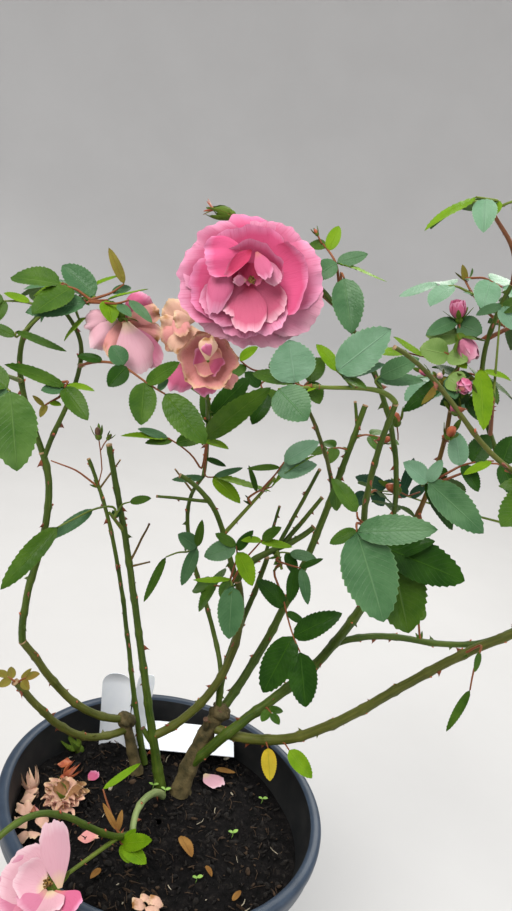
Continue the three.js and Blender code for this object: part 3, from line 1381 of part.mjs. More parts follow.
function witheredBloom() {
  const bloom = { kind: 'faded', size: 40, azimuth: 250, lift: 78 };
  return laidOnSoil(bloomSolid(bloom, new THREE.Vector3(-84, -12, SOIL_TOP + 14), seededRandom(51)), 0.6);
}

// Building and naming

function paint(colour, roughness) {
  return new THREE.MeshStandardMaterial({ color: colour, roughness, metalness: 0 });
}

const MATERIALS = {
  bark: paint(0x6b5a3c, 0.85),
  cane: paint(0x58692f, 0.6),
  leaf: paint(0x4d7038, 0.5),
  bloom: paint(0xe77fa6, 0.6),
  faded: paint(0xd9a08c, 0.7),
  pot: paint(0x22272f, 0.45),
  soil: paint(0x1d1713, 1),
  label: paint(0xe9edf2, 0.4),
  litter: paint(0xc9a878, 0.8),
};

const rose = new THREE.Group();

function addNode(name, solid, material) {
  const mesh = new THREE.Mesh(geometryOf(solid), material);
  mesh.name = name;
  rose.add(mesh);
}

addNode('pot', potSolid(), MATERIALS.pot);
addNode('compost', soilSolid(), MATERIALS.soil);

const ground = groundBlock();
const kept = [];
for (const name of Object.keys(LIMBS)) {
  const leaves = limbSprigs[name].flatMap(leafSolids);
  let solid = join([limbSolid(name), ...leaves]);
  for (const clearance of kept) {
    solid = solid.subtract(clearance);
  }
  if (!LIMBS[name].on) {
    solid = solid.subtract(ground);
  }
  kept.push(limbSolid(name, SEAT_GAP));
  addNode(name, solid, name === 'trunk' || name === 'left_stump' ? MATERIALS.bark : MATERIALS.cane);
}

for (const [name, { spray, shoots, leaves, seen }] of Object.entries(sprays)) {
  const random = seededRandom(spray.seed + 500);
  const blooms = spray.blooms ?? [];
  const bars = shoots.map(({ curve, line }, i) => {
    const steps = Math.max(2, Math.round(curve.getLength() / 16));
    return bentBar(curve, (u) => line.radius * (1 - 0.3 * u), i === 0 ? 4 : 3, steps);
  });
  const heads = blooms.map((bloom) => bloomSolid(bloom, shoots[0].curve.getPointAt(1), random));
  let solid = join([...bars, ...leaves.flatMap(leafSolids), ...seen.flatMap(seenLeafSolids), ...heads]);
  solid = solid.subtract(kept[Object.keys(LIMBS).indexOf(spray.on[0])]);
  const faded = blooms.some((bloom) => bloom.kind === 'faded');
  const open = blooms.some((bloom) => bloom.kind === 'open');
  addNode(name, solid, faded ? MATERIALS.faded : open ? MATERIALS.bloom : MATERIALS.leaf);
}

addNode('label', labelSolid(), MATERIALS.label);
addNode('fallen_petal', fallenPetal(), MATERIALS.bloom);
addNode('withered_bloom', witheredBloom(), MATERIALS.litter);

export default rose;
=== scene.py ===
"""A rose bush with long pruned canes in a round nursery pot, dressed for the render.

The bush is grown again here by the part's own rule, from the same named sizes in millimetres,
and is then given its full leaves, petals, prickles and bark. +X is to the viewer's right, +Y
points away and +Z is up. The origin is the centre of the pot's flat underside.
"""
import json
import math

import bpy
import numpy as np
from mathutils import Matrix, Vector, noise

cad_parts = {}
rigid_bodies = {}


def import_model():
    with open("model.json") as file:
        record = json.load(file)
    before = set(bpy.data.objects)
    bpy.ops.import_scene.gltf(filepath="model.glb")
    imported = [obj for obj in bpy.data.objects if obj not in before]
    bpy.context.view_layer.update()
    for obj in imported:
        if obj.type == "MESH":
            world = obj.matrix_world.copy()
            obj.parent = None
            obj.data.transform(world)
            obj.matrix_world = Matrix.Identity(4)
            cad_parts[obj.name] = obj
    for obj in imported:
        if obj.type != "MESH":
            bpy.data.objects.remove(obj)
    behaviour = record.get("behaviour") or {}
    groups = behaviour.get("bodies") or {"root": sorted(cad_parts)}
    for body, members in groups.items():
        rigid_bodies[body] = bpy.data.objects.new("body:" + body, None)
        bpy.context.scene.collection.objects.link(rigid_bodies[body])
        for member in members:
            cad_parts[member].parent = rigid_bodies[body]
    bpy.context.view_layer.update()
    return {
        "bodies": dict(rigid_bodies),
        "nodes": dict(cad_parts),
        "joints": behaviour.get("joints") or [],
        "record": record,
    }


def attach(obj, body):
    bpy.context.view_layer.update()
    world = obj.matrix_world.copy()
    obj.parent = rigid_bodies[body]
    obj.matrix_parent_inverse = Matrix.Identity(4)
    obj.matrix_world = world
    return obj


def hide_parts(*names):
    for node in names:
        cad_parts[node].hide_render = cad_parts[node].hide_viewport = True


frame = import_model()

# Driving dimensions, in millimetres; a leaflet's own are shares of its length

MM = 0.001
POT_HEIGHT = 225
RIM_RADIUS = 140
BASE_RADIUS = 98
WALL = 2.4
SOIL_TOP = POT_HEIGHT - 33
TOP_RADIUS = 132.4
LEAF_CLEARANCE = 0.8
BLADE_BROAD = 0.74
WIDEST = 0.48
EDGE_LIFT = 0.04
TIP_DROP = -0.04
STALK_RADIUS = 1
TWIG_RADIUS = 1.2
STEM_RADIUS = 1.6
UP = np.array([0.0, 0.0, 1.0])

# Turns, in degrees and in radians

GOLDEN_TURN = 137.5
ABOUT_A_TURN = 6.28

# The photograph's camera, in millimetres, pixels and radians: it looks along +Y and a little down

VIEW_FROM = np.array([10.0, -535.0, 671.0])
FOCAL_PX = 720
PHOTO_HIGH = 911
PHOTO_CENTRE = (256, 455.5)
PITCH_DOWN = math.radians(14.2)
ROLL = -0.231
LEVEL = np.array([1.0, 0.0, 0.0])
FALL = np.array([0.0, -math.sin(PITCH_DOWN), -math.cos(PITCH_DOWN)])
VIEW_AHEAD = np.array([0.0, math.cos(PITCH_DOWN), -math.sin(PITCH_DOWN)])
VIEW_RIGHT = math.cos(ROLL) * LEVEL + math.sin(ROLL) * FALL
VIEW_DOWN = -math.sin(ROLL) * LEVEL + math.cos(ROLL) * FALL


def seen_spot(pixel):
    """The point behind a pixel of the photograph, at a depth from the pot's centre."""
    across, down, depth = pixel
    way = (VIEW_AHEAD + VIEW_RIGHT * (across - PHOTO_CENTRE[0]) / FOCAL_PX
           + VIEW_DOWN * (down - PHOTO_CENTRE[1]) / FOCAL_PX)
    return VIEW_FROM + way * (depth - VIEW_FROM[1]) / way[1]


# The limbs and sprays of the part, as it names them. Headings are an azimuth and a lift in degrees.

def stub_row(at, azimuth, lift, length, radius):
    return {"at": at, "azimuth": azimuth, "lift": lift, "length": length, "radius": radius}


def sprig_row(at, azimuth, lift, rachis, leaflet, leaflets):
    return {"at": at, "azimuth": azimuth, "lift": lift, "rachis": rachis, "leaflet": leaflet,
            "leaflets": leaflets}


def limb_row(start, to, leave, arrive, thick, flare=0, knot=0, slack=(0.36, 0.36), stubs=(), sprigs=()):
    """A limb from a point, or from a share of another limb's length, with its two headings."""
    return {"start": start, "to": to, "leave": leave, "arrive": arrive, "thick": thick, "flare": flare,
            "knot": knot, "slack": slack, "stubs": stubs, "sprigs": sprigs}


def spray_row(on, to, leaves, phase, turn, lift, rachis, leaflet, leaflets, twigs=0, bloom=None):
    """A spray on a limb. Its bloom is a size and the flower's heading."""
    return {"on": on, "to": to, "leaves": leaves, "phase": phase, "turn": turn, "lift": lift,
            "rachis": rachis, "leaflet": leaflet, "leaflets": leaflets, "twigs": twigs, "bloom": bloom}


LIMBS = {
    "trunk": limb_row((13, 40, SOIL_TOP), (33, 62, 272), (73, 81), (41, 58), (7.6, 7), flare=3, knot=9.5,
        stubs=[stub_row(0.72, 250, 60, 24, 2.6)]),
    "left_stump": limb_row((-32, 52, SOIL_TOP), (-53, 60, 241), (154, 66), (162, 67), (5, 4.8),
        flare=2, knot=7.5),
    "pruned_tall": limb_row((-6, 40, SOIL_TOP), (-111, 40, 506), (171, 70), (201, 70), (3.9, 2.4), flare=1.5,
        stubs=[stub_row(0.13, 172, 45, 20, 2.6), stub_row(0.66, 350, 30, 20, 0.9),
               stub_row(0.67, 355, 75, 42, 1)]),
    "pruned_thin": limb_row((-27, 66, SOIL_TOP), (-140, 100, 471), (150, 62), (183, 59), (2.6, 1.7), flare=1,
        stubs=[stub_row(0.9, 20, 65, 34, 0.9)],
        sprigs=[sprig_row(0.905, 185, 28, 52, 0, 0)]),
    "front_low": limb_row((-3, 30, SOIL_TOP), (-18, -42, 212), (250, 50), (285, -25), (3.2, 2.6), flare=1),
    "left_low_cane": limb_row(("left_stump", 1), (-146, 5, 331), (204, 0), (211, 51), (3.7, 3.2)),
    "low_left_cane": limb_row(("left_stump", 0.8), (-132, -46, 327), (228, -2), (212, 49), (3.5, 2.8),
        sprigs=[sprig_row(0.98, 200, 45, 10, 11, 3), sprig_row(0.98, 320, 60, 12, 12, 3)]),
    "left_high_cane": limb_row(("left_low_cane", 1), (-149, -12, 503), (208, 80), (194, 65), (3.1, 2.6)),
    "left_outer": limb_row(("left_high_cane", 1), (-159, -24, 609), (198, 64), (20, 43), (2.4, 1.7)),
    "left_inner": limb_row(("left_high_cane", 0.97), (-141, -45, 616), (305, 70), (206, 36), (2, 1.4)),
    "mid_cane": limb_row(("pruned_tall", 0.16), (19, 48, 410), (7, 35), (199, 64), (4.1, 3.2)),
    "fork_right": limb_row(("mid_cane", 1), (73, 58, 471), (0, 84), (18, 57), (3.2, 2.4),
        stubs=[stub_row(0.55, 325, 75, 84, 1.7), stub_row(0.6, 20, 62, 56, 2),
               stub_row(0.42, 70, 80, 44, 1.4)]),
    "fork_left": limb_row(("mid_cane", 0.95), (-48, 36, 495), (190, 59), (186, 15), (2.6, 2),
        stubs=[stub_row(0.72, 186, -6, 44, 1.4)]),
    "thin_cane": limb_row(("mid_cane", 0.47), (-31, 72, 488), (105, 30), (327, 55), (2.3, 1.7),
        stubs=[stub_row(0.9, 160, 35, 26, 0.9)]),
    "bloom_cane": limb_row(("thin_cane", 1), (-36, -28, 596), (100, 62), (265, 62), (1.8, 1.5)),
    "second_cane": limb_row(("trunk", 0.95), (40, 62, 432), (195, 76), (271, 75), (3.2, 2.2)),
    "front_cane": limb_row(("trunk", 0.3), (127, 25, 427), (348, 62), (286, 63), (4.9, 3.9),
        slack=(0.49, 0.62),
        sprigs=[sprig_row(0.38, 300, 20, 14, 14, 3)]),
    "upper_cane": limb_row(("front_cane", 1), (91, -66, 608), (238, 55), (275, 70), (2.9, 1.9),
        slack=(0.5, 0.36),
        sprigs=[sprig_row(0.62, 60, 10, 24, 20, 3)]),
    "flower_cane": limb_row(("front_cane", 0.96), (20, -62, 672), (310, 74), (205, 30), (2.3, 1.7),
        sprigs=[sprig_row(0.33, 80, 10, 26, 22, 3)]),
    "tall_cane": limb_row(("trunk", 1), (100, 142, 572), (56, 41), (23, 84), (4.3, 2.7),
        stubs=[stub_row(0.93, 190, 70, 26, 1.6)],
        sprigs=[sprig_row(0.86, 200, 5, 22, 20, 3), sprig_row(0.9, 330, 30, 26, 20, 3)]),
    "side_cane": limb_row(("tall_cane", 0.72), (33, 68, 583), (243, 53), (232, 42), (2.1, 1.6),
        sprigs=[sprig_row(0.2, 330, -40, 10, 30, 1)]),
    "right_long": limb_row(("trunk", 0.8), (245, -20, 458), (345, -5), (343, 41), (4.8, 3.4),
        slack=(0.34, 0.42)),
    "right_low": limb_row(("front_cane", 0.75), (276, 55, 434), (15, 32), (342, 60), (3, 2.6),
        slack=(0.39, 0.5),
        sprigs=[sprig_row(0.44, 160, 70, 44, 15, 5)]),
    "right_mid": limb_row(("front_cane", 0.99), (146, 12, 602), (13, 70), (233, 72), (2.5, 1.7)),
    "right_upper": limb_row(("right_low", 1), (166, 24, 702), (230, 77), (331, 77), (2.7, 1.7),
        slack=(0.46, 0.47)),
    "near_upper": limb_row(("right_long", 1), (184, -118, 585), (282, 55), (214, 28), (2.2, 1.7)),
    "near_cane": limb_row(("near_upper", 1), (70, -133, 647), (189, 11), (183, 16), (1.7, 1.3),
        slack=(0.5, 0.36)),
    "front_left": limb_row(("front_low", 1), (-102, -165, 278), (247, 20), (229, -54), (2.7, 2),
        slack=(0.4, 0.47)),
}
SPRAYS = {
    "left_outer_spray": spray_row(("left_outer", 1), (-150, -22, 624), 1, 130, 115, 10, 34, 28, 5),
    "left_edge_spray": spray_row(("left_outer", 0.5), (-168, -62, 566), 0, 292, 150, -35, 26, 44, 3),
    "left_low_spray": spray_row(("left_inner", 0.5), (-133, -54, 567), 0, 195, 65, -5, 16, 26, 3),
    "left_reach_leaf": spray_row(("left_inner", 0.66), (-122, -42, 580), 0, 341, 0, 14, 62, 25, 7),
    "left_inner_spray": spray_row(("left_inner", 1), (-121, -50, 626), 1, 110, 100, 20, 24, 38, 3),
    "faded_bloom_left": spray_row(("bloom_cane", 0.8), (-90, -40, 600), 0, 100, 120, 30, 24, 28, 3,
                                  bloom=(56, 215, -42)),
    "faded_bloom_right": spray_row(("bloom_cane", 1), (-44, -54, 618), 1, 20, 0, 20, 24, 26, 3,
                                   bloom=(66, 250, -30)),
    "main_bloom": spray_row(("flower_cane", 1), (-19, -84, 660), 0, 0, 0, 0, 20, 20, 3, bloom=(96, 268, 8)),
    "top_bud": spray_row(("flower_cane", 0.93), (-40, -44, 700), 0, 0, 0, 0, 20, 20, 3, bloom=(24, 190, 35)),
    "flower_leaf": spray_row(("flower_cane", 0.84), (42, -52, 658), 0, 215, 0, 82, 40, 31, 5),
    "arch_spray": spray_row(("upper_cane", 1), (34, -90, 610), 0, 20, 112, 10, 22, 36, 3),
    "side_spray": spray_row(("side_cane", 1), (22, 54, 602), 1, 80, 112, 15, 26, 32, 3),
    "thin_spray": spray_row(("bloom_cane", 0.3), (-36, 36, 538), 0, 20, 160, 25, 34, 34, 5),
    "mid_spray": spray_row(("fork_left", 0.45), (30, 50, 508), 0, 150, 130, 18, 24, 28, 3),
    "left_long_leaf": spray_row(("pruned_tall", 0.76), (-98, 28, 452), 0, 212, 148, -12, 66, 32, 5),
    "thin_leaf": spray_row(("thin_cane", 0.6), (-32, 66, 424), 0, 215, 250, -25, 34, 28, 5),
    "centre_spray": spray_row(("mid_cane", 0.93), (12, 22, 412), 1, 100, 100, -15, 18, 30, 3),
    "hanging_leaf": spray_row(("fork_right", 0.55), (54, 42, 432), 0, 315, 0, -48, 82, 40, 5),
    "big_leaf_spray": spray_row(("upper_cane", 0.42), (93, -84, 527), 0, 290, 44, -20, 25, 45, 3),
    "right_mid_spray": spray_row(("right_mid", 0.62), (152, 4, 548), 1, 70, 100, 5, 26, 32, 3),
    "right_top_spray": spray_row(("right_mid", 1), (140, 10, 648), 2, 40, 137.5, 15, 30, 28, 5,
                                 bloom=(20, 200, 75)),
    "right_upper_spray": spray_row(("right_upper", 0.6), (170, -4, 618), 1, 60, 137.5, 0, 28, 34, 3, twigs=1,
                                   bloom=(22, 170, 50)),
    "right_back_spray": spray_row(("right_upper", 0.3), (262, 92, 530), 1, 60, 137.5, 15, 30, 36, 3),
    "right_crown_spray": spray_row(("right_upper", 0.86), (206, 60, 690), 4, 60, 137.5, 15, 32, 34, 3,
        twigs=1),
    "top_right_spray": spray_row(("right_upper", 1), (116, -52, 742), 2, 30, 100, 5, 26, 28, 3),
    "near_spray": spray_row(("near_upper", 0.97), (206, -134, 604), 4, 230, 110, 5, 34, 34, 3, twigs=1),
    "low_bloom": spray_row(("front_left", 0.12), (-58, -144, 250), 0, 0, 0, 0, 20, 20, 3,
        bloom=(78, 240, 58)),
}
FIRST_SEED = 11
for seed, row in enumerate(SPRAYS.values(), FIRST_SEED):
    row["seed"] = seed
PAIR_PLACES = {
    0: [],
    1: [],
    3: [[0.66, 0.9]],
    5: [[0.76, 0.94], [0.44, 0.78]],
    7: [[0.8, 0.95], [0.56, 0.86], [0.33, 0.7]],
}

# The leaves that the photograph shows, by the limb or the spray that carries them: the spots of
# a leaf's stalk, and its leaflets with foot, tip, width, facing and tint. A leaflet without a foot
# leaves the stalk's end. A spot is a place in the photograph in pixels and its depth behind the
# pot's centre in millimetres. A width is in millimetres. A leaflet faces the sky at 0, the viewer at 1.

# Some tints paint light: the bright yellow-green one light shining through the leaf, the cool grey-green and
# the pale ones a sheen of the sky, and the darkest one the shade on leaves at the back.
SEEN_SPRIGS = {
    "right_long": [
        ([(266, 742, 36), (268, 748, 30)], [(270, 781, 10, 14, 0.8, "yellow")]),
        ([(284, 742, 32), (289, 750, 26)], [(312, 778, 8, 15, 0.8, "light")]),
        ([(485, 642, -20), (478, 655, -26), (473, 672, -30), (470, 690, -32)], [
         (446, 732, -42, 7, 0.4, "mid"), (481, 652, -26, 475, 672, -34, 5, 0.4, "mid")]),
    ],
    "front_left": [
        ([(120, 842, -58), (123, 845, -60)], [(122, 843, -60, 151, 840, -72, 13, 0.6, "light"),
         (122, 843, -60, 146, 863, -76, 13, 0.6, "light"), (122, 843, -60, 129, 863, -72, 9, 0.6, "light"),
         (122, 842, -60, 136, 829, -58, 7, 0.6, "light")]),
        ([(118, 834, -58), (112, 816, -52), (106, 800, -46), (103, 789, -42)], [
         (141, 762, -20, 6, 0.3, "light"), (116, 830, -56, 103, 803, -52, 5, 0.5, "dry"),
         (117, 832, -57, 122, 810, -52, 5, 0.5, "dry")]),
    ],
}
SEEN_LEAVES = {
    "left_inner_spray": [
        ([(86, 303, -56)], [(25, 311, -70, 16, 0.5, "blue")]),
        ([(95, 296, -45)], [(62, 263, -42, 18, 0.6, "blue")]),
        ([(84, 291, -38), (62, 283, -32)], [(62, 284, -32, 32, 294, -38, 9, -0.2, "light"),
         (86, 290, -38, 118, 273, -38, 7, -0.2, "light")]),
        ([(108, 300, -57)], [(147, 286, -62, 8, -0.3, "light"),
         (107, 301, -57, 112, 321, -68, 13, 0.2, "light")]),
        ([(112, 293, -44), (124, 284, -42)], [(109, 247, -40, 7, 0.5, "young"),
         (112, 293, -44, 132, 286, -34, 7, 0.5, "blue")]),
        ([(118, 304, -65), (129, 300, -68)], [(152, 321, -78, 7, 0.5, "blue"),
         (118, 304, -65, 131, 316, -76, 7, 0.5, "blue")]),
        ([(80, 322, -54), (85, 318, -56)], [(62, 339, -58, 12, -0.3, "light")]),
    ],
    "left_outer_spray": [
        ([(14, 340, -40), (16, 332, -42)], [(65, 349, -58, 6, 0.6, "mid"),
         (15, 336, -41, -14, 322, -40, 9, 0.5, "mid")]),
        ([(32, 303, -28), (18, 301, -28), (4, 301, -28)], [(30, 302, -28, 4, 291, -30, 7, 0.3, "light"),
         (-34, 296, -30, 14, 0.4, "mid"), (6, 302, -28, -12, 324, -36, 12, 0.4, "mid")]),
    ],
    "left_low_spray": [
        ([(69, 381, -58), (64, 388, -60)], [(64, 386, -60, 7, 361, -76, 10, 0.4, "mid"),
         (66, 391, -60, 41, 390, -70, 9, 0.5, "blue"), (65, 389, -60, 87, 417, -76, 14, 0.6, "mid"),
         (67, 385, -59, 95, 390, -56, 8, -0.1, "light")]),
        ([(62, 396, -56), (50, 402, -58), (44, 406, -60)], [(33, 395, -62, 4, 0.4, "young"),
         (50, 402, -58, 61, 405, -62, 5, 0.4, "light"), (46, 404, -60, 40, 417, -66, 5, 0.4, "young")]),
    ],
    "left_edge_spray": [
        ([(6, 388, -88), (10, 391, -95)], [(17, 470, -112, 30, 0.7, "big"),
         (7, 389, -92, -44, 428, -98, 22, 0.5, "blue"), (7, 388, -91, -30, 360, -84, 18, 0.5, "mid")]),
    ],
    "left_reach_leaf": [
        ([(74, 369, -37), (85, 363, -46), (105, 361, -60), (125, 365, -76), (145, 383, -78),
          (165, 394, -78)], [
         (206, 444, -90, 20, 0.7, "mid"), (144, 383, -78, 141, 425, -90, 18, 0.8, "mid"),
         (146, 384, -78, 179, 362, -82, 11, 0.6, "mid"), (124, 364, -76, 111, 345, -74, 13, 0.7, "blue"),
         (126, 367, -76, 108, 386, -84, 13, 0.7, "deep"), (103, 361, -58, 77, 354, -58, 8, 0.3, "deep"),
         (158, 391, -78, 168, 379, -78, 5, 0.5, "blue")]),
    ],
    "thin_spray": [
        ([(202, 446, 34), (206, 438, 28)], [(264, 388, 4, 20, 0.6, "mid"),
         (204, 440, 29, 228, 446, 18, 8, 0.2, "light")]),
        ([(203, 440, 34), (208, 424, 30), (212, 416, 28)], [(247, 377, 24, 18, 0.5, "deep"),
         (208, 424, 30, 203, 390, 30, 10, 0.5, "mid")]),
        ([(202, 474, 52), (195, 457, 48), (180, 445, 44), (168, 438, 42)], [(138, 428, 36, 8, 0.5, "blue"),
         (172, 441, 43, 145, 442, 36, 9, 0.4, "mid"), (176, 443, 44, 207, 435, 36, 13, 0.5, "mid"),
         (121, 434, 30, 7, 0.2, "light")]),
        ([(204, 478, 54), (214, 477, 50)], [(242, 467, 46, 6, 0.5, "blue"),
         (213, 478, 50, 241, 501, 38, 15, 0.2, "light"), (214, 478, 50, 271, 486, 44, 10, -0.2, "light"),
         (205, 478, 55, 171, 479, 58, 7, 0.6, "blue")]),
        ([(203, 468, 56), (206, 459, 58)], [(226, 465, 54, 6, 0.4, "deep")]),
    ],
    "mid_spray": [
        ([(246, 499, 46), (258, 491, 42), (271, 487, 38)], [(311, 450, 26, 12, -0.3, "light"),
         (256, 492, 42, 250, 466, 42, 5, 0.5, "mid")]),
        ([(262, 489, 36), (276, 474, 30), (284, 462, 28)], [(284, 460, 28, 318, 441, 24, 16, 0.5, "pale"),
         (280, 468, 29, 247, 467, 26, 6, 0.5, "mid"), (282, 476, 30, 316, 464, 24, 16, 0.7, "pale")]),
    ],
    "side_spray": [
        ([(256, 372, 50), (246, 366, 44), (240, 360, 38)], [(256, 346, 32, 10, 0.3, "light"),
         (246, 366, 44, 228, 378, 36, 10, 0.4, "mid")]),
        ([(258, 384, 46), (268, 394, 38)], [(269, 394, 36, 252, 423, 24, 15, 0.3, "deep"),
         (260, 386, 44, 246, 372, 38, 12, 0.5, "deep"), (264, 390, 40, 288, 412, 40, 14, 0.4, "mid")]),
    ],
    "arch_spray": [
        ([(303, 387, -90), (295, 383, -92)], [(289, 340, -96, 29, 0.75, "pale"),
         (296, 384, -91, 252, 371, -84, 13, 0.3, "mid")]),
        ([(300, 388, -92), (291, 388, -96), (278, 389, -98)], [(307, 418, -112, 24, 0.7, "blue")]),
        ([(304, 386, -88), (308, 382, -82)], [(321, 403, -86, 13, 0.3, "mid"),
         (307, 382, -82, 322, 356, -72, 13, 0.4, "mid")]),
        ([(343, 376, -84), (337, 371, -88)], [(390, 329, -104, 24, 0.75, "pale"),
         (317, 343, -80, 9, 0.3, "light"), (341, 375, -86, 384, 364, -98, 8, 0.8, "pale"),
         (343, 377, -86, 367, 388, -94, 7, 0.3, "mid")]),
        ([(374, 381, -74), (380, 376, -74)], [(418, 358, -84, 13, 0.7, "blue"),
         (376, 380, -74, 425, 379, -70, 10, 0.5, "blue")]),
    ],
    "flower_leaf": [
        ([(341, 270, -61), (344, 278, -66)], [(352, 333, -80, 20, 0.7, "blue")]),
        ([(337, 263, -60), (329, 251, -54), (323, 244, -50)], [
         (336, 263, -60, 313, 277, -66, 13, 0.6, "blue"), (338, 263, -60, 368, 253, -60, 10, 0.5, "blue"),
         (337, 264, -60, 388, 277, -68, 7, -0.2, "light"), (329, 250, -54, 339, 225, -48, 9, 0.3, "light"),
         (326, 248, -52, 308, 243, -46, 9, 0.5, "mid")]),
    ],
    "top_right_spray": [
        ([(500, 201, -56), (488, 199, -58), (476, 197, -60)], [(424, 223, -74, 9, -0.2, "light"),
         (486, 194, -59, 484, 230, -72, 15, 0.8, "pale"), (500, 200, -56, 491, 217, -58, 7, -0.2, "light")]),
        ([(508, 203, -52), (522, 198, -46)], [(556, 182, -44, 16, 0.5, "blue"),
         (518, 200, -48, 530, 224, -56, 14, 0.5, "mid")]),
    ],
    "right_top_spray": [
        ([(462, 342, 12), (459, 330, 14), (457, 320, 14)], [(427, 333, 2, 12, 0.5, "blue"),
         (458, 324, 14, 482, 333, 4, 18, 0.8, "blue"), (455, 336, 13, 427, 334, 8, 17, 0.6, "soft")]),
        ([(462, 352, 8), (452, 356, 4), (444, 352, 2)], [(443, 372, -2, 421, 348, -6, 20, 0.7, "soft"),
         (443, 372, -3, 467, 360, -8, 15, 0.7, "soft"), (452, 357, 4, 467, 368, -4, 11, 0.4, "light")]),
        ([(462, 360, 6), (454, 372, 0), (448, 377, -4)], [(447, 377, -4, 465, 389, -12, 17, 0.7, "soft"),
         (442, 382, -5, 456, 398, -14, 11, 0.6, "blue"), (437, 404, 4, 402, 411, -4, 13, 0.4, "deep"),
         (427, 381, -2, 421, 404, -8, 6, 0.4, "young")]),
        ([(455, 352, 14), (430, 358, 22), (408, 353, 24)], [(372, 350, 18, 10, 0.2, "light"),
         (424, 356, 24, 394, 336, 26, 8, 0.1, "light")]),
    ],
    "right_upper_spray": [
        ([(484, 372, 2), (480, 369, 0)], [(485, 430, -14, 17, 0.2, "light"),
         (484, 371, 1, 512, 378, -2, 10, 0.0, "light")]),
        ([(482, 384, 8), (466, 398, 8)], [(482, 420, 2, 14, 0.4, "deep"),
         (470, 395, 8, 440, 404, 4, 14, 0.4, "deep")]),
        ([(500, 318, 6), (502, 305, 8)], [(476, 315, 4, 8, 0.4, "blue"),
         (503, 306, 8, 516, 330, 0, 16, 0.4, "pale"), (501, 312, 7, 528, 296, 8, 12, 0.5, "mid")]),
    ],
    "right_mid_spray": [
        ([(420, 486, 4), (428, 482, 0)], [(404, 462, -2, 16, 0.5, "pale"),
         (430, 482, 0, 442, 460, -2, 10, 0.5, "pale"), (431, 484, 0, 485, 533, -16, 25, 0.7, "blue"),
         (428, 485, 2, 456, 531, 8, 15, 0.5, "deep")]),
        ([(431, 482, 4), (448, 473, 6), (461, 465, 6), (480, 461, 6), (494, 461, 4)], [
         (460, 466, 6, 456, 432, 4, 16, 0.8, "pale"), (492, 461, 4, 464, 473, -4, 7, 0.4, "light"),
         (462, 466, 6, 480, 491, -2, 13, 0.4, "deep"), (448, 473, 6, 432, 472, 14, 9, 0.5, "deep"),
         (472, 462, 7, 488, 434, 12, 18, 0.5, "deep")]),
        ([(494, 461, 4), (504, 466, 2), (512, 470, 0)], [(500, 464, 3, 521, 499, -6, 17, 0.5, "deep"),
         (502, 464, 3, 512, 436, 8, 18, 0.5, "deep"), (545, 462, -4, 18, 0.5, "mid")]),
    ],
    # these leaves at the back all take the dark tint that paints their shade
    "right_back_spray": [
        ([(415, 500, 52), (400, 492, 54), (386, 488, 56), (366, 492, 58)], [(353, 506, 54, 12, 0.6, "dusk"),
         (386, 488, 56, 356, 476, 56, 13, 0.6, "dusk"), (372, 490, 57, 384, 506, 52, 12, 0.6, "dusk"),
         (408, 496, 53, 386, 480, 53, 13, 0.6, "dusk"), (410, 497, 53, 426, 484, 50, 9, 0.6, "dusk"),
         (402, 493, 54, 414, 458, 56, 9, 0.5, "dusk")]),
    ],
    "big_leaf_spray": [
        ([(356, 522, -96), (357, 532, -104)], [(437, 528, -118, 20, 0.6, "blue"),
         (356, 534, -104, 385, 622, -130, 35, 0.8, "blue"),
         (355, 530, -103, 329, 543, -104, 9, 0.5, "mid")]),
        ([(357, 518, -92), (357, 512, -90)], [(333, 477, -82, 12, 0.4, "mid")]),
        ([(360, 524, -90), (374, 540, -84), (392, 556, -80)], [
         (392, 552, -80, 410, 634, -98, 36, 0.6, "mid"), (390, 555, -80, 434, 539, -84, 13, 0.3, "deep"),
         (380, 547, -82, 466, 580, -92, 30, 0.5, "deep")]),
    ],
    "hanging_leaf": [
        ([(270, 568, 48), (282, 592, 40), (287, 616, 32), (293, 637, 24), (300, 652, 18)], [
         (306, 708, 2, 25, 0.75, "deep"), (292, 637, 24, 339, 613, 16, 20, 0.6, "deep"),
         (291, 637, 24, 262, 694, 6, 28, 0.7, "deep"), (285, 606, 35, 258, 580, 30, 18, 0.4, "deep"),
         (287, 612, 33, 306, 623, 28, 8, 0.4, "deep")]),
        ([(272, 556, 50), (281, 552, 50), (290, 553, 48)], [(316, 558, 42, 10, 0.6, "blue"),
         (286, 553, 49, 297, 575, 42, 11, 0.5, "deep")]),
        ([(274, 560, 44), (292, 566, 38), (301, 568, 36)], [(296, 568, 37, 290, 603, 28, 12, 0.5, "deep"),
         (309, 605, 26, 10, 0.4, "blue"), (301, 567, 36, 322, 558, 32, 6, 0.4, "deep")]),
    ],
    "centre_spray": [
        ([(231, 580, 18), (232, 586, 12)], [(229, 640, -2, 22, 0.75, "blue"),
         (231, 581, 16, 220, 597, 8, 12, 0.4, "mid"), (230, 578, 18, 193, 579, 10, 6, 0.1, "light")]),
        ([(233, 570, 22), (238, 556, 18), (236, 546, 16)], [(204, 556, 8, 17, 0.7, "blue"),
         (238, 550, 17, 252, 531, 14, 9, 0.5, "deep"), (238, 552, 17, 254, 585, 6, 16, 0.0, "light"),
         (216, 533, 14, 9, 0.5, "mid")]),
        ([(244, 560, 20), (258, 545, 16), (262, 540, 16)], [(281, 527, 14, 9, 0.5, "mid"),
         (262, 541, 16, 242, 539, 10, 7, 0.2, "light"), (261, 543, 16, 292, 545, 10, 8, 0.2, "light")]),
    ],
    "left_long_leaf": [
        ([(119, 505, 44), (106, 506, 38), (93, 509, 24), (58, 527, -12)], [(-2, 588, -44, 17, 0.4, "mid"),
         (93, 509, 24, 50, 538, -4, 11, 0.5, "blue")]),
        ([(122, 504, 42), (130, 502, 40)], [(151, 498, 38, 9, 0.3, "mid")]),
    ],
    "thin_leaf": [
        ([(196, 548, 62), (197, 547, 56)], [(179, 534, 50, 15, 0.6, "blue"),
         (197, 546, 56, 202, 521, 54, 8, 0.5, "mid"), (196, 549, 56, 181, 586, 44, 12, 0.6, "blue")]),
        ([(190, 552, 58), (178, 552, 50), (166, 557, 44)], [(142, 603, 34, 8, 0.3, "mid")]),
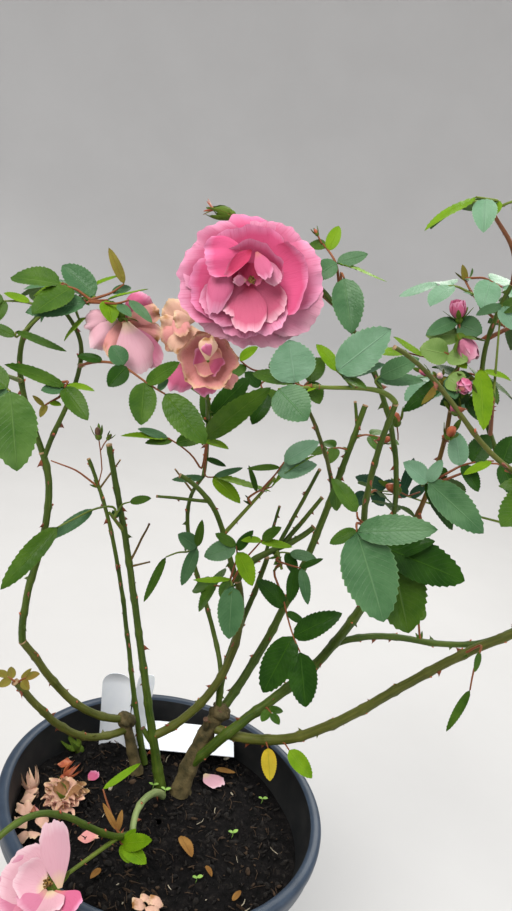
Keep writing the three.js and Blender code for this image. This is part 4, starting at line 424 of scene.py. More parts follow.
    ],
}


# Small helpers

def unit(vector):
    return vector / np.linalg.norm(vector)


OPEN_SKY = unit(np.array([0.0, -0.5, 1.0]))


def heading(azimuth, elevation):
    a, e = math.radians(azimuth), math.radians(elevation)
    return np.array([math.cos(e) * math.cos(a), math.cos(e) * math.sin(a), math.sin(e)])


def turned(vector, axis, angle):
    """The vector turned about a unit axis by an angle in radians."""
    return (vector * math.cos(angle) + np.cross(axis, vector) * math.sin(angle)
            + axis * np.dot(axis, vector) * (1 - math.cos(angle)))


def smooth(value, low, high):
    t = np.clip((value - low) / (high - low), 0, 1)
    return t * t * (3 - 2 * t)


def seeded_random(seed):
    """The source's own random numbers, so that every leaf lands where its solid is."""
    mask = 0xFFFFFFFF
    state = seed

    def draw():
        nonlocal state
        state = (state + 0x6D2B79F5) & mask
        t = ((state ^ (state >> 15)) * (state | 1)) & mask
        t ^= (t + (((t ^ (t >> 7)) * (t | 61)) & mask)) & mask
        return ((t ^ (t >> 14)) & mask) / 4294967296

    return draw


class Bend:
    """A Bezier curve read by its arc length."""

    def __init__(self, *controls):
        self.controls = np.array(controls, float)
        self.t = np.linspace(0, 1, 201)
        steps = np.linalg.norm(np.diff(self.at(self.t), axis=0), axis=1)
        self.lengths = np.concatenate([[0], np.cumsum(steps)])
        self.length = self.lengths[-1]

    def at(self, t):
        t = np.asarray(t, float)[..., None]
        degree = len(self.controls) - 1
        return sum(math.comb(degree, k) * t ** k * (1 - t) ** (degree - k) * control
                   for k, control in enumerate(self.controls))

    def point(self, u):
        return self.at(np.interp(np.asarray(u) * self.length, self.lengths, self.t))

    def tangent(self, u):
        t = np.interp(u * self.length, self.lengths, self.t)
        low, high = max(0, t - 1e-4), min(1, t + 1e-4)
        return unit(self.at(high) - self.at(low))


class Elbow:
    """Two straight halves of equal length."""

    def __init__(self, root, bend, tip):
        self.root, self.bend, self.tip = root, bend, tip
        self.length = 2 * np.linalg.norm(bend - root)

    def point(self, u):
        u = np.asarray(u, float)[..., None]
        first = self.root + (self.bend - self.root) * np.minimum(u, 0.5) * 2
        return first + (self.tip - self.bend) * np.maximum(u - 0.5, 0) * 2

    def tangent(self, u):
        return unit(self.bend - self.root if u < 0.5 else self.tip - self.bend)


class Path:
    """Straight runs from point to point, read by length."""

    def __init__(self, points):
        self.points = np.array(points)
        runs = np.linalg.norm(np.diff(self.points, axis=0), axis=1)
        self.lengths = np.concatenate([[0], np.cumsum(runs)])
        self.length = self.lengths[-1]

    def point(self, u):
        at = np.asarray(u, float) * self.length
        return np.stack([np.interp(at, self.lengths, axis) for axis in self.points.T], axis=-1)

    def tangent(self, u):
        return unit(self.point(min(1, u + 0.02)) - self.point(max(0, u - 0.02)))

    def nearest(self, spot):
        spots = self.point(np.linspace(0, 1, 201))
        return spots[np.linalg.norm(spots - spot, axis=1).argmin()]


# The part's rule: limbs, leaves, and what touches what

def limb_curve(start, end, limb):
    chord = np.linalg.norm(end - start)
    first, last = limb["slack"]
    return Bend(start, start + heading(*limb["leave"]) * chord * first,
                end - heading(*limb["arrive"]) * chord * last, end)


def limb_radius(limb, u):
    at_start, at_end = limb["thick"]
    return at_start + (at_end - at_start) * u + limb["flare"] * np.exp(-9 * np.asarray(u))


curves = {}
for name, limb in LIMBS.items():
    start = limb["start"]
    if start[0] in curves:
        start = curves[start[0]].point(start[1])
    curves[name] = limb_curve(np.array(start, float), np.array(limb["to"], float), limb)


def blade_corners(blade):
    left = np.cross(blade["up"], blade["along"])
    half = blade["broad"] / 2

    def spot(x, y, z):
        return blade["root"] + (blade["along"] * x + left * y + blade["up"] * z) * blade["length"]

    return [spot(0, 0, 0), spot(WIDEST, -half, EDGE_LIFT), spot(1, 0, TIP_DROP),
            spot(WIDEST, half, EDGE_LIFT)]


def as_leaf(stalk, blades):
    points = stalk.point(np.linspace(0, 1, 6))
    return {"stalk": {"points": points, "radius": STALK_RADIUS, "curve": stalk}, "blades": blades}


def make_leaf(root, azimuth, lift, roll, size, random):
    out = heading(azimuth, lift)
    side = unit(np.cross(out, OPEN_SKY))
    up = turned(np.cross(side, out), out, roll)
    side = turned(side, out, roll)
    late = turned(out, side, -math.radians(18 + 14 * random()))
    bend = root + out * size["rachis"] / 2
    stalk = Elbow(root, bend, bend + late * size["rachis"] / 2)
    blades = []

    def add_blade(place, swing, scale):
        forward = stalk.tangent(place)
        normal = unit(up - forward * np.dot(up, forward))
        along = unit(turned(forward, normal, swing) - 0.12 * normal)
        face = unit(normal - along * np.dot(normal, along))
        length = size["leaflet"] * scale * (0.92 + 0.16 * random())
        blades.append({"root": stalk.point(place), "along": along, "up": face,
                       "length": length, "broad": BLADE_BROAD})

    if size["leaflets"] > 0:
        add_blade(1, 0, 1)
    for place, scale in PAIR_PLACES[size["leaflets"]]:
        swing = math.radians(54 + 12 * random())
        add_blade(place - 0.01, swing, scale)
        add_blade(place + 0.01, -swing, scale)
    return as_leaf(stalk, blades)


def seen_leaf(stem, item, order):
    """A leaf that the photograph shows: its stalk runs on from the nearest spot of the stem.

    Each further leaf of a spray leaves the stem a little lower down.
    """
    stalk_spots, leaflets = item
    spots = [seen_spot(pixel) for pixel in stalk_spots]
    along_stem = stem.point(np.linspace(0, 1, 49))
    nearest = int(np.linalg.norm(along_stem - spots[0], axis=1).argmin())
    joint = along_stem[max(0, nearest - 2 * order)]
    stalk = Path([joint] + spots if np.linalg.norm(joint - spots[0]) > 2 else [joint] + spots[1:])
    blades = []
    for *ends, broad, facing, tint in leaflets:
        foot = ends[:-3] or stalk_spots[-1]
        root, tip = stalk.nearest(seen_spot(foot)), seen_spot(ends[-3:])
        along = unit(tip - root)
        length = np.linalg.norm(tip - root)
        face = OPEN_SKY + (unit(VIEW_FROM - root) - OPEN_SKY) * facing
        blades.append({"root": root, "along": along, "up": unit(face - along * np.dot(face, along)),
                       "length": length, "broad": broad / length, "tint": tint})
    return as_leaf(stalk, blades)


def segments_touch_blades(starts, ends, radii, blades):
    """Whether any of the segments comes too near to any of the blades."""
    if not len(starts) or not blades:
        return False
    root = np.array([b["root"] for b in blades])
    along = np.array([b["along"] for b in blades])
    up = np.array([b["up"] for b in blades])
    length = np.array([b["length"] for b in blades])
    half = np.array([b["broad"] * b["length"] / 2 for b in blades])
    left = np.cross(up, along)
    margin = (np.asarray(radii) + LEAF_CLEARANCE)[:, None]

    def local(spots):
        d = spots[:, None] - root[None]
        return (d * along).sum(2) / length, (d * left).sum(2), (d * up).sum(2)

    (ax, ay, az), (bx, by, bz) = local(starts), local(ends)
    near = (az * bz < 0) | (np.minimum(abs(az), abs(bz)) < margin)
    level = np.where(az == bz, 1, az - bz)
    t = np.where(az == bz, 0.5, np.clip(az / level, 0, 1))
    x, y = ax + t * (bx - ax), ay + t * (by - ay)
    share = np.maximum(0, np.where(x < WIDEST, x / WIDEST, (1 - x) / (1 - WIDEST)))
    inside = (abs(y) < share * half + margin) & (x > -margin / length) & (x < 1 + margin / length)
    return bool((near & inside).any())


def blade_edges(blade):
    root, right, tip, left = blade_corners(blade)
    inner = root + 0.12 * (tip - root)
    return np.array([inner, right, tip, left, inner, tip, right, left])


class Space:
    """Everything that already has its place: limbs and stalks, leaflets, and the flowers' balls."""

    def __init__(self):
        self.starts, self.ends = np.zeros((0, 3)), np.zeros((0, 3))
        self.radii, self.owners = np.zeros(0), np.zeros(0, int)
        self.blades, self.balls, self.lines = [], [], 0

    def add_line(self, line):
        points = line["points"]
        self.starts = np.concatenate([self.starts, points[:-1]])
        self.ends = np.concatenate([self.ends, points[1:]])
        self.radii = np.concatenate([self.radii, np.full(len(points) - 1, line["radius"])])
        self.owners = np.concatenate([self.owners, np.full(len(points) - 1, self.lines)])
        line["number"] = self.lines
        self.lines += 1

    def keep(self, leaf):
        self.add_line(leaf["stalk"])
        self.blades += leaf["blades"]

    def in_ball(self, spots):
        return any((np.linalg.norm(spots - centre, axis=1) < radius + LEAF_CLEARANCE).any()
                   for centre, radius in self.balls)

    def has_room_for_blade(self, blade):
        if segments_touch_blades(self.starts, self.ends, self.radii, [blade]):
            return False
        edges = blade_edges(blade)
        if segments_touch_blades(edges[:-1], edges[1:], np.zeros(7), self.blades):
            return False
        near = [b for b in self.blades if np.linalg.norm(b["root"] - blade["root"]) < 150]
        if near:
            others = np.array([blade_edges(b) for b in near])
            starts, ends = others[:, :-1].reshape(-1, 3), others[:, 1:].reshape(-1, 3)
            if segments_touch_blades(starts, ends, np.zeros(len(starts)), [blade]):
                return False
        return not self.in_ball(np.array(blade_corners(blade)[1:]))

    def has_room_for_stalk(self, stalk, home):
        spots = stalk["points"][1:]
        other = self.owners != home["number"]
        starts, ends, radii = self.starts[other], self.ends[other], self.radii[other]
        run = ends - starts
        t = ((spots[:, None] - starts) * run).sum(2) / np.maximum((run * run).sum(1), 1e-12)
        nearest = starts + run * np.clip(t, 0, 1)[..., None]
        gaps = np.linalg.norm(spots[:, None] - nearest, axis=2)
        if (gaps < stalk["radius"] + radii + LEAF_CLEARANCE).any():
            return False
        thick = np.full(len(spots) - 1, stalk["radius"])
        if segments_touch_blades(spots[:-1], spots[1:], thick, self.blades):
            return False
        return not self.in_ball(spots)


TRIES = [(0, 0), (18, 6), (-18, 6), (36, 14), (-36, 14), (60, 20), (-60, 20), (90, 10), (-90, 10)]


def place_leaf(space, place, size, seed, home):
    """A leaf that would touch something is tried at a few other headings, or is left out."""
    best = None
    for swing, rise in TRIES:
        leaf = make_leaf(place["root"], place["azimuth"] + swing, place["lift"] + rise,
                         place["roll"], size, seeded_random(seed))
        if space.has_room_for_stalk(leaf["stalk"], home):
            wanted = len(leaf["blades"])
            leaf["blades"] = [blade for blade in leaf["blades"] if space.has_room_for_blade(blade)]
            if best is None or len(leaf["blades"]) > len(best["blades"]):
                best = leaf
            if len(leaf["blades"]) == wanted:
                break
    if best and best["blades"]:
        space.keep(best)
        return best
    return None


def spray_stem(spray):
    limb, at = spray["on"]
    start, end = curves[limb].point(at), np.array(spray["to"], float)
    span = np.linalg.norm(end - start)
    straight = unit(end - start)
    first = curves[limb].tangent(1) if at == 1 else straight
    return Bend(start, start + unit(first + straight) * span * 0.35, end - straight * span * 0.3, end)


def leaf_places(curve, shoot, random):
    places = []
    first, count = shoot["first"], shoot["leaves"]
    for i in range(count):
        along = 1 if count == 1 else first + (1 - first) * i / (count - 1)
        places.append({
            "root": curve.point(along),
            "azimuth": shoot["phase"] + i * shoot["turn"] + 14 * (random() - 0.5),
            "lift": shoot["lift"] + 16 * (random() - 0.5),
            "roll": 0.5 * (random() - 0.5),
            "scale": 0.88 + 0.2 * random(),
        })
    return places


def side_twig(stem, spray, index, random):
    start = stem.point(0.35 + 0.5 * (index / max(1, spray["twigs"])))
    azimuth = spray["phase"] + 70 + index * GOLDEN_TURN + 20 * (random() - 0.5)
    length = (spray["rachis"] + spray["leaflet"]) * (0.7 + 0.3 * random())
    bend = start + heading(azimuth, 15) * length * 0.5
    return Bend(start, bend, bend + heading(azimuth, 45) * length * 0.5)


def grow():
    """Grows the whole bush, and returns the limbs' own leaves and the sprays."""
    space = Space()
    for name, limb in LIMBS.items():
        curve = curves[name]
        count = math.ceil(curve.length / 5)
        points = curve.point(np.linspace(0, 1, count + 1))
        space.add_line({"points": points, "radius": limb_radius(limb, 0.3)})
        for stub in limb["stubs"]:
            root = curve.point(stub["at"])
            tip = root + heading(stub["azimuth"], stub["lift"]) * stub["length"]
            space.add_line({"points": np.array([root, (root + tip) / 2, tip]), "radius": stub["radius"]})
    ring = [heading(azimuth, 0) * (RIM_RADIUS - 5) + UP * (POT_HEIGHT - 8) for azimuth in range(0, 361, 5)]
    space.add_line({"points": np.array(ring), "radius": 9})

    sprigs = {}
    for name, limb in LIMBS.items():
        sprigs[name] = []
        for i, sprig in enumerate(limb["sprigs"]):
            root = curves[name].point(sprig["at"])
            leaf = make_leaf(root, sprig["azimuth"], sprig["lift"], 0, sprig, seeded_random(i + 1))
            space.keep(leaf)
            sprigs[name].append(leaf)

    sprays = {}
    for name, spray in SPRAYS.items():
        curve = spray_stem(spray)
        line = {"points": curve.point(np.linspace(0, 1, 7)), "radius": STEM_RADIUS}
        space.add_line(line)
        sprays[name] = {"spray": spray, "shoots": [{"curve": curve, "line": line}], "leaves": []}
        if spray["bloom"]:
            space.balls.append((curve.point(1), spray["bloom"][0] * 0.5))

    for name, items in SEEN_LEAVES.items():
        for order, item in enumerate(items):
            leaf = seen_leaf(sprays[name]["shoots"][0]["curve"], item, order)
            space.keep(leaf)
            sprays[name]["leaves"].append(leaf)

    for grown in sprays.values():
        spray, stem = grown["spray"], grown["shoots"][0]
        random = seeded_random(spray["seed"])
        stem["first"] = 0.4
        stem.update((key, spray[key]) for key in ("leaves", "phase", "turn", "lift"))
        for k in range(spray["twigs"]):
            curve = side_twig(stem["curve"], spray, k, random)
            line = {"points": curve.point(np.linspace(0, 1, 7)), "radius": TWIG_RADIUS}
            phase = 360 * random()
            if space.has_room_for_stalk(line, stem["line"]):
                space.add_line(line)
                grown["shoots"].append({"curve": curve, "line": line, "leaves": 3, "first": 0.45,
                                        "phase": phase, "turn": GOLDEN_TURN, "lift": 15})
        for s, shoot in enumerate(grown["shoots"]):
            for i, place in enumerate(leaf_places(shoot["curve"], shoot, random)):
                size = {"rachis": spray["rachis"] * place["scale"],
                        "leaflet": spray["leaflet"] * place["scale"], "leaflets": spray["leaflets"]}
                leaf = place_leaf(space, place, size, spray["seed"] * 100 + s * 10 + i, shoot["line"])
                if leaf:
                    grown["leaves"].append(leaf)
    return sprigs, sprays


# Meshes

CAP_RADIUS = 0.01


def new_object(name, data):
    piece = bpy.data.objects.new(name, data)
    bpy.context.scene.collection.objects.link(piece)
    return piece


def full_turn(count):
    """Angles all the way round, in radians."""
    return np.linspace(0, 2 * math.pi, count, endpoint=False)


class Shape:
    """Collects grids of points for one piece, each with its look and its UVs."""

    def __init__(self):
        self.points, self.faces, self.uvs, self.looks, self.count = [], [], [], [], 0
        self.materials = []

    def grid(self, points, look, uv=None, around=False, back=False):
        rows, cols = points.shape[:2]
        index = self.count + np.arange(rows * cols).reshape(rows, cols)
        if around:
            index = np.concatenate([index, index[:, :1]], axis=1)
        if uv is None:
            u, v = np.meshgrid(np.linspace(0, 1, index.shape[1]), np.linspace(0, 1, rows))
            uv = np.stack([v, u], axis=-1)
        if look not in self.materials:
            self.materials.append(look)
        self.points.append(points.reshape(-1, 3))
        self.count += rows * cols
        corners = [(0, 0), (1, 0), (1, 1), (0, 1)] if back else [(0, 0), (0, 1), (1, 1), (1, 0)]
        wide, high = index.shape[1] - 1, rows - 1
        self.faces.append(np.stack([index[r:r + high, c:c + wide] for r, c in corners], -1).reshape(-1, 4))
        self.uvs.append(np.stack([uv[r:r + high, c:c + wide] for r, c in corners], 2).reshape(-1, 2))
        self.looks.append(np.full(high * wide, self.materials.index(look)))

    def build(self, name, slot, *nodes):
        """Makes the object, puts it on the part's body and takes the nodes' place."""
        points, faces = np.concatenate(self.points) * MM, np.concatenate(self.faces)
        mesh = bpy.data.meshes.new(name)
        mesh.vertices.add(len(points))
        mesh.vertices.foreach_set("co", points.ravel())
        mesh.loops.add(faces.size)
        mesh.loops.foreach_set("vertex_index", faces.ravel().astype(np.int32))
        mesh.polygons.add(len(faces))
        mesh.polygons.foreach_set("loop_start", np.arange(0, faces.size, 4, dtype=np.int32))
        mesh.polygons.foreach_set("material_index", np.concatenate(self.looks).astype(np.int32))
        mesh.polygons.foreach_set("use_smooth", np.ones(len(faces), bool))
        layer = mesh.uv_layers.new(name="UVMap")
        layer.data.foreach_set("uv", np.concatenate(self.uvs).ravel())
        mesh.update(calc_edges=True)
        mesh.validate()
        for look in self.materials:
            mesh.materials.append(looks[look])
        piece = new_object(name, mesh)
        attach(piece, "root")
        if nodes:
            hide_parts(*nodes)
        return piece


def ripple(spots, size, seed):
    """Smooth noise of about -1 to 1 at each point, with features of the given size."""
    moved = np.asarray(spots).reshape(-1, 3) / size + seed * 7.31
    values = np.array([noise.noise(Vector(spot)) for spot in moved])
    return 1.6 * values.reshape(np.asarray(spots).shape[:-1])


def frames_along(points):
    """The normal and the side at each point of a line, without twist."""
    tangents = np.gradient(points, axis=0)
    tangents /= np.maximum(np.linalg.norm(tangents, axis=1), 1e-9)[:, None]
    first = tangents[0]
    normal = unit(np.cross(first, [0, 0, 1] if abs(first[2]) < 0.9 else [1, 0, 0]))
    normals = []
    for tangent in tangents:
        normal = unit(normal - tangent * np.dot(normal, tangent))
        normals.append(normal)
    normals = np.array(normals)
    return normals, np.cross(tangents, normals)


def ring_grid(points, radii, sides):
    """Rings of points round a line. The radii are one a ring, or one a point."""
    normals, across = frames_along(points)
    angle = full_turn(sides)
    outward = normals[:, None] * np.cos(angle)[:, None] + across[:, None] * np.sin(angle)[:, None]
    radii = np.asarray(radii, float)
    if radii.ndim == 1:
        radii = radii[:, None]
    return points[:, None] + outward * radii[..., None], outward


def tube_uv(points, sides, girth):
    """UVs in tens of millimetres, so that grain keeps its size on every tube."""
    along = np.concatenate([[0], np.cumsum(np.linalg.norm(np.diff(points, axis=0), axis=1))]) / 10
    u, v = np.meshgrid(np.linspace(0, girth / 10, sides + 1), along)
    return np.stack([v, u], axis=-1)


def add_tube(shape, points, radii, sides, look):
    """A closed tube round a line, with one radius for all or one a point."""
    radii = np.broadcast_to(np.asarray(radii, float), len(points))
    points = np.concatenate([points[:1], points, points[-1:]])
    radii = np.concatenate([[CAP_RADIUS], radii, [CAP_RADIUS]])
    grid = ring_grid_capped(points, radii, sides)
    shape.grid(grid, look, tube_uv(points, sides, ABOUT_A_TURN * radii.mean()), around=True)


def ring_grid_capped(points, radii, sides):
    """Rings whose first and last lie in the planes of their neighbours, as flat ends."""
    body, _ = ring_grid(points[1:-1], radii[1:-1], sides)
    first = points[1] + (body[0] - points[1]) * (radii[0] / max(radii[1], 1e-6))
    last = points[-2] + (body[-1] - points[-2]) * (radii[-1] / max(radii[-2], 1e-6))
    return np.concatenate([first[None], body, last[None]])


def add_cone(shape, root, direction, length, broad, long, hook, look, along):
    """A prickle: a small cone on a long foot, with its tip bent back along the cane."""
    direction = unit(direction)
    along = unit(along - direction * np.dot(along, direction))
    across = np.cross(direction, along)
    steps = np.linspace(0, 1, 6)
    angle = full_turn(8)
    size = (1 - steps) ** 1.4
    centre = root + direction * (steps * length)[:, None] - along * (hook * length * steps ** 2)[:, None]
    grid = (centre[:, None] + along * (long * size[:, None] * np.cos(angle))[..., None]
            + across * (broad * size[:, None] * np.sin(angle))[..., None])
    shape.grid(grid, look, around=True)


def add_lump(shape, centre, axes, look, rough, seed, rows, cols):
    """A closed lump with three half axes and an uneven surface."""
    polar, around = np.meshgrid(np.linspace(0.01, math.pi - 0.01, rows), full_turn(cols), indexing="ij")
    out = np.stack([np.sin(polar) * np.cos(around), np.sin(polar) * np.sin(around), np.cos(polar)], -1)
    swell = 1 + rough * ripple(out, 0.6, seed)
    shape.grid(centre + (out * swell[..., None]) @ np.array(axes), look, around=True)


# Leaves

TEETH = 12
LEAF_ROWS = np.linspace(0, 1, 2 * TEETH + 3)
LEAF_COLS = np.array([-1, -0.7, -0.36, 0, 0.36, 0.7, 1])
TOOTH_OUT = 1.035
TOOTH_IN = 0.972
TOOTH_SLIDE = 0.6
LEAF_THICK = 0.16
PETAL_THICK = 0.22


def leaflet_shape(broad, bend, fold, twist, phase):
    """A serrate leaflet one unit long: x along its midrib, y across and z upwards."""
    t, s = np.meshgrid(LEAF_ROWS, LEAF_COLS, indexing="ij")
    half = broad / 2 * 2.42 * t ** 0.56 * (1 - t) ** 0.76
    edge = np.abs(s) > 0.99
    tooth = (np.arange(len(LEAF_ROWS)) % 2 == 1)[:, None] & edge
    x = t + np.where(tooth, TOOTH_SLIDE / len(LEAF_ROWS), 0) * (t < 0.95)
    y = s * half * np.where(tooth, TOOTH_OUT, np.where(edge, TOOTH_IN, 1))
    quilt = 0.011 * np.sin(math.pi * (2 * TEETH + 2) * (t - 0.26 * np.abs(s)) / 1.5 + phase)
    z = fold * np.abs(y) + quilt * (np.abs(s) > 0.2) * (1 - t) - bend * t * t + twist * y * t
    z = z + 0.02 * np.sin(5 * t + phase) * np.abs(s)
    return np.stack([x, y, z], -1), np.stack([t, 0.5 + 0.5 * s], -1)


def add_leaflet(shape, blade, top, under, random, broad=0.66):
    if "tint" in blade:
        top, broad = "leaf_" + blade["tint"], blade["broad"]
        # the bright yellow-green tint paints light shining through the leaf, and its underside takes the same
        # painted backlit green
        under = "leaf_backlit_under" if blade["tint"] == "light" else under
    left = np.cross(blade["up"], blade["along"])
    bend, fold = 0.03 + 0.12 * random(), 0.08 + 0.26 * random()
    grid, uv = leaflet_shape(broad, bend, fold, 0.3 * (random() - 0.5), 6 * random())
    basis = np.array([blade["along"], left, blade["up"]]) * blade["length"]
    along, across = uv[..., 0], np.abs(2 * uv[..., 1] - 1)
    thick = LEAF_THICK * (1 - across ** 6) * np.minimum(1, 12 * along * (1 - along))
    lift = thick[..., None] * blade["up"]
    shape.grid(blade["root"] + grid @ basis + lift, top, uv)
    shape.grid(blade["root"] + grid @ basis - lift, under, uv, back=True)


def add_leaf(leaves, twigs, leaf, tint, stalk_look, random):
    """One compound leaf: its leaflets, its rachis with a few small prickles, and its stipules."""
    for blade in leaf["blades"]:
        add_leaflet(leaves, blade, tint, "leaf_under", random)
    curve = leaf["stalk"]["curve"]
    points = curve.point(np.linspace(0, 1, 15))
    smoothed = points.copy()
    for _ in range(3):
        smoothed[1:-1] = (smoothed[:-2] + smoothed[1:-1] * 2 + smoothed[2:]) / 4
    radii = np.linspace(1.15, 0.62, 15)
    radii[:2] = 1.7, 1.35
    add_tube(twigs, smoothed, radii, 8, stalk_look)
    forward = curve.tangent(0.1)
    side = unit(np.cross(forward, OPEN_SKY))
    for sign in (-1, 1):
        wing = {"root": smoothed[0] + side * sign * 0.6, "along": unit(forward * 1.2 + side * sign * 0.45),
                "up": unit(np.cross(side, forward)), "length": min(9, curve.length * 0.3)}
        add_leaflet(leaves, wing, tint, "leaf_under", random, broad=0.3)
    for k in range(2, 12, 3):
        if random() < 0.6:
            down = -unit(np.cross(side, forward))
            add_cone(twigs, smoothed[k] + down * 0.5, down, 1.1, 0.3, 0.7, 0.5, "prickle", forward)


# Petals

def petal_grid(petal, frame, rows, cols):
    """A petal of a flower, with its front and back sheets and UVs.

    The frame is the flower's centre and its right, up and front. The profile's three points
    are (out, front) pairs from the foot to the rim.
    """
    centre, right, upward, front = frame
    sideways, rise, ahead = petal.get("at", (0, 0, 0))
    centre = centre - right * sideways + upward * rise + front * ahead
    angle = math.radians(petal["angle"])
    out = -right * math.sin(angle) + upward * math.cos(angle)
    across = right * math.cos(angle) + upward * math.sin(angle)
    s, a = np.meshgrid(np.linspace(0, 1, rows), np.linspace(-1, 1, cols), indexing="ij")
    seed = petal["seed"]
    rim = 1 - petal.get("round", 0.2) * np.abs(a) ** 2.4
    rim = rim + 0.02 * np.sin(9 * a + seed) + 0.012 * np.sin(23 * a + 2 * seed)
    rim = rim - petal.get("notch", 0.05) * np.exp(-((a - 0.1 * math.sin(seed)) / 0.16) ** 2)
    t = s * rim
    controls = np.array(petal["profile"], float)
    foot, waist, end = controls
    place = ((1 - t)[..., None] ** 2 * foot + 2 * (t * (1 - t))[..., None] * waist + t[..., None] ** 2 * end)
    slope = 2 * (1 - t)[..., None] * (waist - foot) + 2 * t[..., None] * (end - waist)
    slope /= np.maximum(np.linalg.norm(slope, axis=-1), 1e-6)[..., None]
    grown = np.minimum(1, s / petal.get("full", 0.72))
    lateral = a * (petal["half"] * (0.16 + 0.84 * np.sin(grown * math.pi / 2) ** 1.1))
    wrap = petal["wrap"]
    turn = lateral / wrap
    radial = place[..., 0] - abs(wrap) * (1 - np.cos(turn)) * math.copysign(1, wrap)
    lateral = wrap * np.sin(turn)
    waves = (np.sin(petal.get("waves", 4) * a + seed) + 0.34 * np.sin(9 * a + 3 * seed) * s ** 3
             + 0.16 * np.sin(23 * a + 5 * seed) * s ** 8)
    lift = petal["frill"] * s ** 2.4 * waves + petal.get("cup", 0) * a * a * s

    def sheet(offset):
        height = lift + offset
        r = radial - slope[..., 1] * height
        f = place[..., 1] + slope[..., 0] * height
        return centre + out * r[..., None] + across * lateral[..., None] + front * f[..., None]

    thick = PETAL_THICK * (1 - np.abs(a) ** 8) * (1 - s ** 8)
    uv = np.stack([s, 0.5 + 0.5 * a], -1)
    return sheet(thick), sheet(-thick), uv


def add_petal(shape, petal, frame, rows=22, cols=25):
    face, back, uv = petal_grid(petal, frame, rows, cols)
    shape.grid(face, petal["face"], uv)
    shape.grid(back, petal["back"], uv, back=True)


def add_lobe(shape, foot, tip, half, bulge, face, **more):
    """A petal hung between two seen spots, rounded towards the viewer."""
    foot, tip = seen_spot(foot), seen_spot(tip)
    front = unit(VIEW_FROM - foot)
    run = tip - foot
    upward = unit(run - front * np.dot(run, front))
    length, ahead = float(np.dot(run, upward)), float(np.dot(run, front))
    profile = [(0, 0), (length * 0.6, bulge + ahead * 0.5), (length, ahead)]
    item = {"angle": 0, "half": half, "profile": profile, "wrap": 90, "cup": -0.75 * half, "round": 0.28,
            "frill": 1.7, "waves": 5, "seed": half + foot[0], "notch": 0.04, "face": face,
            "back": "faded_back"}
    item.update(more)
    add_petal(shape, item, (foot, np.cross(front, upward), upward, front), rows=24, cols=27)


def bloom_frame(centre, facing):
    front = heading(*facing)
    right = unit(np.cross(front, UP))
    return centre, right, np.cross(right, front), front


def add_calyx(shape, frame, size, sepals, open_by, look="sepal"):
    """The green cup under a flower and its pointed sepals."""
    centre, right, upward, front = frame
    axes = [right * size * 0.5, upward * size * 0.5, front * size * 0.75]
    add_lump(shape, centre - front * size * 0.55, axes, look, 0.05, 3, rows=10, cols=14)
    profile = [(size * 0.3, -size * 0.2), (size * (0.7 + open_by * 0.6), size * (0.2 - open_by * 0.5)),
               (size * (0.4 + open_by * 1.5), size * (2.1 - open_by * 2))]
    for k in range(sepals):
        sepal = {"angle": k * 360 / sepals + 20, "profile": profile, "half": size * 0.34, "full": 0.3,
                 "wrap": size, "round": 0.75, "frill": 0.3, "notch": -0.22, "seed": k + 1.0, "face": look,
                 "back": look}
        add_petal(shape, sepal, frame, rows=12, cols=9)


# Looks

class Look:
    """A procedural material on the Principled shader."""

    def __init__(self, name, rough, specular, sheen=0.0):
        self.material = bpy.data.materials.new(name)
        self.material.use_nodes = True
        self.tree = self.material.node_tree
        self.shader = self.tree.nodes["Principled BSDF"]
        self.shader.inputs["Roughness"].default_value = rough
        self.shader.inputs["Specular IOR Level"].default_value = specular
        if sheen:
            self.shader.inputs["Sheen Weight"].default_value = sheen
            self.shader.inputs["Sheen Roughness"].default_value = 0.5
        looks[name] = self.material

    def feed(self, socket, value):
        if hasattr(value, "is_output"):
            self.tree.links.new(value, socket)
        elif value is not None:
            socket.default_value = value

    def node(self, kind, output, inputs, **settings):
        """Adds a node, sets its inputs by name or number, and returns one of its outputs."""
        node = self.tree.nodes.new("ShaderNode" + kind)
        for key, value in settings.items():
            setattr(node, key, value)
        for key, value in inputs.items():
            self.feed(node.inputs[key], value)
        return node.outputs[output]

    def math(self, operation, a, b=None, c=None):
        return self.node("Math", 0, {0: a, 1: b, 2: c}, operation=operation)

    def times(self, a, b):
        return self.math("MULTIPLY", a, b)

    def less(self, a, b):
        return self.math("SUBTRACT", a, b)

    def spread(self, value, low, high, to_low=0.0, to_high=1.0):
        inputs = {0: value, 1: low, 2: high, 3: to_low, 4: to_high}
        return self.node("MapRange", 0, inputs, interpolation_type="SMOOTHSTEP")

    def blend(self, factor, a, b):
        return self.node("Mix", 2, {"Factor": factor, 6: a, 7: (*b, 1)}, data_type="RGBA")

    def ramp(self, factor, *stops):
        node = self.tree.nodes.new("ShaderNodeValToRGB")
        elements = node.color_ramp.elements
        while len(elements) < len(stops):
            elements.new(0.5)
        for element, (place, colour) in zip(elements, stops):
            element.position = place
            element.color = (*colour, 1)
        self.feed(node.inputs[0], factor)
        return node.outputs[0]

    def uv(self, *scale):
        source = self.node("TexCoord", "UV", {})
        return self.scaled(source, scale) if scale else source

    def place(self, *scale):
        source = self.node("TexCoord", "Object", {})
        return self.scaled(source, scale) if scale else source

    def scaled(self, source, scale):
        return self.node("Mapping", 0, {"Scale": scale, "Vector": source})

    def parts(self, vector):
        node = self.tree.nodes.new("ShaderNodeSeparateXYZ")
        self.feed(node.inputs[0], vector)
        return node.outputs

    def noise(self, vector, scale, detail, rough=0.55):
        inputs = {"Vector": vector, "Scale": scale, "Detail": detail, "Roughness": rough}
        return self.node("TexNoise", 0, inputs)

    def cells(self, vector, scale):
        return self.node("TexVoronoi", "Distance", {"Vector": vector, "Scale": scale})

    def finish(self, colour, height, strength, distance):
        self.feed(self.shader.inputs["Base Color"], colour)
        bump = self.node("Bump", 0, {"Strength": strength, "Distance": distance, "Height": height})
        self.feed(self.shader.inputs["Normal"], bump)


looks = {}


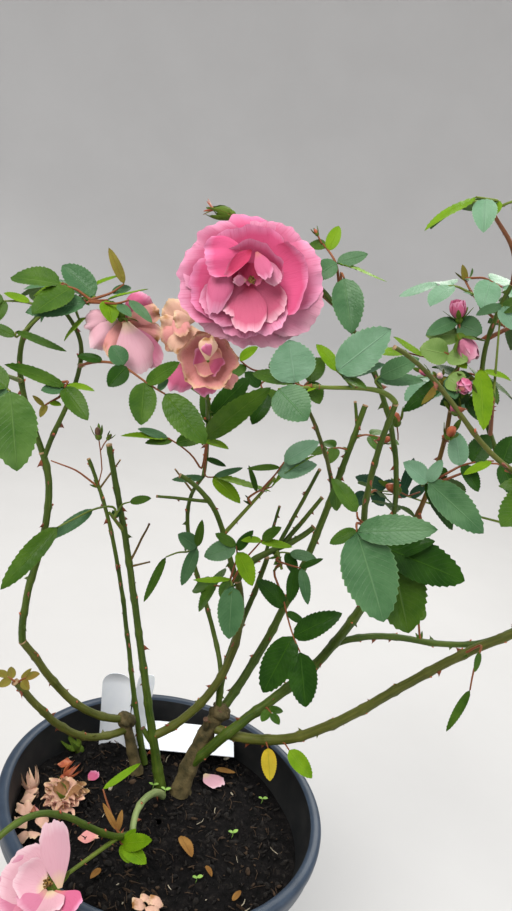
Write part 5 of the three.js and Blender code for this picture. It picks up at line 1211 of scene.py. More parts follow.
def leaf_look(name, dark, light, vein, margin, rough, specular):
    """Leaf skin: side veins that leave the midrib, a fine mottle, and a paler margin."""
    look = Look(name, rough, specular=specular)
    u, v, _ = look.parts(look.uv())
    side = look.times(look.math("ABSOLUTE", look.less(v, 0.5)), 2.0)
    swept = look.less(u, look.times(side, 0.24))
    phase = look.math("FRACT", look.times(swept, float(TEETH + 1)))
    line = look.spread(look.math("ABSOLUTE", look.less(phase, 0.5)), 0.42, 0.5)
    rib = look.spread(side, 0.0, 0.06, 1.0, 0.0)
    veins = look.math("MAXIMUM", look.times(line, 0.28), rib)
    mottle = look.noise(look.place(), 60.0, 5.0)
    fine = look.cells(look.uv(26.0, 16.0, 1.0), 1.0)
    body = look.ramp(mottle, (0.3, dark), (0.7, light))
    body = look.blend(look.times(veins, 0.6), body, vein)
    patch = look.spread(look.noise(look.place(), 34.0, 3.0), 0.56, 0.68)
    body = look.blend(look.times(patch, 0.22), body, vein)
    edge = look.spread(side, 0.93, 1.0)
    body = look.blend(look.times(edge, 0.4), body, margin)
    height = look.less(look.times(fine, 0.25), veins)
    look.finish(body, height, 0.6, 0.0008)


PETAL_ROUGH = 0.6


def petal_look(name, foot, middle, rim, vein, browned=None, sheen=0.0):
    """Petal skin: colour from foot to rim, and fine veins that run to the rim. A tired one browns there."""
    look = Look(name, PETAL_ROUGH, specular=0.12, sheen=sheen)
    u = look.parts(look.uv())[0]
    cloud = look.noise(look.place(), 45.0, 3.0)
    along = look.math("ADD", u, look.times(look.less(cloud, 0.5), 0.35))
    # the foot stop holds a look's colour at the flower's centre; for the heart and fan looks it is dark,
    # painted shade
    body = look.ramp(along, (0.0, foot), (0.25, middle), (0.78, middle), (1.0, rim))
    streaks = look.noise(look.uv(2.0, 42.0, 1.0), 1.0, 3.0)
    lines = look.spread(streaks, 0.52, 0.7)
    body = look.blend(look.times(lines, 0.45), body, vein)
    if browned:
        patch = look.spread(look.noise(look.place(), 120.0, 4.0), 0.5, 0.68)
        edge = look.spread(u, 0.5, 0.9)
        body = look.blend(look.times(patch, edge), body, browned)
    look.finish(body, streaks, 0.35, 0.0008)


def cane_look(name, dark, light, scar, rough=0.5, scars=0.35):
    """Cane skin: long streaks, small corky scars and a dull shine."""
    look = Look(name, rough, specular=0.2)
    uv = look.uv()
    streak = look.noise(look.scaled(uv, (0.35, 5.0, 1.0)), 1.0, 4.0)
    cloud = look.noise(look.place(), 28.0, 3.0)
    body = look.ramp(look.math("MULTIPLY_ADD", streak, 0.5, look.times(cloud, 0.5)),
                     (0.36, dark), (0.62, light))
    spots = look.spread(look.noise(look.scaled(uv, (1.6, 4.0, 1.0)), 2.0, 2.0), 0.6, 0.68)
    body = look.blend(look.times(spots, scars), body, scar)
    height = look.math("ADD", streak, look.times(spots, 0.6))
    look.finish(body, height, 0.5, 0.0007)


def plain_look(name, dark, light, scale, rough, bump=0.4, depth=0.0006):
    """An even stuff with a mottle of the given scale."""
    look = Look(name, rough, specular=0.3)
    cloud = look.noise(look.place(), scale, 5.0)
    fine = look.noise(look.place(), scale * 6, 3.0)
    body = look.ramp(cloud, (0.34, dark), (0.66, light))
    look.finish(body, look.math("ADD", cloud, look.times(fine, 0.5)), bump, depth)


# Colours are linear. Leaves: dark, light, vein, margin, roughness, specular. Petals: foot, middle,
# rim, vein, browned patches, sheen. Canes: dark, light, scar, roughness, scars. Stuffs: dark, light,
# scale of the mottle, roughness, bump and its depth in metres.
LEAF_SKINS = {
    "leaf_deep": ((0.007, 0.034, 0.001), (0.018, 0.062, 0.003), (0.04, 0.11, 0.008), (0.02, 0.07, 0.005),
                  0.38, 0.12),
    "leaf_mid": ((0.022, 0.066, 0.003), (0.054, 0.115, 0.008), (0.09, 0.17, 0.022), (0.09, 0.15, 0.02), 0.38,
                 0.14),
    # the bright yellow-green leaf: painted light shining through it from behind
    "leaf_light": ((0.085, 0.18, 0.003), (0.155, 0.275, 0.006), (0.2, 0.33, 0.015), (0.22, 0.33, 0.02), 0.5,
                   0.1),
    "leaf_soft": ((0.11, 0.2, 0.04), (0.2, 0.29, 0.085), (0.25, 0.35, 0.12), (0.26, 0.34, 0.08), 0.4, 0.16),
    # a grey-green leaf whose cool grey cast is a sheen of the sky painted into its colour
    "leaf_blue": ((0.034, 0.098, 0.034), (0.068, 0.152, 0.062), (0.12, 0.23, 0.1), (0.15, 0.26, 0.11), 0.38,
                  0.18),
    # a pale grey-green leaf: the paleness is a sheen of the sky painted into its colour
    "leaf_pale": ((0.105, 0.225, 0.12), (0.18, 0.31, 0.2), (0.23, 0.38, 0.25), (0.32, 0.46, 0.28), 0.4,
                  0.18),
    "leaf_big": ((0.034, 0.09, 0.012), (0.076, 0.148, 0.03), (0.11, 0.2, 0.05), (0.11, 0.2, 0.04), 0.38,
                 0.16),
    # a dark cool green: painted shade on the leaves at the back of the bush
    "leaf_dusk": ((0.008, 0.036, 0.015), (0.018, 0.058, 0.029), (0.04, 0.11, 0.06), (0.04, 0.1, 0.05), 0.42,
                  0.14),
    "leaf_young": ((0.1, 0.09, 0.012), (0.19, 0.16, 0.025), (0.28, 0.12, 0.03), (0.38, 0.08, 0.03), 0.5,
                   0.1),
    "leaf_yellow": ((0.34, 0.22, 0.008), (0.52, 0.38, 0.022), (0.2, 0.26, 0.02), (0.24, 0.1, 0.01), 0.5,
                    0.1),
    "leaf_dry": ((0.16, 0.07, 0.018), (0.3, 0.16, 0.045), (0.12, 0.06, 0.02), (0.1, 0.05, 0.015), 0.75,
                 0.05),
    "leaf_under": ((0.04, 0.092, 0.016), (0.075, 0.14, 0.032), (0.11, 0.19, 0.05), (0.08, 0.15, 0.03), 0.6,
                   # the underside of that bright leaf, in the same painted backlit green
                   0.08),
    "leaf_backlit_under": ((0.11, 0.21, 0.008), (0.18, 0.3, 0.015), (0.23, 0.36, 0.03), (0.24, 0.35, 0.04), 0.6,
                  0.08),
    "sepal": ((0.045, 0.105, 0.01), (0.11, 0.17, 0.02), (0.2, 0.1, 0.03), (0.22, 0.06, 0.02), 0.55, 0.1),
}
PETAL_SKINS = {
    "petal_face": ((0.62, 0.34, 0.2), (0.58, 0.085, 0.2), (0.68, 0.23, 0.39), (0.49, 0.05, 0.13)),
    # the dark heart: painted shade deep in the flower and in the fold over it
    "petal_heart_shaded": ((0.26, 0.01, 0.03), (0.4, 0.032, 0.09), (0.56, 0.13, 0.23), (0.3, 0.018, 0.055)),
    # the fans' dark feet paint the shade in the flower's throat; their pale rims are their own colour
    "petal_fan_shaded": ((0.3, 0.018, 0.05), (0.44, 0.085, 0.155), (0.62, 0.32, 0.39), (0.36, 0.05, 0.11)),
    "petal_rose": ((0.5, 0.18, 0.15), (0.48, 0.105, 0.2), (0.65, 0.28, 0.41), (0.39, 0.06, 0.13)),
    "petal_back": ((0.56, 0.32, 0.26), (0.54, 0.19, 0.27), (0.63, 0.34, 0.42), (0.47, 0.135, 0.21)),
    # a dusky lavender pink: on the main bloom's lower petals it paints the shade there; elsewhere it is a
    # paler petal colour
    "petal_pale": ((0.52, 0.28, 0.22), (0.47, 0.155, 0.24), (0.58, 0.29, 0.37), (0.41, 0.11, 0.18)),
    "petal_white": ((0.6, 0.46, 0.28), (0.56, 0.31, 0.36), (0.64, 0.44, 0.48), (0.5, 0.2, 0.26)),
    "faded_face": ((0.54, 0.26, 0.18), (0.58, 0.25, 0.235), (0.62, 0.4, 0.26), (0.46, 0.11, 0.12),
                   (0.28, 0.13, 0.05)),
    "faded_back": ((0.58, 0.36, 0.24), (0.6, 0.32, 0.28), (0.62, 0.42, 0.28), (0.5, 0.18, 0.16),
                   (0.3, 0.14, 0.05)),
    "cream_face": ((0.6, 0.42, 0.25), (0.62, 0.38, 0.28), (0.62, 0.45, 0.28), (0.54, 0.22, 0.18),
                   (0.32, 0.15, 0.05)),
    "withered_face": ((0.3, 0.17, 0.08), (0.26, 0.13, 0.055), (0.42, 0.27, 0.13), (0.12, 0.055, 0.03),
                      (0.08, 0.035, 0.02), 0.1),
}
CANE_SKINS = {
    "cane_green": ((0.022, 0.05, 0.004), (0.072, 0.11, 0.012), (0.15, 0.09, 0.03)),
    "cane_olive": ((0.04, 0.052, 0.006), (0.105, 0.112, 0.02), (0.14, 0.065, 0.02)),
    "cane_brown": ((0.06, 0.036, 0.01), (0.14, 0.095, 0.03), (0.22, 0.15, 0.07), 0.65, 0.5),
    "cane_red": ((0.085, 0.045, 0.01), (0.17, 0.095, 0.026), (0.19, 0.045, 0.02), 0.45, 0.35),
    "cane_pale": ((0.13, 0.19, 0.06), (0.25, 0.3, 0.12), (0.2, 0.13, 0.06), 0.55, 0.4),
    "stalk_red": ((0.15, 0.04, 0.015), (0.23, 0.085, 0.03), (0.15, 0.15, 0.03), 0.5, 0.2),
    "stalk_green": ((0.075, 0.12, 0.012), (0.15, 0.19, 0.03), (0.22, 0.07, 0.03), 0.5, 0.3),
}
PLAIN_STUFFS = {
    "bark": ((0.03, 0.026, 0.008), (0.115, 0.085, 0.034), 95.0, 0.85, 0.8, 0.002),
    "cut_wood": ((0.19, 0.11, 0.055), (0.36, 0.24, 0.13), 300.0, 0.8),
    "cut_dark": ((0.06, 0.032, 0.02), (0.13, 0.07, 0.04), 300.0, 0.85),
    "prickle": ((0.12, 0.03, 0.012), (0.23, 0.07, 0.028), 200.0, 0.4),
    "bud_red": ((0.3, 0.06, 0.03), (0.46, 0.14, 0.055), 200.0, 0.45),
    "pot_plastic": ((0.018, 0.03, 0.05), (0.03, 0.046, 0.072), 38.0, 0.40, 0.25, 0.0004),
    "pot_inside": ((0.007, 0.008, 0.009), (0.016, 0.016, 0.016), 60.0, 0.6, 0.3, 0.0004),
    "label_plastic": ((0.84, 0.88, 0.94), (0.9, 0.93, 0.97), 60.0, 0.38, 0.15, 0.0003),
    "crumb_dark": ((0.003, 0.003, 0.003), (0.018, 0.014, 0.011), 300.0, 0.95, 0.8, 0.001),
    "crumb_brown": ((0.03, 0.018, 0.01), (0.075, 0.045, 0.025), 300.0, 0.9, 0.8, 0.001),
    "crumb_pale": ((0.3, 0.25, 0.17), (0.52, 0.46, 0.34), 300.0, 0.85, 0.6, 0.001),
    "seedling": ((0.16, 0.3, 0.05), (0.26, 0.42, 0.09), 200.0, 0.5),
    "stamen": ((0.09, 0.045, 0.015), (0.3, 0.17, 0.04), 500.0, 0.8, 0.8, 0.001),
}
for make_look, skins in ((leaf_look, LEAF_SKINS), (petal_look, PETAL_SKINS), (cane_look, CANE_SKINS),
                         (plain_look, PLAIN_STUFFS)):
    for name, skin in skins.items():
        make_look(name, *skin)


def compost_look():
    look = Look("compost", 0.95, specular=0.1)
    coarse = look.noise(look.place(), 140.0, 8.0, 0.65)
    fibres = look.noise(look.place(500.0, 90.0, 200.0), 1.0, 4.0)
    body = look.ramp(coarse, (0.34, (0.002, 0.002, 0.002)), (0.56, (0.007, 0.006, 0.006)),
                     (0.72, (0.024, 0.020, 0.017)))
    specks = look.spread(fibres, 0.66, 0.74)
    body = look.blend(look.times(specks, 0.35), body, (0.10, 0.075, 0.05))
    look.finish(body, look.math("ADD", coarse, look.times(fibres, 0.5)), 1.0, 0.004)


compost_look()


# The plant

CANE_LOOKS = {
    "bark": ["trunk", "left_stump"],
    "cane_pale": ["front_low"],
    "cane_olive": ["left_low_cane", "low_left_cane", "mid_cane", "right_long", "side_cane", "near_cane",
                   "near_upper"],
    "cane_red": ["right_mid"],
}
LOOK_OF_CANE = {name: look for look, names in CANE_LOOKS.items() for name in names}
# Several of these looks paint light: the bright yellow-green one light shining through the leaf, the cool
# grey-green and the pale ones a sheen of the sky.
LEAF_LOOKS = {
    "left_outer_spray": ("leaf_blue", "leaf_mid"), "left_edge_spray": ("leaf_deep", "leaf_mid"),
    "left_low_spray": ("leaf_blue", "leaf_deep"), "left_reach_leaf": ("leaf_deep", "leaf_mid"),
    "left_inner_spray": ("leaf_mid", "leaf_light"), "flower_leaf": ("leaf_blue", "leaf_mid"),
    "side_spray": ("leaf_light", "leaf_mid"), "arch_spray": ("leaf_light", "leaf_blue"),
    "centre_spray": ("leaf_deep", "leaf_mid"), "right_crown_spray": ("leaf_pale", "leaf_blue"),
    "top_right_spray": ("leaf_blue", "leaf_mid"), "right_upper_spray": ("leaf_mid", "leaf_pale"),
    "right_back_spray": ("leaf_deep", "leaf_mid"), "thin_spray": ("leaf_deep", "leaf_mid"),
}
LEFT_SPRAYS = ["left_outer_spray", "left_edge_spray", "left_low_spray", "left_reach_leaf",
               "left_inner_spray", "left_long_leaf", "thin_spray", "thin_leaf"]
RIGHT_SPRAYS = ["big_leaf_spray", "right_mid_spray", "right_top_spray", "right_upper_spray",
                "right_back_spray", "right_crown_spray", "top_right_spray"]
BLOOM_SPRAYS = ["main_bloom", "faded_bloom_left", "faded_bloom_right", "top_bud", "low_bloom"]
MIDDLE_SPRAYS = [name for name in SPRAYS if name not in LEFT_SPRAYS + RIGHT_SPRAYS + BLOOM_SPRAYS]
WOODY = ("trunk", "left_stump")
RING_STEP = 2.2
PRICKLE_STEP = 24
NODE_STEP = 34
NODE_SWELL = 0.16
NODE_SPREAD = 3.2
THIN_STUB = 1.2
FIRST_TINT_SHARE = 0.62
RED_STALK_SHARE = 0.6


def add_cut(shape, centre, forward, radius, look):
    """The flat end of a pruned limb: a rim of bark round a dished face."""
    normal, across = (rows[0] for rows in frames_along(np.array([centre, centre + forward])))
    angle = full_turn(16)
    ring = normal * np.cos(angle)[:, None] + across * np.sin(angle)[:, None]
    steps = [(1.06, -1.2), (1.1, -0.1), (0.92, 0.25), (0.8, 0.0), (0.3, -0.2), (0.02, -0.35)]
    grid = np.array([centre + ring * radius * share + forward * rise for share, rise in steps])
    shape.grid(grid, look, around=True)


def add_limb(shape, name, limb):
    curve = curves[name]
    random = seeded_random(len(name) * 31 + int(abs(curve.controls[3][0])))
    count = max(12, int(curve.length / RING_STEP))
    u = np.linspace(0, 1, count)
    points, woody = curve.point(u), name in WOODY
    sides = 28 if woody else 16
    along = u * curve.length
    radii = limb_radius(limb, u)
    nodes = np.arange(18 + 12 * random(), curve.length - 6, NODE_STEP)
    swell = sum((np.exp(-((along - node) / NODE_SPREAD) ** 2) for node in nodes), np.zeros(count))
    radii = radii * (1 + NODE_SWELL * swell)
    points[1:-1] += 0.35 * np.array([ripple(points[1:-1], 22, k) for k in range(3)]).T
    grid, outward = ring_grid(points, radii, sides)
    if woody:
        grain = ripple(grid, 7, 2) * 0.1 + ripple(grid * [1, 1, 0.3], 2.4, 5) * 0.07
    else:
        grain = ripple(grid, 4, 2) * 0.035
    grid = grid + outward * (radii[:, None] * grain)[..., None]
    look = LOOK_OF_CANE.get(name, "cane_green")
    shape.grid(grid, look, tube_uv(points, sides, ABOUT_A_TURN * radii.mean()), around=True)
    add_cut(shape, points[-1], curve.tangent(1), radii[-1], "cut_dark" if woody else "cut_wood")
    if limb["knot"]:
        axis = curve.tangent(0.97)
        add_lump(shape, curve.point(0.97), np.eye(3) * limb["knot"] * 0.98, look, 0.22, 4, rows=26, cols=34)
        for k in range(7):
            way = unit(heading(360 * random(), 60 * random() - 20) + axis * 0.3)
            add_lump(shape, curve.point(0.97) + way * limb["knot"] * 0.8, np.eye(3) * (2 + 2.4 * random()),
                     look, 0.25, k, rows=9, cols=12)
    if not woody:
        add_prickles(shape, curve, limb, look, random)
        for k, node in enumerate(nodes):
            add_bud(shape, curve, limb, node / curve.length, 180 * k + 40, random)
    for stub in limb["stubs"]:
        add_stub(shape, curve, stub, look, random)


def skin_spot(curve, limb, u, turn):
    """A spot on a limb's skin with the way out of it and the way along it."""
    forward = curve.tangent(u)
    side = unit(np.cross(forward, UP + 0.01 * heading(40, 0)))
    out = turned(side, forward, math.radians(turn))
    return curve.point(u) + out * float(limb_radius(limb, u)) * 0.9, out, forward


def add_prickles(shape, curve, limb, look, random):
    place = 10 + PRICKLE_STEP * random()
    while place < curve.length - 4:
        spot, out, forward = skin_spot(curve, limb, place / curve.length, 360 * random())
        size = 0.6 + 0.7 * random()
        colour = "prickle" if random() < 0.75 else look
        way = unit(out - forward * 0.15)
        add_cone(shape, spot, way, 4.2 * size, 0.85 * size, 2.3 * size, 0.35, colour, forward)
        place += PRICKLE_STEP * (0.35 + 1.3 * random())


def add_bud(shape, curve, limb, u, turn, random):
    """A leaf scar on a node, with a small pointed bud over it."""
    spot, out, forward = skin_spot(curve, limb, u, turn + 30 * random())
    across = np.cross(out, forward)
    add_lump(shape, spot - forward * 0.8, [across * 1.9, forward * 0.7, out * 0.8], "cut_dark", 0.1, 1, 5, 8)
    axes = [across * 1.1, unit(forward + out * 0.6) * 1.9, out * 0.9]
    add_lump(shape, spot + forward * 0.9 + out * 0.5, axes, "bud_red", 0.1, 2, 6, 8)


def add_stub(shape, curve, stub, look, random):
    root = curve.point(stub["at"])
    way = heading(stub["azimuth"], stub["lift"])
    count = max(6, int(stub["length"] / 3))
    u = np.linspace(0, 1, count)
    points = root + way * (u * stub["length"])[:, None]
    points[1:] += 0.3 * np.array([ripple(points[1:], 14, k + 3) for k in range(3)]).T
    radii = stub["radius"] * (1.15 - 0.3 * u) * (1 + 0.06 * ripple(points, 5, 6))
    thin = stub["radius"] < THIN_STUB
    skin = "cane_brown" if thin else look
    grid, _ = ring_grid(points, radii, 12)
    shape.grid(grid, skin, tube_uv(points, 12, ABOUT_A_TURN * radii.mean()), around=True)
    add_cut(shape, points[-1], way, radii[-1], "cut_dark" if random() < 0.5 else "cut_wood")
    if not thin and stub["length"] > 20:
        for k in range(int(stub["length"] / 18)):
            out = turned(unit(np.cross(way, UP)), way, ABOUT_A_TURN * random())
            spot = root + way * stub["length"] * (0.3 + 0.6 * random()) + out * stub["radius"] * 0.8
            add_cone(shape, spot, out, 2.8, 0.6, 1.6, 0.3, "prickle", way)


def build_limbs(sprigs, leaves):
    for name, limb in LIMBS.items():
        shape = Shape()
        add_limb(shape, name, limb)
        random = seeded_random(len(name) + 5)
        for leaf in sprigs[name]:
            tint = "leaf_young" if name == "low_left_cane" else "leaf_mid"
            add_leaf(leaves, shape, leaf, tint, "stalk_red", random)
        for order, item in enumerate(SEEN_SPRIGS.get(name, [])):
            add_leaf(leaves, shape, seen_leaf(curves[name], item, order), "leaf_mid", "stalk_red", random)
        shape.build(name + "_bark", "bark" if name in WOODY else "cane", name)


def add_shoot_tip(leaves, shoot, tint, random):
    """Small folded young leaves at the end of a twig."""
    end, forward = shoot["curve"].point(1), shoot["curve"].tangent(1)
    for k in range(4):
        out = turned(unit(np.cross(forward, UP + 0.01)), forward, 1.6 * k + random())
        along = unit(forward + out * (0.35 + 0.25 * k))
        blade = {"root": end - forward * 1.5 * k, "along": along, "length": 8 + 3 * k}
        blade["up"] = unit(np.cross(blade["along"], np.cross(out, blade["along"])))
        add_leaflet(leaves, blade, tint, "leaf_under", random, broad=0.42)


def build_sprays(sprays, leaves_of, twigs):
    """Fills the pieces with the leaves and twigs of every spray."""
    for name, grown in sprays.items():
        spray, random = grown["spray"], seeded_random(grown["spray"]["seed"] + 900)
        tints = LEAF_LOOKS.get(name, ("leaf_mid", "leaf_deep"))
        leaves = leaves_of[name]
        for k, shoot in enumerate(grown["shoots"]):
            points = shoot["curve"].point(np.linspace(0, 1, 24))
            thick = (STEM_RADIUS + 0.3, STEM_RADIUS - 0.4) if k == 0 else (1.3, 0.9)
            radii = np.linspace(*thick, 24)
            look = "stalk_red" if name.startswith(("right", "top", "big")) else "stalk_green"
            add_tube(twigs, points, radii, 10, look)
            for _ in range(3):
                spot = 0.15 + 0.7 * random()
                forward = shoot["curve"].tangent(spot)
                out = turned(unit(np.cross(forward, UP)), forward, ABOUT_A_TURN * random())
                root = shoot["curve"].point(spot) + out * 1.1
                add_cone(twigs, root, out, 2.4, 0.5, 1.2, 0.4, "prickle", forward)
            if not spray["bloom"] and (name not in SEEN_LEAVES or k > 0):
                add_shoot_tip(leaves, shoot, "leaf_young" if random() < 0.6 else tints[0], random)
        for leaf in grown["leaves"]:
            tint = tints[0] if random() < FIRST_TINT_SHARE else tints[1]
            stalk = "stalk_red" if random() < RED_STALK_SHARE else "stalk_green"
            add_leaf(leaves, twigs, leaf, tint, stalk, random)


# The flowers

def petal(angle, half, profile, **more):
    base = {"angle": angle, "half": half, "profile": profile, "frill": 1.5, "seed": angle * 0.37 + half,
            "face": "petal_face", "back": "petal_back"}
    base.update(more)
    return base


MAIN_PETALS = [
    # the back row; its lower petals take the dusky lavender pale look, painted shade where light from above
    # misses them
    petal(-24, 25, [(4, -4), (24, 2), (42, -2)], wrap=60, round=0.2),
    petal(12, 22, [(4, -5), (22, 1), (38, -1)], wrap=60, round=0.18, face="petal_rose"),
    petal(44, 22, [(4, -5), (24, 1), (42, -2)], wrap=60, round=0.22, face="petal_rose"),
    petal(78, 22, [(4, -4), (26, 2), (45, 0)], wrap=60, round=0.2, frill=1.8, face="petal_rose"),
    petal(112, 22, [(4, -5), (26, 1), (47, -3)], wrap=60, round=0.24, frill=1.8, face="petal_pale"),
    petal(143, 20, [(4, -5), (24, 0), (43, -5)], wrap=60, round=0.24, face="petal_pale"),
    petal(176, 21, [(4, -6), (22, -2), (39, -6)], wrap=60, round=0.2, face="petal_pale"),
    petal(207, 19, [(4, -6), (22, -2), (38, -5)], wrap=60, round=0.22, face="petal_pale"),
    petal(237, 21, [(4, -4), (24, 0), (41, -3)], wrap=60, round=0.22, face="petal_pale"),
    petal(268, 24, [(4, -4), (26, 2), (45, 1)], wrap=60, round=0.18, face="petal_rose"),
    petal(303, 24, [(4, -4), (26, 2), (44, 0)], wrap=60, round=0.2, face="petal_rose"),
    # the middle row
    petal(-8, 24, [(4, -2), (22, -1), (34, 6)], wrap=50, round=0.2, frill=1.2),
    petal(262, 19, [(4, -2), (26, -3), (37, 7)], wrap=42, round=0.22, frill=1.0),
    petal(234, 15, [(4, -2), (22, 0), (33, 6)], wrap=42, round=0.26, frill=1.0, face="petal_rose"),
    petal(192, 17, [(4, -3), (20, -2), (34, 2)], wrap=40, round=0.24, frill=1.2, face="petal_rose"),
    petal(150, 14, [(4, -1), (20, 1), (34, 5)], wrap=34, round=0.3, frill=1.2, face="petal_rose"),
    petal(84, 23, [(4, -2), (30, -3), (35, 13)], wrap=36, round=0.18, frill=1.0),
    petal(14, 18, [(3, 0), (17, 1), (23, 16)], wrap=30, round=0.2, frill=1.2, waves=5, back="petal_rose"),
    # the heart: petals folded over it from above, and the fans below; dark heart and fan feet paint its shade
    petal(-98, 12, [(0, 0), (12, 7), (26, 8)], at=(-1, 16, 6), wrap=-60, round=0.22, frill=1.3, waves=6),
    petal(-138, 4, [(0, 0), (12, 6), (22, 5)], at=(1, 18, 11), wrap=40, round=0.5, frill=0.4, cup=2.5,
          face="petal_heart_shaded", back="petal_pale"),
    petal(154, 5, [(0, 0), (10, 5), (18, 6)], at=(4, 17, 10), wrap=30, round=0.3, frill=0.6, cup=-2,
          face="petal_rose"),
    petal(140, 5.5, [(0, 0), (10, 3), (19, 3)], at=(6, 13, 8), wrap=30, round=0.3, frill=0.6, cup=-2,
          face="petal_pale"),
    petal(176, 9, [(0, 0), (10, 2), (21, 4)], at=(1, 19, 1), wrap=40, round=0.3, frill=0.6,
          face="petal_heart_shaded"),
    petal(212, 9, [(0, 0), (10, 2), (16, 3)], at=(-4, 15, 0), wrap=40, round=0.3, frill=0.6,
          face="petal_heart_shaded"),
    petal(-96, 3.4, [(0, 0), (4, 4), (8, 2)], at=(-2, 1, 7), wrap=20, round=0.4, frill=0.4, cup=-2.5,
          face="petal_pale"),
    petal(214, 10, [(1, 1), (14, -1), (24, 7)], wrap=22, round=0.3, frill=0.7, cup=-1.5, face="petal_fan_shaded"),
    petal(136, 13, [(1, 1), (15, -1), (28, 6)], wrap=26, round=0.3, frill=0.9, cup=-1.5, face="petal_fan_shaded"),
    petal(180, 11, [(1, 1), (18, 3), (31, 13)], wrap=30, round=0.3, frill=0.7, cup=-2, face="petal_fan_shaded"),
    petal(-166, 8, [(0, 0), (14, 7), (29, 3)], at=(-15, 8, 5), wrap=30, round=0.5, frill=0.6, cup=-5,
          face="petal_rose"),
]


def add_stamens(shape, frame, reach, count, seed):
    centre, right, upward, front = frame
    random = seeded_random(seed)
    for _ in range(count):
        turn, lean = ABOUT_A_TURN * random(), 0.1 + 0.5 * random()
        way = unit(front + (right * math.cos(turn) + upward * math.sin(turn)) * lean)
        tip = centre + way * reach * (0.7 + 0.3 * random())
        add_tube(shape, np.array([centre, (centre + tip) / 2 + upward * 0.4, tip]), 0.22, 5, "stamen")
        add_lump(shape, tip, np.eye(3) * 0.7, "stamen", 0.2, 5, 5, 6)


def stem_end(sprays, name):
    return sprays[name]["shoots"][0]["curve"].point(1)


MAIN_BLOOM_SHIFT = np.array([1.5, 0, 1.5])
MAIN_BLOOM_ROLL = 12


def build_main_bloom(sprays):
    end = stem_end(sprays, "main_bloom")
    frame = bloom_frame(end + MAIN_BLOOM_SHIFT, SPRAYS["main_bloom"]["bloom"][1:])
    frame = rolled(frame, MAIN_BLOOM_ROLL)
    shape = Shape()
    for item in MAIN_PETALS:
        add_petal(shape, item, frame, rows=26, cols=39)
    heart = (frame[0] - frame[1] * 1.5 + frame[2] * 1.5 + frame[3] * 1, *frame[1:])
    add_stamens(shape, heart, 5, 26, 3)
    back = (frame[0] - frame[3] * 2, *frame[1:])
    add_calyx(shape, back, 8, 5, 0.9)
    shape.build("main_bloom_petals", "petal", "main_bloom")


def rolled(frame, degrees):
    centre, right, upward, front = frame
    angle = math.radians(degrees)
    return centre, turned(right, front, angle), turned(upward, front, angle), front


def add_faded(shape, frame, size, seed, count, faces, droop):
    """A tired flower: petals that hang or cup at random, crumpled and browned at their rims."""
    random = seeded_random(seed)
    for k in range(count):
        inner = k / count
        angle = k * 137.5 + 30 * random()
        reach = size * (0.5 - 0.26 * inner) * (0.85 + 0.3 * random())
        front_rim = size * (-droop * (1 - inner) + 0.3 * inner + 0.1 * random())
        face = faces[int(random() * len(faces))]
        item = petal(angle, size * (0.25 - 0.1 * inner) * (0.85 + 0.3 * random()),
                     [(2, -1 + 3 * inner), (reach * 0.9, size * (0.08 + 0.2 * inner)), (reach, front_rim)],
                     wrap=size * (0.28 + 0.3 * random()), round=0.25, frill=2.2 + 1.4 * random(),
                     waves=6 + 5 * random(), seed=seed + k * 1.7, notch=0.12, face=face, back="faded_back")
        add_petal(shape, item, frame, rows=20, cols=27)


LEFT_LOBES = [
    ([122, 320, -44], [132, 370, -48], 12, 4, "faded_face", {}),
    ([126, 322, -46], [160, 340, -48], 9, 3, "faded_face", {}),
    ([126, 320, -48], [149, 296, -48], 9.5, 3, "petal_rose", {"frill": 1.8, "cup": -3}),
    ([128, 318, -50], [160, 312, -50], 7, 2, "faded_face", {"frill": 1.8, "cup": -3}),
    ([116, 318, -50], [84, 324, -56], 8, 4, "petal_white", {}),
    ([118, 320, -52], [92, 348, -60], 8.5, 5, "petal_white", {}),
    ([120, 322, -54], [112, 358, -62], 8, 5, "faded_face", {}),
    ([124, 324, -54], [160, 366, -58], 9, 5, "petal_pale", {"frill": 1.6}),
    ([126, 322, -58], [142, 374, -66], 13, 8, "petal_white", {"frill": 0.6}),
]
CREAM_LOBES = [
    ([184, 326, -46], [168, 300, -48], 9, 3, "cream_face", {"frill": 2.0}),
    ([186, 326, -46], [192, 300, -46], 9, 3, "cream_face", {"frill": 2.0}),
    ([184, 330, -48], [160, 320, -50], 9, 3, "cream_face", {"frill": 2.0}),
    ([186, 330, -50], [163, 346, -54], 10, 4, "faded_face", {"frill": 2.0}),
    ([188, 328, -52], [178, 356, -60], 10, 5, "cream_face", {"frill": 1.6}),
    ([190, 326, -52], [198, 352, -58], 9, 4, "cream_face", {"frill": 1.6}),
    ([190, 318, -54], [174, 322, -62], 7, 4, "cream_face", {"frill": 1.4, "cup": -3}),
    ([176, 312, -52], [184, 336, -64], 6, 4, "faded_face", {"frill": 1.4, "cup": -3}),
]
HANGING_LOBES = [
    ([186, 362, -52], [174, 392, -56], 10, 4, "petal_rose", {}),
    ([204, 372, -56], [208, 396, -58], 9, 3, "petal_rose", {}),
    ([224, 372, -56], [232, 388, -58], 7, 3, "faded_face", {}),
]


def add_lobes(shape, lobes):
    for foot, tip, half, bulge, face, more in lobes:
        add_lobe(shape, foot, tip, half, bulge, face, **more)


def view_frame(pixel):
    centre = seen_spot(pixel)
    front = unit(VIEW_FROM - centre)
    upward = unit(-VIEW_DOWN - front * np.dot(-VIEW_DOWN, front))
    return centre, unit(np.cross(front, -VIEW_DOWN)), upward, front


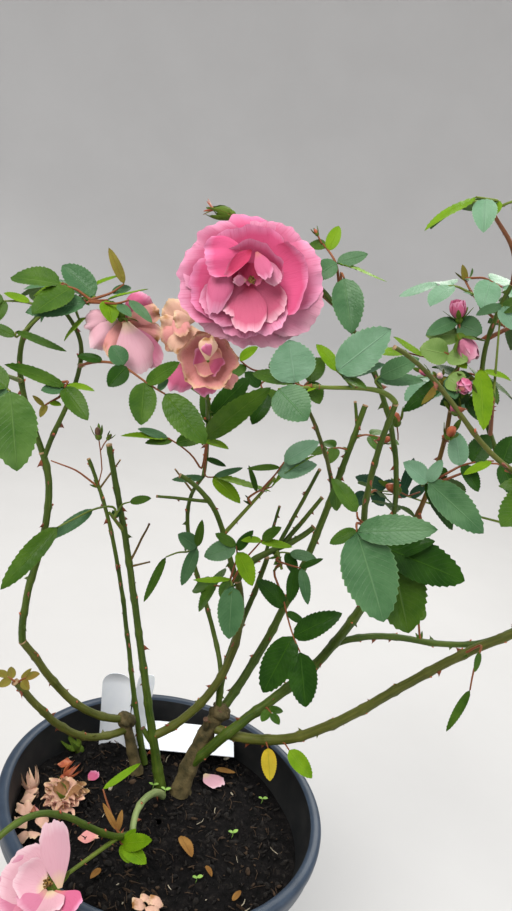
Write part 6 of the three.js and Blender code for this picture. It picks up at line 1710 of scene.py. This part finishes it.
def build_faded_blooms():
    shape = Shape()
    add_lobes(shape, LEFT_LOBES)
    centre, right, upward, front = view_frame([121, 320, -54])
    add_calyx(shape, (centre, right, front, -upward), 6, 5, 1.0)
    shape.build("faded_bloom_left_petals", "faded", "faded_bloom_left")
    shape = Shape()
    add_lobes(shape, HANGING_LOBES + CREAM_LOBES)
    cup = view_frame([208, 361, -74])
    for k in range(7):
        item = petal(k * 51 + 10, 13, [(1, -8), (15, -9), (18.5, 3 + k % 3)], wrap=22, round=0.2, frill=1.4,
                     notch=0.08, seed=k * 1.3, face="faded_face", back="faded_back")
        add_petal(shape, item, cup, 22, 25)
    for k in range(4):
        item = petal(k * 90 + 30, 8, [(1, -7), (8, -7), (10, 1 + k % 2)], wrap=12, round=0.25, frill=1.0,
                     seed=k * 2.1, face="petal_rose" if k % 2 else "faded_face", back="faded_back")
        add_petal(shape, item, cup, 18, 17)
    add_lobe(shape, [207, 360, -84], [209, 336, -84], 6, 5, "cream_face", frill=1.4)
    add_lobe(shape, [210, 356, -88], [205, 344, -92], 3.5, 3, "petal_rose", frill=0.8)
    add_calyx(shape, view_frame([200, 352, -50]), 6, 5, 1.0)
    shape.build("faded_bloom_right_petals", "faded", "faded_bloom_right")


LOW_PETALS = [
    petal(-104, 20, [(4, -1), (22, 2), (35, 4)], wrap=44, round=0.22, frill=1.6, face="petal_white"),
    petal(-130, 22, [(4, -1), (22, 0), (36, 3)], wrap=45, round=0.25, frill=1.6, face="petal_pale"),
    petal(-168, 20, [(4, -1), (22, 0), (34, 2)], wrap=45, round=0.25, frill=1.6, face="petal_pale"),
    petal(152, 20, [(4, -1), (22, 2), (34, 6)], wrap=40, round=0.25, frill=1.6, face="petal_back"),
    petal(118, 18, [(4, -1), (20, 1), (29, 3)], wrap=35, round=0.25, frill=1.8, face="petal_rose"),
    petal(-112, 14, [(3, 1), (14, 2), (23, 9)], wrap=26, round=0.25, frill=1.4, face="petal_white"),
    petal(190, 13, [(3, 0), (14, 2), (22, 9)], wrap=20, round=0.3, frill=1.4, face="petal_pale"),
    petal(140, 12, [(3, 0), (14, 2), (20, 8)], wrap=20, round=0.3, frill=1.4, face="petal_white"),
]


def build_low_bloom(sprays):
    frame = bloom_frame(stem_end(sprays, "low_bloom"), SPRAYS["low_bloom"]["bloom"][1:])
    shape = Shape()
    for item in LOW_PETALS:
        add_petal(shape, item, frame, rows=26, cols=33)
    add_lobe(shape, [60, 888, -146], [52, 820, -140], 9.5, 3, "petal_white", cup=-3, frill=0.8,
             back="petal_pale")
    add_stamens(shape, frame, 8, 30, 8)
    back = (frame[0] - frame[3] * 2, *frame[1:])
    add_calyx(shape, back, 8, 5, 0.9)
    shape.build("low_bloom_petals", "petal", "low_bloom")


def add_rose_bud(shape, end, facing, size):
    """A closed bud: its green cup and body, and sepals whose tips spread."""
    frame = bloom_frame(end, facing)
    centre, right, upward, front = frame
    wide = size * 0.36
    axes = [right * wide * 0.8, upward * wide * 0.8, front * size * 0.25]
    add_lump(shape, centre + front * size * 0.1, axes, "sepal", 0.03, 2, 12, 16)
    axes = [right * wide, upward * wide, front * size * 0.46]
    add_lump(shape, centre + front * size * 0.42, axes, "sepal", 0.05, 3, 14, 18)
    for k in range(5):
        end_of_sepal = (wide * (0.5 + 0.9 * ((k * 7) % 5) / 5), size * (0.98 + 0.14 * (k % 3)))
        profile = [(wide * 0.5, size * 0.12), (wide * 1.5, size * 0.5), end_of_sepal]
        item = petal(72 * k + 12, wide * 0.95, profile, wrap=wide * 1.1, round=0.7, notch=-0.3, full=0.3,
                     frill=0.4, face="sepal", back="sepal")
        add_petal(shape, item, frame, rows=16, cols=11)
        way = unit(front * 0.8 + right * math.cos(1.26 * k) * 0.6 + upward * math.sin(1.26 * k) * 0.6)
        tip = {"root": centre + front * size * 1.1, "along": way, "length": size * 0.75}
        tip["up"] = unit(np.cross(way, np.cross(front, way) + 0.01))
        add_leaflet(shape, tip, "bud_red" if k % 2 else "sepal", "bud_red", seeded_random(k + 4), broad=0.22)


TOP_BUD_HEADING = (186, 4)
TOP_BUD_SIZE = 11.5


def build_buds(sprays):
    shape = Shape()
    add_rose_bud(shape, stem_end(sprays, "top_bud"), TOP_BUD_HEADING, TOP_BUD_SIZE)
    shape.build("top_bud_sepals", "leaf", "top_bud")
    more = Shape()
    for stalk, wide, face, back in ROUND_BUDS:
        add_round_bud(more, stalk, wide, face, back)
    for stalk, size, look in SMALL_BUDS:
        add_small_bud(more, stalk, size, look)
    more.build("small_buds", "leaf")


ROUND_BUDS = [
    ([[461, 349, 10], [460, 334, 12], [459, 319, 12]], 6.4, "petal_face", "petal_rose"),
    ([[461, 349, 10], [458, 334, 8], [461, 339, 6]], 8.6, "petal_white", "petal_pale"),
    ([[482, 380, 6], [470, 378, 2], [467, 382, -4]], 6.0, "petal_pale", "petal_rose"),
]
SMALL_BUDS = [
    ([[446, 384, 2], [442, 380, -4], [441, 378, -8]], 9, "petal_white"),
    ([[446, 384, 2], [434, 376, -2], [429, 374, -6]], 11, "petal_rose"),
    ([[98, 486, 99], [102, 470, 98], [101, 455, 97], [99, 440, 97]], 12, "cut_dark"),
    ([[101, 450, 97], [104, 444, 96], [107, 440, 96]], 7, "cut_dark"),
    ([[462, 420, 14], [459, 418, 8], [457, 414, 4]], 13, "petal_rose"),
    ([[444, 446, 18], [446, 442, 10], [448, 438, 6]], 15, "bud_red"),
    ([[398, 440, 44], [398, 434, 38], [397, 426, 34]], 14, "bud_red"),
    ([[420, 492, 20], [408, 496, 14], [400, 492, 10]], 15, "bud_red"),
    ([[374, 440, 60], [378, 444, 52], [382, 442, 48]], 11, "bud_red"),
    ([[322, 244, -50], [320, 240, -50], [318, 236, -50]], 5, "bud_red"),
]


def bud_frame(shape, stalk, radius):
    """Draws a bud's stalk. Returns its end, the two ways across it and the way ahead."""
    points = Path([seen_spot(pixel) for pixel in stalk])
    add_tube(shape, points.point(np.linspace(0, 1, 9)), radius, 7, "stalk_red")
    forward = points.tangent(1)
    side = unit(np.cross(forward, UP + 0.01))
    return points.point(1), side, np.cross(forward, side), forward


def add_round_bud(shape, stalk, wide, face, back):
    """A fat bud that begins to open: petals wrapped over a ball, held by narrow sepals."""
    frame = bud_frame(shape, stalk, 0.8)
    foot, side, other, forward = frame
    axes = [side * wide * 0.85, other * wide * 0.85, forward * wide * 0.95]
    add_lump(shape, foot + forward * wide * 1.0, axes, back, 0.03, 3, 16, 20)
    for k in range(7):
        inner = k / 7
        profile = [(wide * 0.3, wide * 0.1), (wide * (1.1 - 0.1 * inner), wide * 1.0),
                   (wide * (0.6 - 0.3 * inner), wide * (2.0 + 0.15 * (k % 3)))]
        item = petal(GOLDEN_TURN * k, wide * (1.1 - 0.3 * inner), profile, wrap=wide * 1.3, round=0.3,
                     notch=0.05, frill=0.5, waves=4, face=face, back=back)
        add_petal(shape, item, frame, rows=10, cols=11)
    for turn in (0.3, 1.6, 2.9, 4.1, 5.4):
        way = side * math.cos(turn) + other * math.sin(turn)
        blade = {"root": foot + way * wide * 0.3, "along": unit(forward * 0.6 + way), "length": wide * 1.9}
        blade["up"] = unit(np.cross(blade["along"], np.cross(way, blade["along"]) + 0.01))
        add_leaflet(shape, blade, "sepal", "sepal", seeded_random(3), broad=0.3)
    axes = [side * wide * 0.45, other * wide * 0.45, forward * wide * 0.6]
    add_lump(shape, foot, axes, "sepal", 0.04, 3, 9, 12)


def add_small_bud(shape, stalk, size, look):
    """A young bud on its own short stalk: a green cup, a pointed tip and three narrow sepals."""
    tip, side, other, forward = bud_frame(shape, stalk, 0.6)
    wide = size * 0.27
    axes = [side * wide, other * wide, forward * wide * 1.1]
    add_lump(shape, tip + forward * wide, axes, "sepal", 0.04, 3, 9, 12)
    axes = [side * wide * 0.9, other * wide * 0.9, forward * size * 0.42]
    add_lump(shape, tip + forward * wide * 2.2, axes, look, 0.06, 4, 10, 12)
    for turn in (0, 2.1, 4.2):
        way = side * math.cos(turn) + other * math.sin(turn)
        root = tip + forward * wide + way * wide * 0.7
        blade = {"root": root, "along": unit(forward + way * 0.5), "length": size}
        blade["up"] = unit(np.cross(blade["along"], np.cross(way, blade["along"])))
        add_leaflet(shape, blade, "sepal", "sepal", seeded_random(3), broad=0.3)


# The pot, the compost and what lies on it

POT_SIDES = 192
DRAIN_HOLES = 6
DRAIN_RING = 74
CRUMBS = 1700
FIBRES = 150
FINE_TURN = 6.28318


def wall_radius(z):
    return BASE_RADIUS + (TOP_RADIUS - BASE_RADIUS) * z / POT_HEIGHT


def lathe(shape, profile, look):
    angle = full_turn(POT_SIDES)
    r, z = np.array(profile, float).T
    grid = np.stack([r[:, None] * np.cos(angle), r[:, None] * np.sin(angle), z[:, None] + 0 * angle], -1)
    shape.grid(grid, look, around=True)


def build_pot():
    shape = Shape()
    outside = [(0.5, 0), (78, 0), (84, 1.2), (90, 1.2), (94, 0), (96.5, 0.6), (BASE_RADIUS, 3)]
    outside += [(wall_radius(z), z) for z in (4, 30, 60, 90, 120, 150, 178)]
    outside += [(wall_radius(180) + 0.9, 180.5), (wall_radius(184) + 0.9, 184), (wall_radius(185), 185.2)]
    outside += [(wall_radius(z), z) for z in (195, 203)]
    rim = [(133.6, 203.6), (137.0, 204.2), (137.9, 205.5), (138.4, 212), (138.6, 214.4), (139.5, 215.2),
           (139.9, 216.4), (140, 220), (139.7, 222.6), (138.4, 224.3), (136.4, 225), (133.6, 225),
           (131.6, 224.4), (130.4, 223)]
    lathe(shape, outside + rim, "pot_plastic")
    inside = [(130.4, 223), (130, 220), (129.8, 214)]
    inside += [(wall_radius(z) - WALL, z) for z in (203, 195, 180, 120, 60, 8)] + [(90, 4), (0.5, 4)]
    lathe(shape, inside, "pot_inside")
    angle = full_turn(24)
    ring = np.stack([np.cos(angle), np.sin(angle), 0 * angle], -1)
    for k in range(DRAIN_HOLES):
        centre = heading(360 / DRAIN_HOLES * k + 30, 0) * DRAIN_RING
        steps = ((9.4, 0.05), (8.6, -0.0), (8.2, 0.3), (0.1, 0.35))
        grid = np.array([centre + ring * r + UP * z for r, z in steps])
        shape.grid(grid, "pot_inside", around=True, back=True)
    shape.build("pot_shell", "pot", "pot")


def soil_height(x, y):
    heave = np.sin(0.061 * x + 1) * np.cos(0.053 * y) + 0.5 * np.sin(0.13 * x + 0.11 * y)
    return SOIL_TOP - smooth(np.hypot(x + 5, y - 48), 66, 105) * (3.5 - 2.2 * heave)


def soil_spots(random, count, limit):
    angle = np.array([FINE_TURN * random() for _ in range(count)])
    radius = limit * np.sqrt([random() for _ in range(count)])
    x, y = radius * np.cos(angle), radius * np.sin(angle)
    return np.stack([x, y, soil_height(x, y)], -1)


def build_compost():
    shape = Shape()
    limit = wall_radius(SOIL_TOP) - WALL - 0.5
    radius = np.linspace(0.01, 1, 110) ** 0.8 * limit
    angle = full_turn(300)
    x, y = radius[:, None] * np.cos(angle), radius[:, None] * np.sin(angle)
    z = soil_height(x, y)
    flat = np.stack([x, y, 0 * x], -1)
    fade = smooth(limit - radius, 0, 6)[:, None]
    z = z + (0.9 * ripple(flat, 13, 1) + 0.9 * ripple(flat, 5.5, 2) + 0.5 * ripple(flat, 2.6, 3) - 0.8) * fade
    grid = np.stack([x, y, z], -1)
    skirt = grid[-1:].copy()
    skirt[..., 2] -= 12
    shape.grid(np.concatenate([grid, skirt]), "compost", around=True)
    random = seeded_random(77)
    for k, spot in enumerate(soil_spots(random, CRUMBS, limit - 5)):
        size = 0.7 + 2.2 * random() ** 3
        axes = np.array([heading(360 * random(), 40 * random()) * size * (1 + random()),
                         heading(360 * random(), 40 * random()) * size, UP * size * 0.7])
        look = "crumb_dark" if random() < 0.86 else "crumb_brown" if random() < 0.93 else "crumb_pale"
        add_lump(shape, spot + UP * 0.1, axes, look, 0.35, k, 4, 6)
    for spot in soil_spots(random, FIBRES, limit - 12):
        way, length = heading(360 * random(), 24 * random() - 6), 4 + 9 * random()
        bend = heading(360 * random(), 30) * length * 0.16
        points = np.array([spot - way * length / 2, spot + bend, spot + way * length / 2]) + UP * 0.9
        add_tube(shape, points, 0.2 + 0.2 * random(), 5, "crumb_brown" if random() < 0.94 else "crumb_pale")
    shape.build("compost_surface", "compost", "compost")


SHEET_THICK = 0.8


def label_sheet(shape, root, along, across, high, width, bow, roll=0.0, shoulder=0.4):
    """A bent plastic strip: rows from its root upwards, with rounded top corners."""
    rows = 1 - np.linspace(1, 0, 36) ** 1.6
    cols = np.linspace(-1, 1, 11)
    face = np.cross(along, across)
    rounding = np.sqrt(np.maximum(0, 1 - ((rows - 0.84) / 0.16).clip(0, 1) ** 2))
    corner = (1 - shoulder + shoulder * rounding)[:, None]
    bulge = bow * (4 * rows * (1 - rows))[:, None] * (1 - 0.3 * cols ** 2)
    bulge = bulge + roll * corner ** 2 * (1 - cols ** 2)
    grid = (root + along * (rows * high)[:, None, None] + across * (cols * width / 2 * corner)[..., None]
            + face * bulge[..., None])
    half = face * SHEET_THICK / 2
    shape.grid(grid + half, "label_plastic")
    shape.grid(grid - half, "label_plastic", back=True)
    rim = np.concatenate([grid[:, 0], grid[-1, 1:-1], grid[::-1, -1], grid[0, -2:0:-1]])
    shape.grid(np.stack([rim + half, rim - half]), "label_plastic", around=True)


TONGUE_FOOT = np.array([-62.0, 83.0, 190])
TONGUE_UP = unit(np.array([-0.13, 0.06, 0.99]))
TAG_FOOT = np.array([-43.5, 91.0, 190])
EYELET_FOOT = np.array([-45.5, 91.4, 190])
EYELET_HIGH = 56
PLATE_FOOT = np.array([10.0, 82.0, 203])


def build_label():
    """A rolled tongue, a flat tag with an eyelet beside it, and a plate that lies on the compost."""
    shape = Shape()
    level, upright = heading(8, 3), heading(100, 86)
    label_sheet(shape, TONGUE_FOOT, TONGUE_UP, heading(8, 2), 79, 29, 1.0, 5.0, 0.9)
    label_sheet(shape, TAG_FOOT, upright, level, 79, 17, -1.0)
    hole = EYELET_FOOT + upright * EYELET_HIGH
    face = np.cross(upright, level)
    # the hole is closed by a dark disc on each face: painted shade where the tag is open
    angle = full_turn(20)
    ring = level * np.cos(angle)[:, None] + upright * np.sin(angle)[:, None]
    steps = ((4.9, 0.5), (4.5, 1.7), (4.1, 1.6), (0.05, 1.5))
    for side in (-1, 1):
        grid = np.array([hole + ring * r + face * side * d for r, d in steps])
        shape.grid(grid, "pot_inside", around=True)
    label_sheet(shape, PLATE_FOOT, heading(98, 12), level, 36, 96, 1.5)
    shape.build("label_sheet", "label", "label")


def on_soil(across, down, lift=0.0):
    """The spot of the compost behind a pixel of the photograph."""
    way = seen_spot((across, down, 0.0)) - VIEW_FROM
    spot = VIEW_FROM + way * (SOIL_TOP - VIEW_FROM[2]) / way[2]
    inside = (wall_radius(SOIL_TOP) - WALL - 9) / math.hypot(spot[0], spot[1])
    spot[:2] *= min(1.0, inside)
    spot[2] = float(soil_height(spot[0], spot[1])) + lift
    return spot


LYING_PETALS = [
    ((204, 776), 320, 24, "petal_white"), ((88, 782), 60, 12, "petal_rose"), ((58, 762), 10, 13, "bud_red"),
    ((78, 838), 20, 17, "faded_face"), ((42, 812), 200, 12, "faded_face"),
]
CREAM_FLAKES = [(20, 800), (28, 812), (20, 824), (34, 834), (14, 836), (42, 822), (148, 898), (158, 902),
                (140, 905), (152, 908), (30, 792), (10, 812)]
SPENT_CALYXES = [((76, 748), 9, "sepal"), ((24, 786), 9, "cream_face"), ((62, 800), 9, "sepal"),
                 ((66, 778), 7, "bud_red")]
DRY_LEAVES = [((180, 838), 300, 26), ((215, 772), 5, 20), ((206, 866), 300, 12), ((100, 870), 250, 14),
              ((232, 902), 60, 12)]
WITHERED_AT = (-84, -12)
WITHERED_HEADING = (250, 78)
SEEDLINGS = [(152, 790), (164, 795), (232, 836), (262, 800), (196, 880)]


def build_litter():
    petals = Shape()
    for k, ((across, down), azimuth, length, look) in enumerate(LYING_PETALS):
        centre = on_soil(across, down, 2.4)
        frame = (centre, heading(azimuth + 90, 0), heading(azimuth, 0), UP)
        item = petal(0, length * 0.42, [(0, 0), (length * 0.5, -1.5), (length, 2.5)], wrap=length * 0.9,
                     cup=2, frill=1.2, seed=k + 2.0, face=look, back="petal_pale")
        add_petal(petals, item, frame)
    petals.build("fallen_petals", "petal", "fallen_petal")
    dry = Shape()
    centre = np.array([*WITHERED_AT, float(soil_height(*WITHERED_AT)) + 9])
    frame = bloom_frame(centre, WITHERED_HEADING)
    add_faded(dry, frame, 40, 41, 13, ["cream_face", "withered_face"], -0.12)
    add_calyx(dry, frame, 6, 5, 0.8, "withered_face")
    dry.build("withered_bloom_petals", "withered", "withered_bloom")
    bits = Shape()
    random = seeded_random(19)
    for k, (across, down) in enumerate(CREAM_FLAKES):
        turn = heading(360 * random(), 20)
        frame = (on_soil(across, down, 3.5), unit(np.cross(turn, UP)), turn, unit(UP - turn * turn[2]))
        item = petal(0, 6, [(-5, 0), (2, 4), (8, 1)], wrap=9, cup=-2, frill=1.8, seed=k * 1.7,
                     face="cream_face", back="withered_face")
        add_petal(bits, item, frame, rows=14, cols=15)
    for (across, down), size, look in SPENT_CALYXES:
        add_calyx(bits, bloom_frame(on_soil(across, down, 5.0), (360 * random(), 50)), size, 6, 0.35, look)
    for (across, down), azimuth, length in DRY_LEAVES:
        blade = {"root": on_soil(across, down, 2.5), "along": heading(azimuth, 8), "length": length}
        blade["up"] = unit(UP - heading(azimuth, 8) * 0.14)
        add_leaflet(bits, blade, "leaf_dry", "leaf_dry", random, broad=0.4)
    for across, down in SEEDLINGS:
        root = on_soil(across, down)
        add_tube(bits, np.array([root, root + [0.5, 0, 3], root + [0.3, 0.2, 6]]), 0.35, 6, "seedling")
        for turn in (0, 180):
            way = heading(turn + 40 * random(), 24)
            blade = {"root": root + [0.3, 0.2, 6], "along": way, "up": unit(UP - way * way[2]), "length": 5.0}
            add_leaflet(bits, blade, "seedling", "seedling", random, broad=0.7)
    bits.build("litter_bits", "withered")


def build_all():
    sprigs, sprays = grow()
    groups = {"leaves_left": LEFT_SPRAYS, "leaves_middle": MIDDLE_SPRAYS, "leaves_right": RIGHT_SPRAYS}
    shapes = {piece: Shape() for piece in groups}
    leaves_of = {name: shapes[piece] for piece, names in groups.items() for name in names}
    leaves_of.update({name: shapes["leaves_middle"] for name in BLOOM_SPRAYS})
    twigs = Shape()
    build_limbs(sprigs, shapes["leaves_left"])
    build_sprays(sprays, leaves_of, twigs)
    for piece, names in groups.items():
        shapes[piece].build(piece, "leaf", *names)
    twigs.build("twigs_and_stalks", "cane")
    build_main_bloom(sprays)
    build_faded_blooms()
    build_low_bloom(sprays)
    build_buds(sprays)
    build_pot()
    build_compost()
    build_label()
    build_litter()


build_all()


# Stage, lights and camera

FLAT_RADIUS = 1.7
BEND_RADIUS = 2.2
WALL_HEIGHT = 3.7
FLOOR_SIDES = 96
SKY = (0.84, 0.86, 0.90, 1)


def build_stage():
    """A pale floor that curves up into a wall all round, and an even sky."""
    turn = full_turn(FLOOR_SIDES)
    ring = np.stack([np.cos(turn), np.sin(turn), np.zeros(FLOOR_SIDES)], -1)
    bend = np.linspace(0, math.pi / 2, 24)
    radii = np.concatenate([[0.02, 0.6, 1.2], FLAT_RADIUS + BEND_RADIUS * np.sin(bend),
                            [FLAT_RADIUS + BEND_RADIUS]])
    heights = np.concatenate([[0, 0, 0], BEND_RADIUS * (1 - np.cos(bend)), [WALL_HEIGHT]])
    spots = (ring * radii[:, None, None] + UP * heights[:, None, None]).reshape(-1, 3)
    faces = [tuple(range(FLOOR_SIDES - 1, -1, -1))]
    for row in range(0, len(spots) - FLOOR_SIDES, FLOOR_SIDES):
        for k in range(FLOOR_SIDES):
            after = (k + 1) % FLOOR_SIDES
            faces.append((row + k, row + after, row + FLOOR_SIDES + after, row + FLOOR_SIDES + k))
    data = bpy.data.meshes.new("floor")
    data.from_pydata(spots.tolist(), [], faces)
    data.polygons.foreach_set("use_smooth", [True] * len(data.polygons))
    floor = new_object("floor", data)
    plain_look("floor_paper", (0.50, 0.49, 0.48), (0.52, 0.51, 0.50), 3.0, 0.9, 0.05)
    floor.data.materials.append(looks["floor_paper"])
    world = bpy.data.worlds.new("studio")
    bpy.context.scene.world = world
    world.use_nodes = True
    background = world.node_tree.nodes["Background"]
    background.inputs["Color"].default_value = SKY
    background.inputs["Strength"].default_value = 1.0
    bpy.context.scene.view_settings.view_transform = "Standard"


def add_light(name, place, aim, size, power, colour):
    data = bpy.data.lights.new(name, "AREA")
    data.shape, data.size, data.energy, data.color = "DISK", size, power, colour
    light = new_object(name, data)
    light.location = place
    light.rotation_euler = (Vector(aim) - Vector(place)).to_track_quat("-Z", "Y").to_euler()


# Name, place, aim, diameter, power and colour, in metres and watts
LIGHTS = [
    ("key", (-0.9, -1.3, 2.2), (0, 0, 0.45), 1.6, 66, (1.0, 0.98, 0.95)),
    ("fill", (1.4, -0.6, 1.3), (0, 0, 0.45), 1.8, 16, (0.92, 0.96, 1.0)),
    ("back", (0.5, 1.6, 1.9), (0, 0, 0.5), 1.6, 34, (1.0, 0.99, 0.94)),
]
SENSOR = 36
NEAR_CLIP = 0.02


def build_camera():
    """The photograph's camera: looking along +Y and a little down, and rolled."""
    data = bpy.data.cameras.new("camera")
    data.sensor_width = SENSOR
    data.sensor_fit = "AUTO"
    data.lens = FOCAL_PX / PHOTO_HIGH * SENSOR
    data.clip_start = NEAR_CLIP
    camera = new_object("camera", data)
    basis = Matrix((VIEW_RIGHT, -VIEW_DOWN, -VIEW_AHEAD)).transposed().to_4x4()
    camera.matrix_world = Matrix.Translation(VIEW_FROM * MM) @ basis
    bpy.context.scene.camera = camera


build_stage()
for light in LIGHTS:
    add_light(*light)
build_camera()
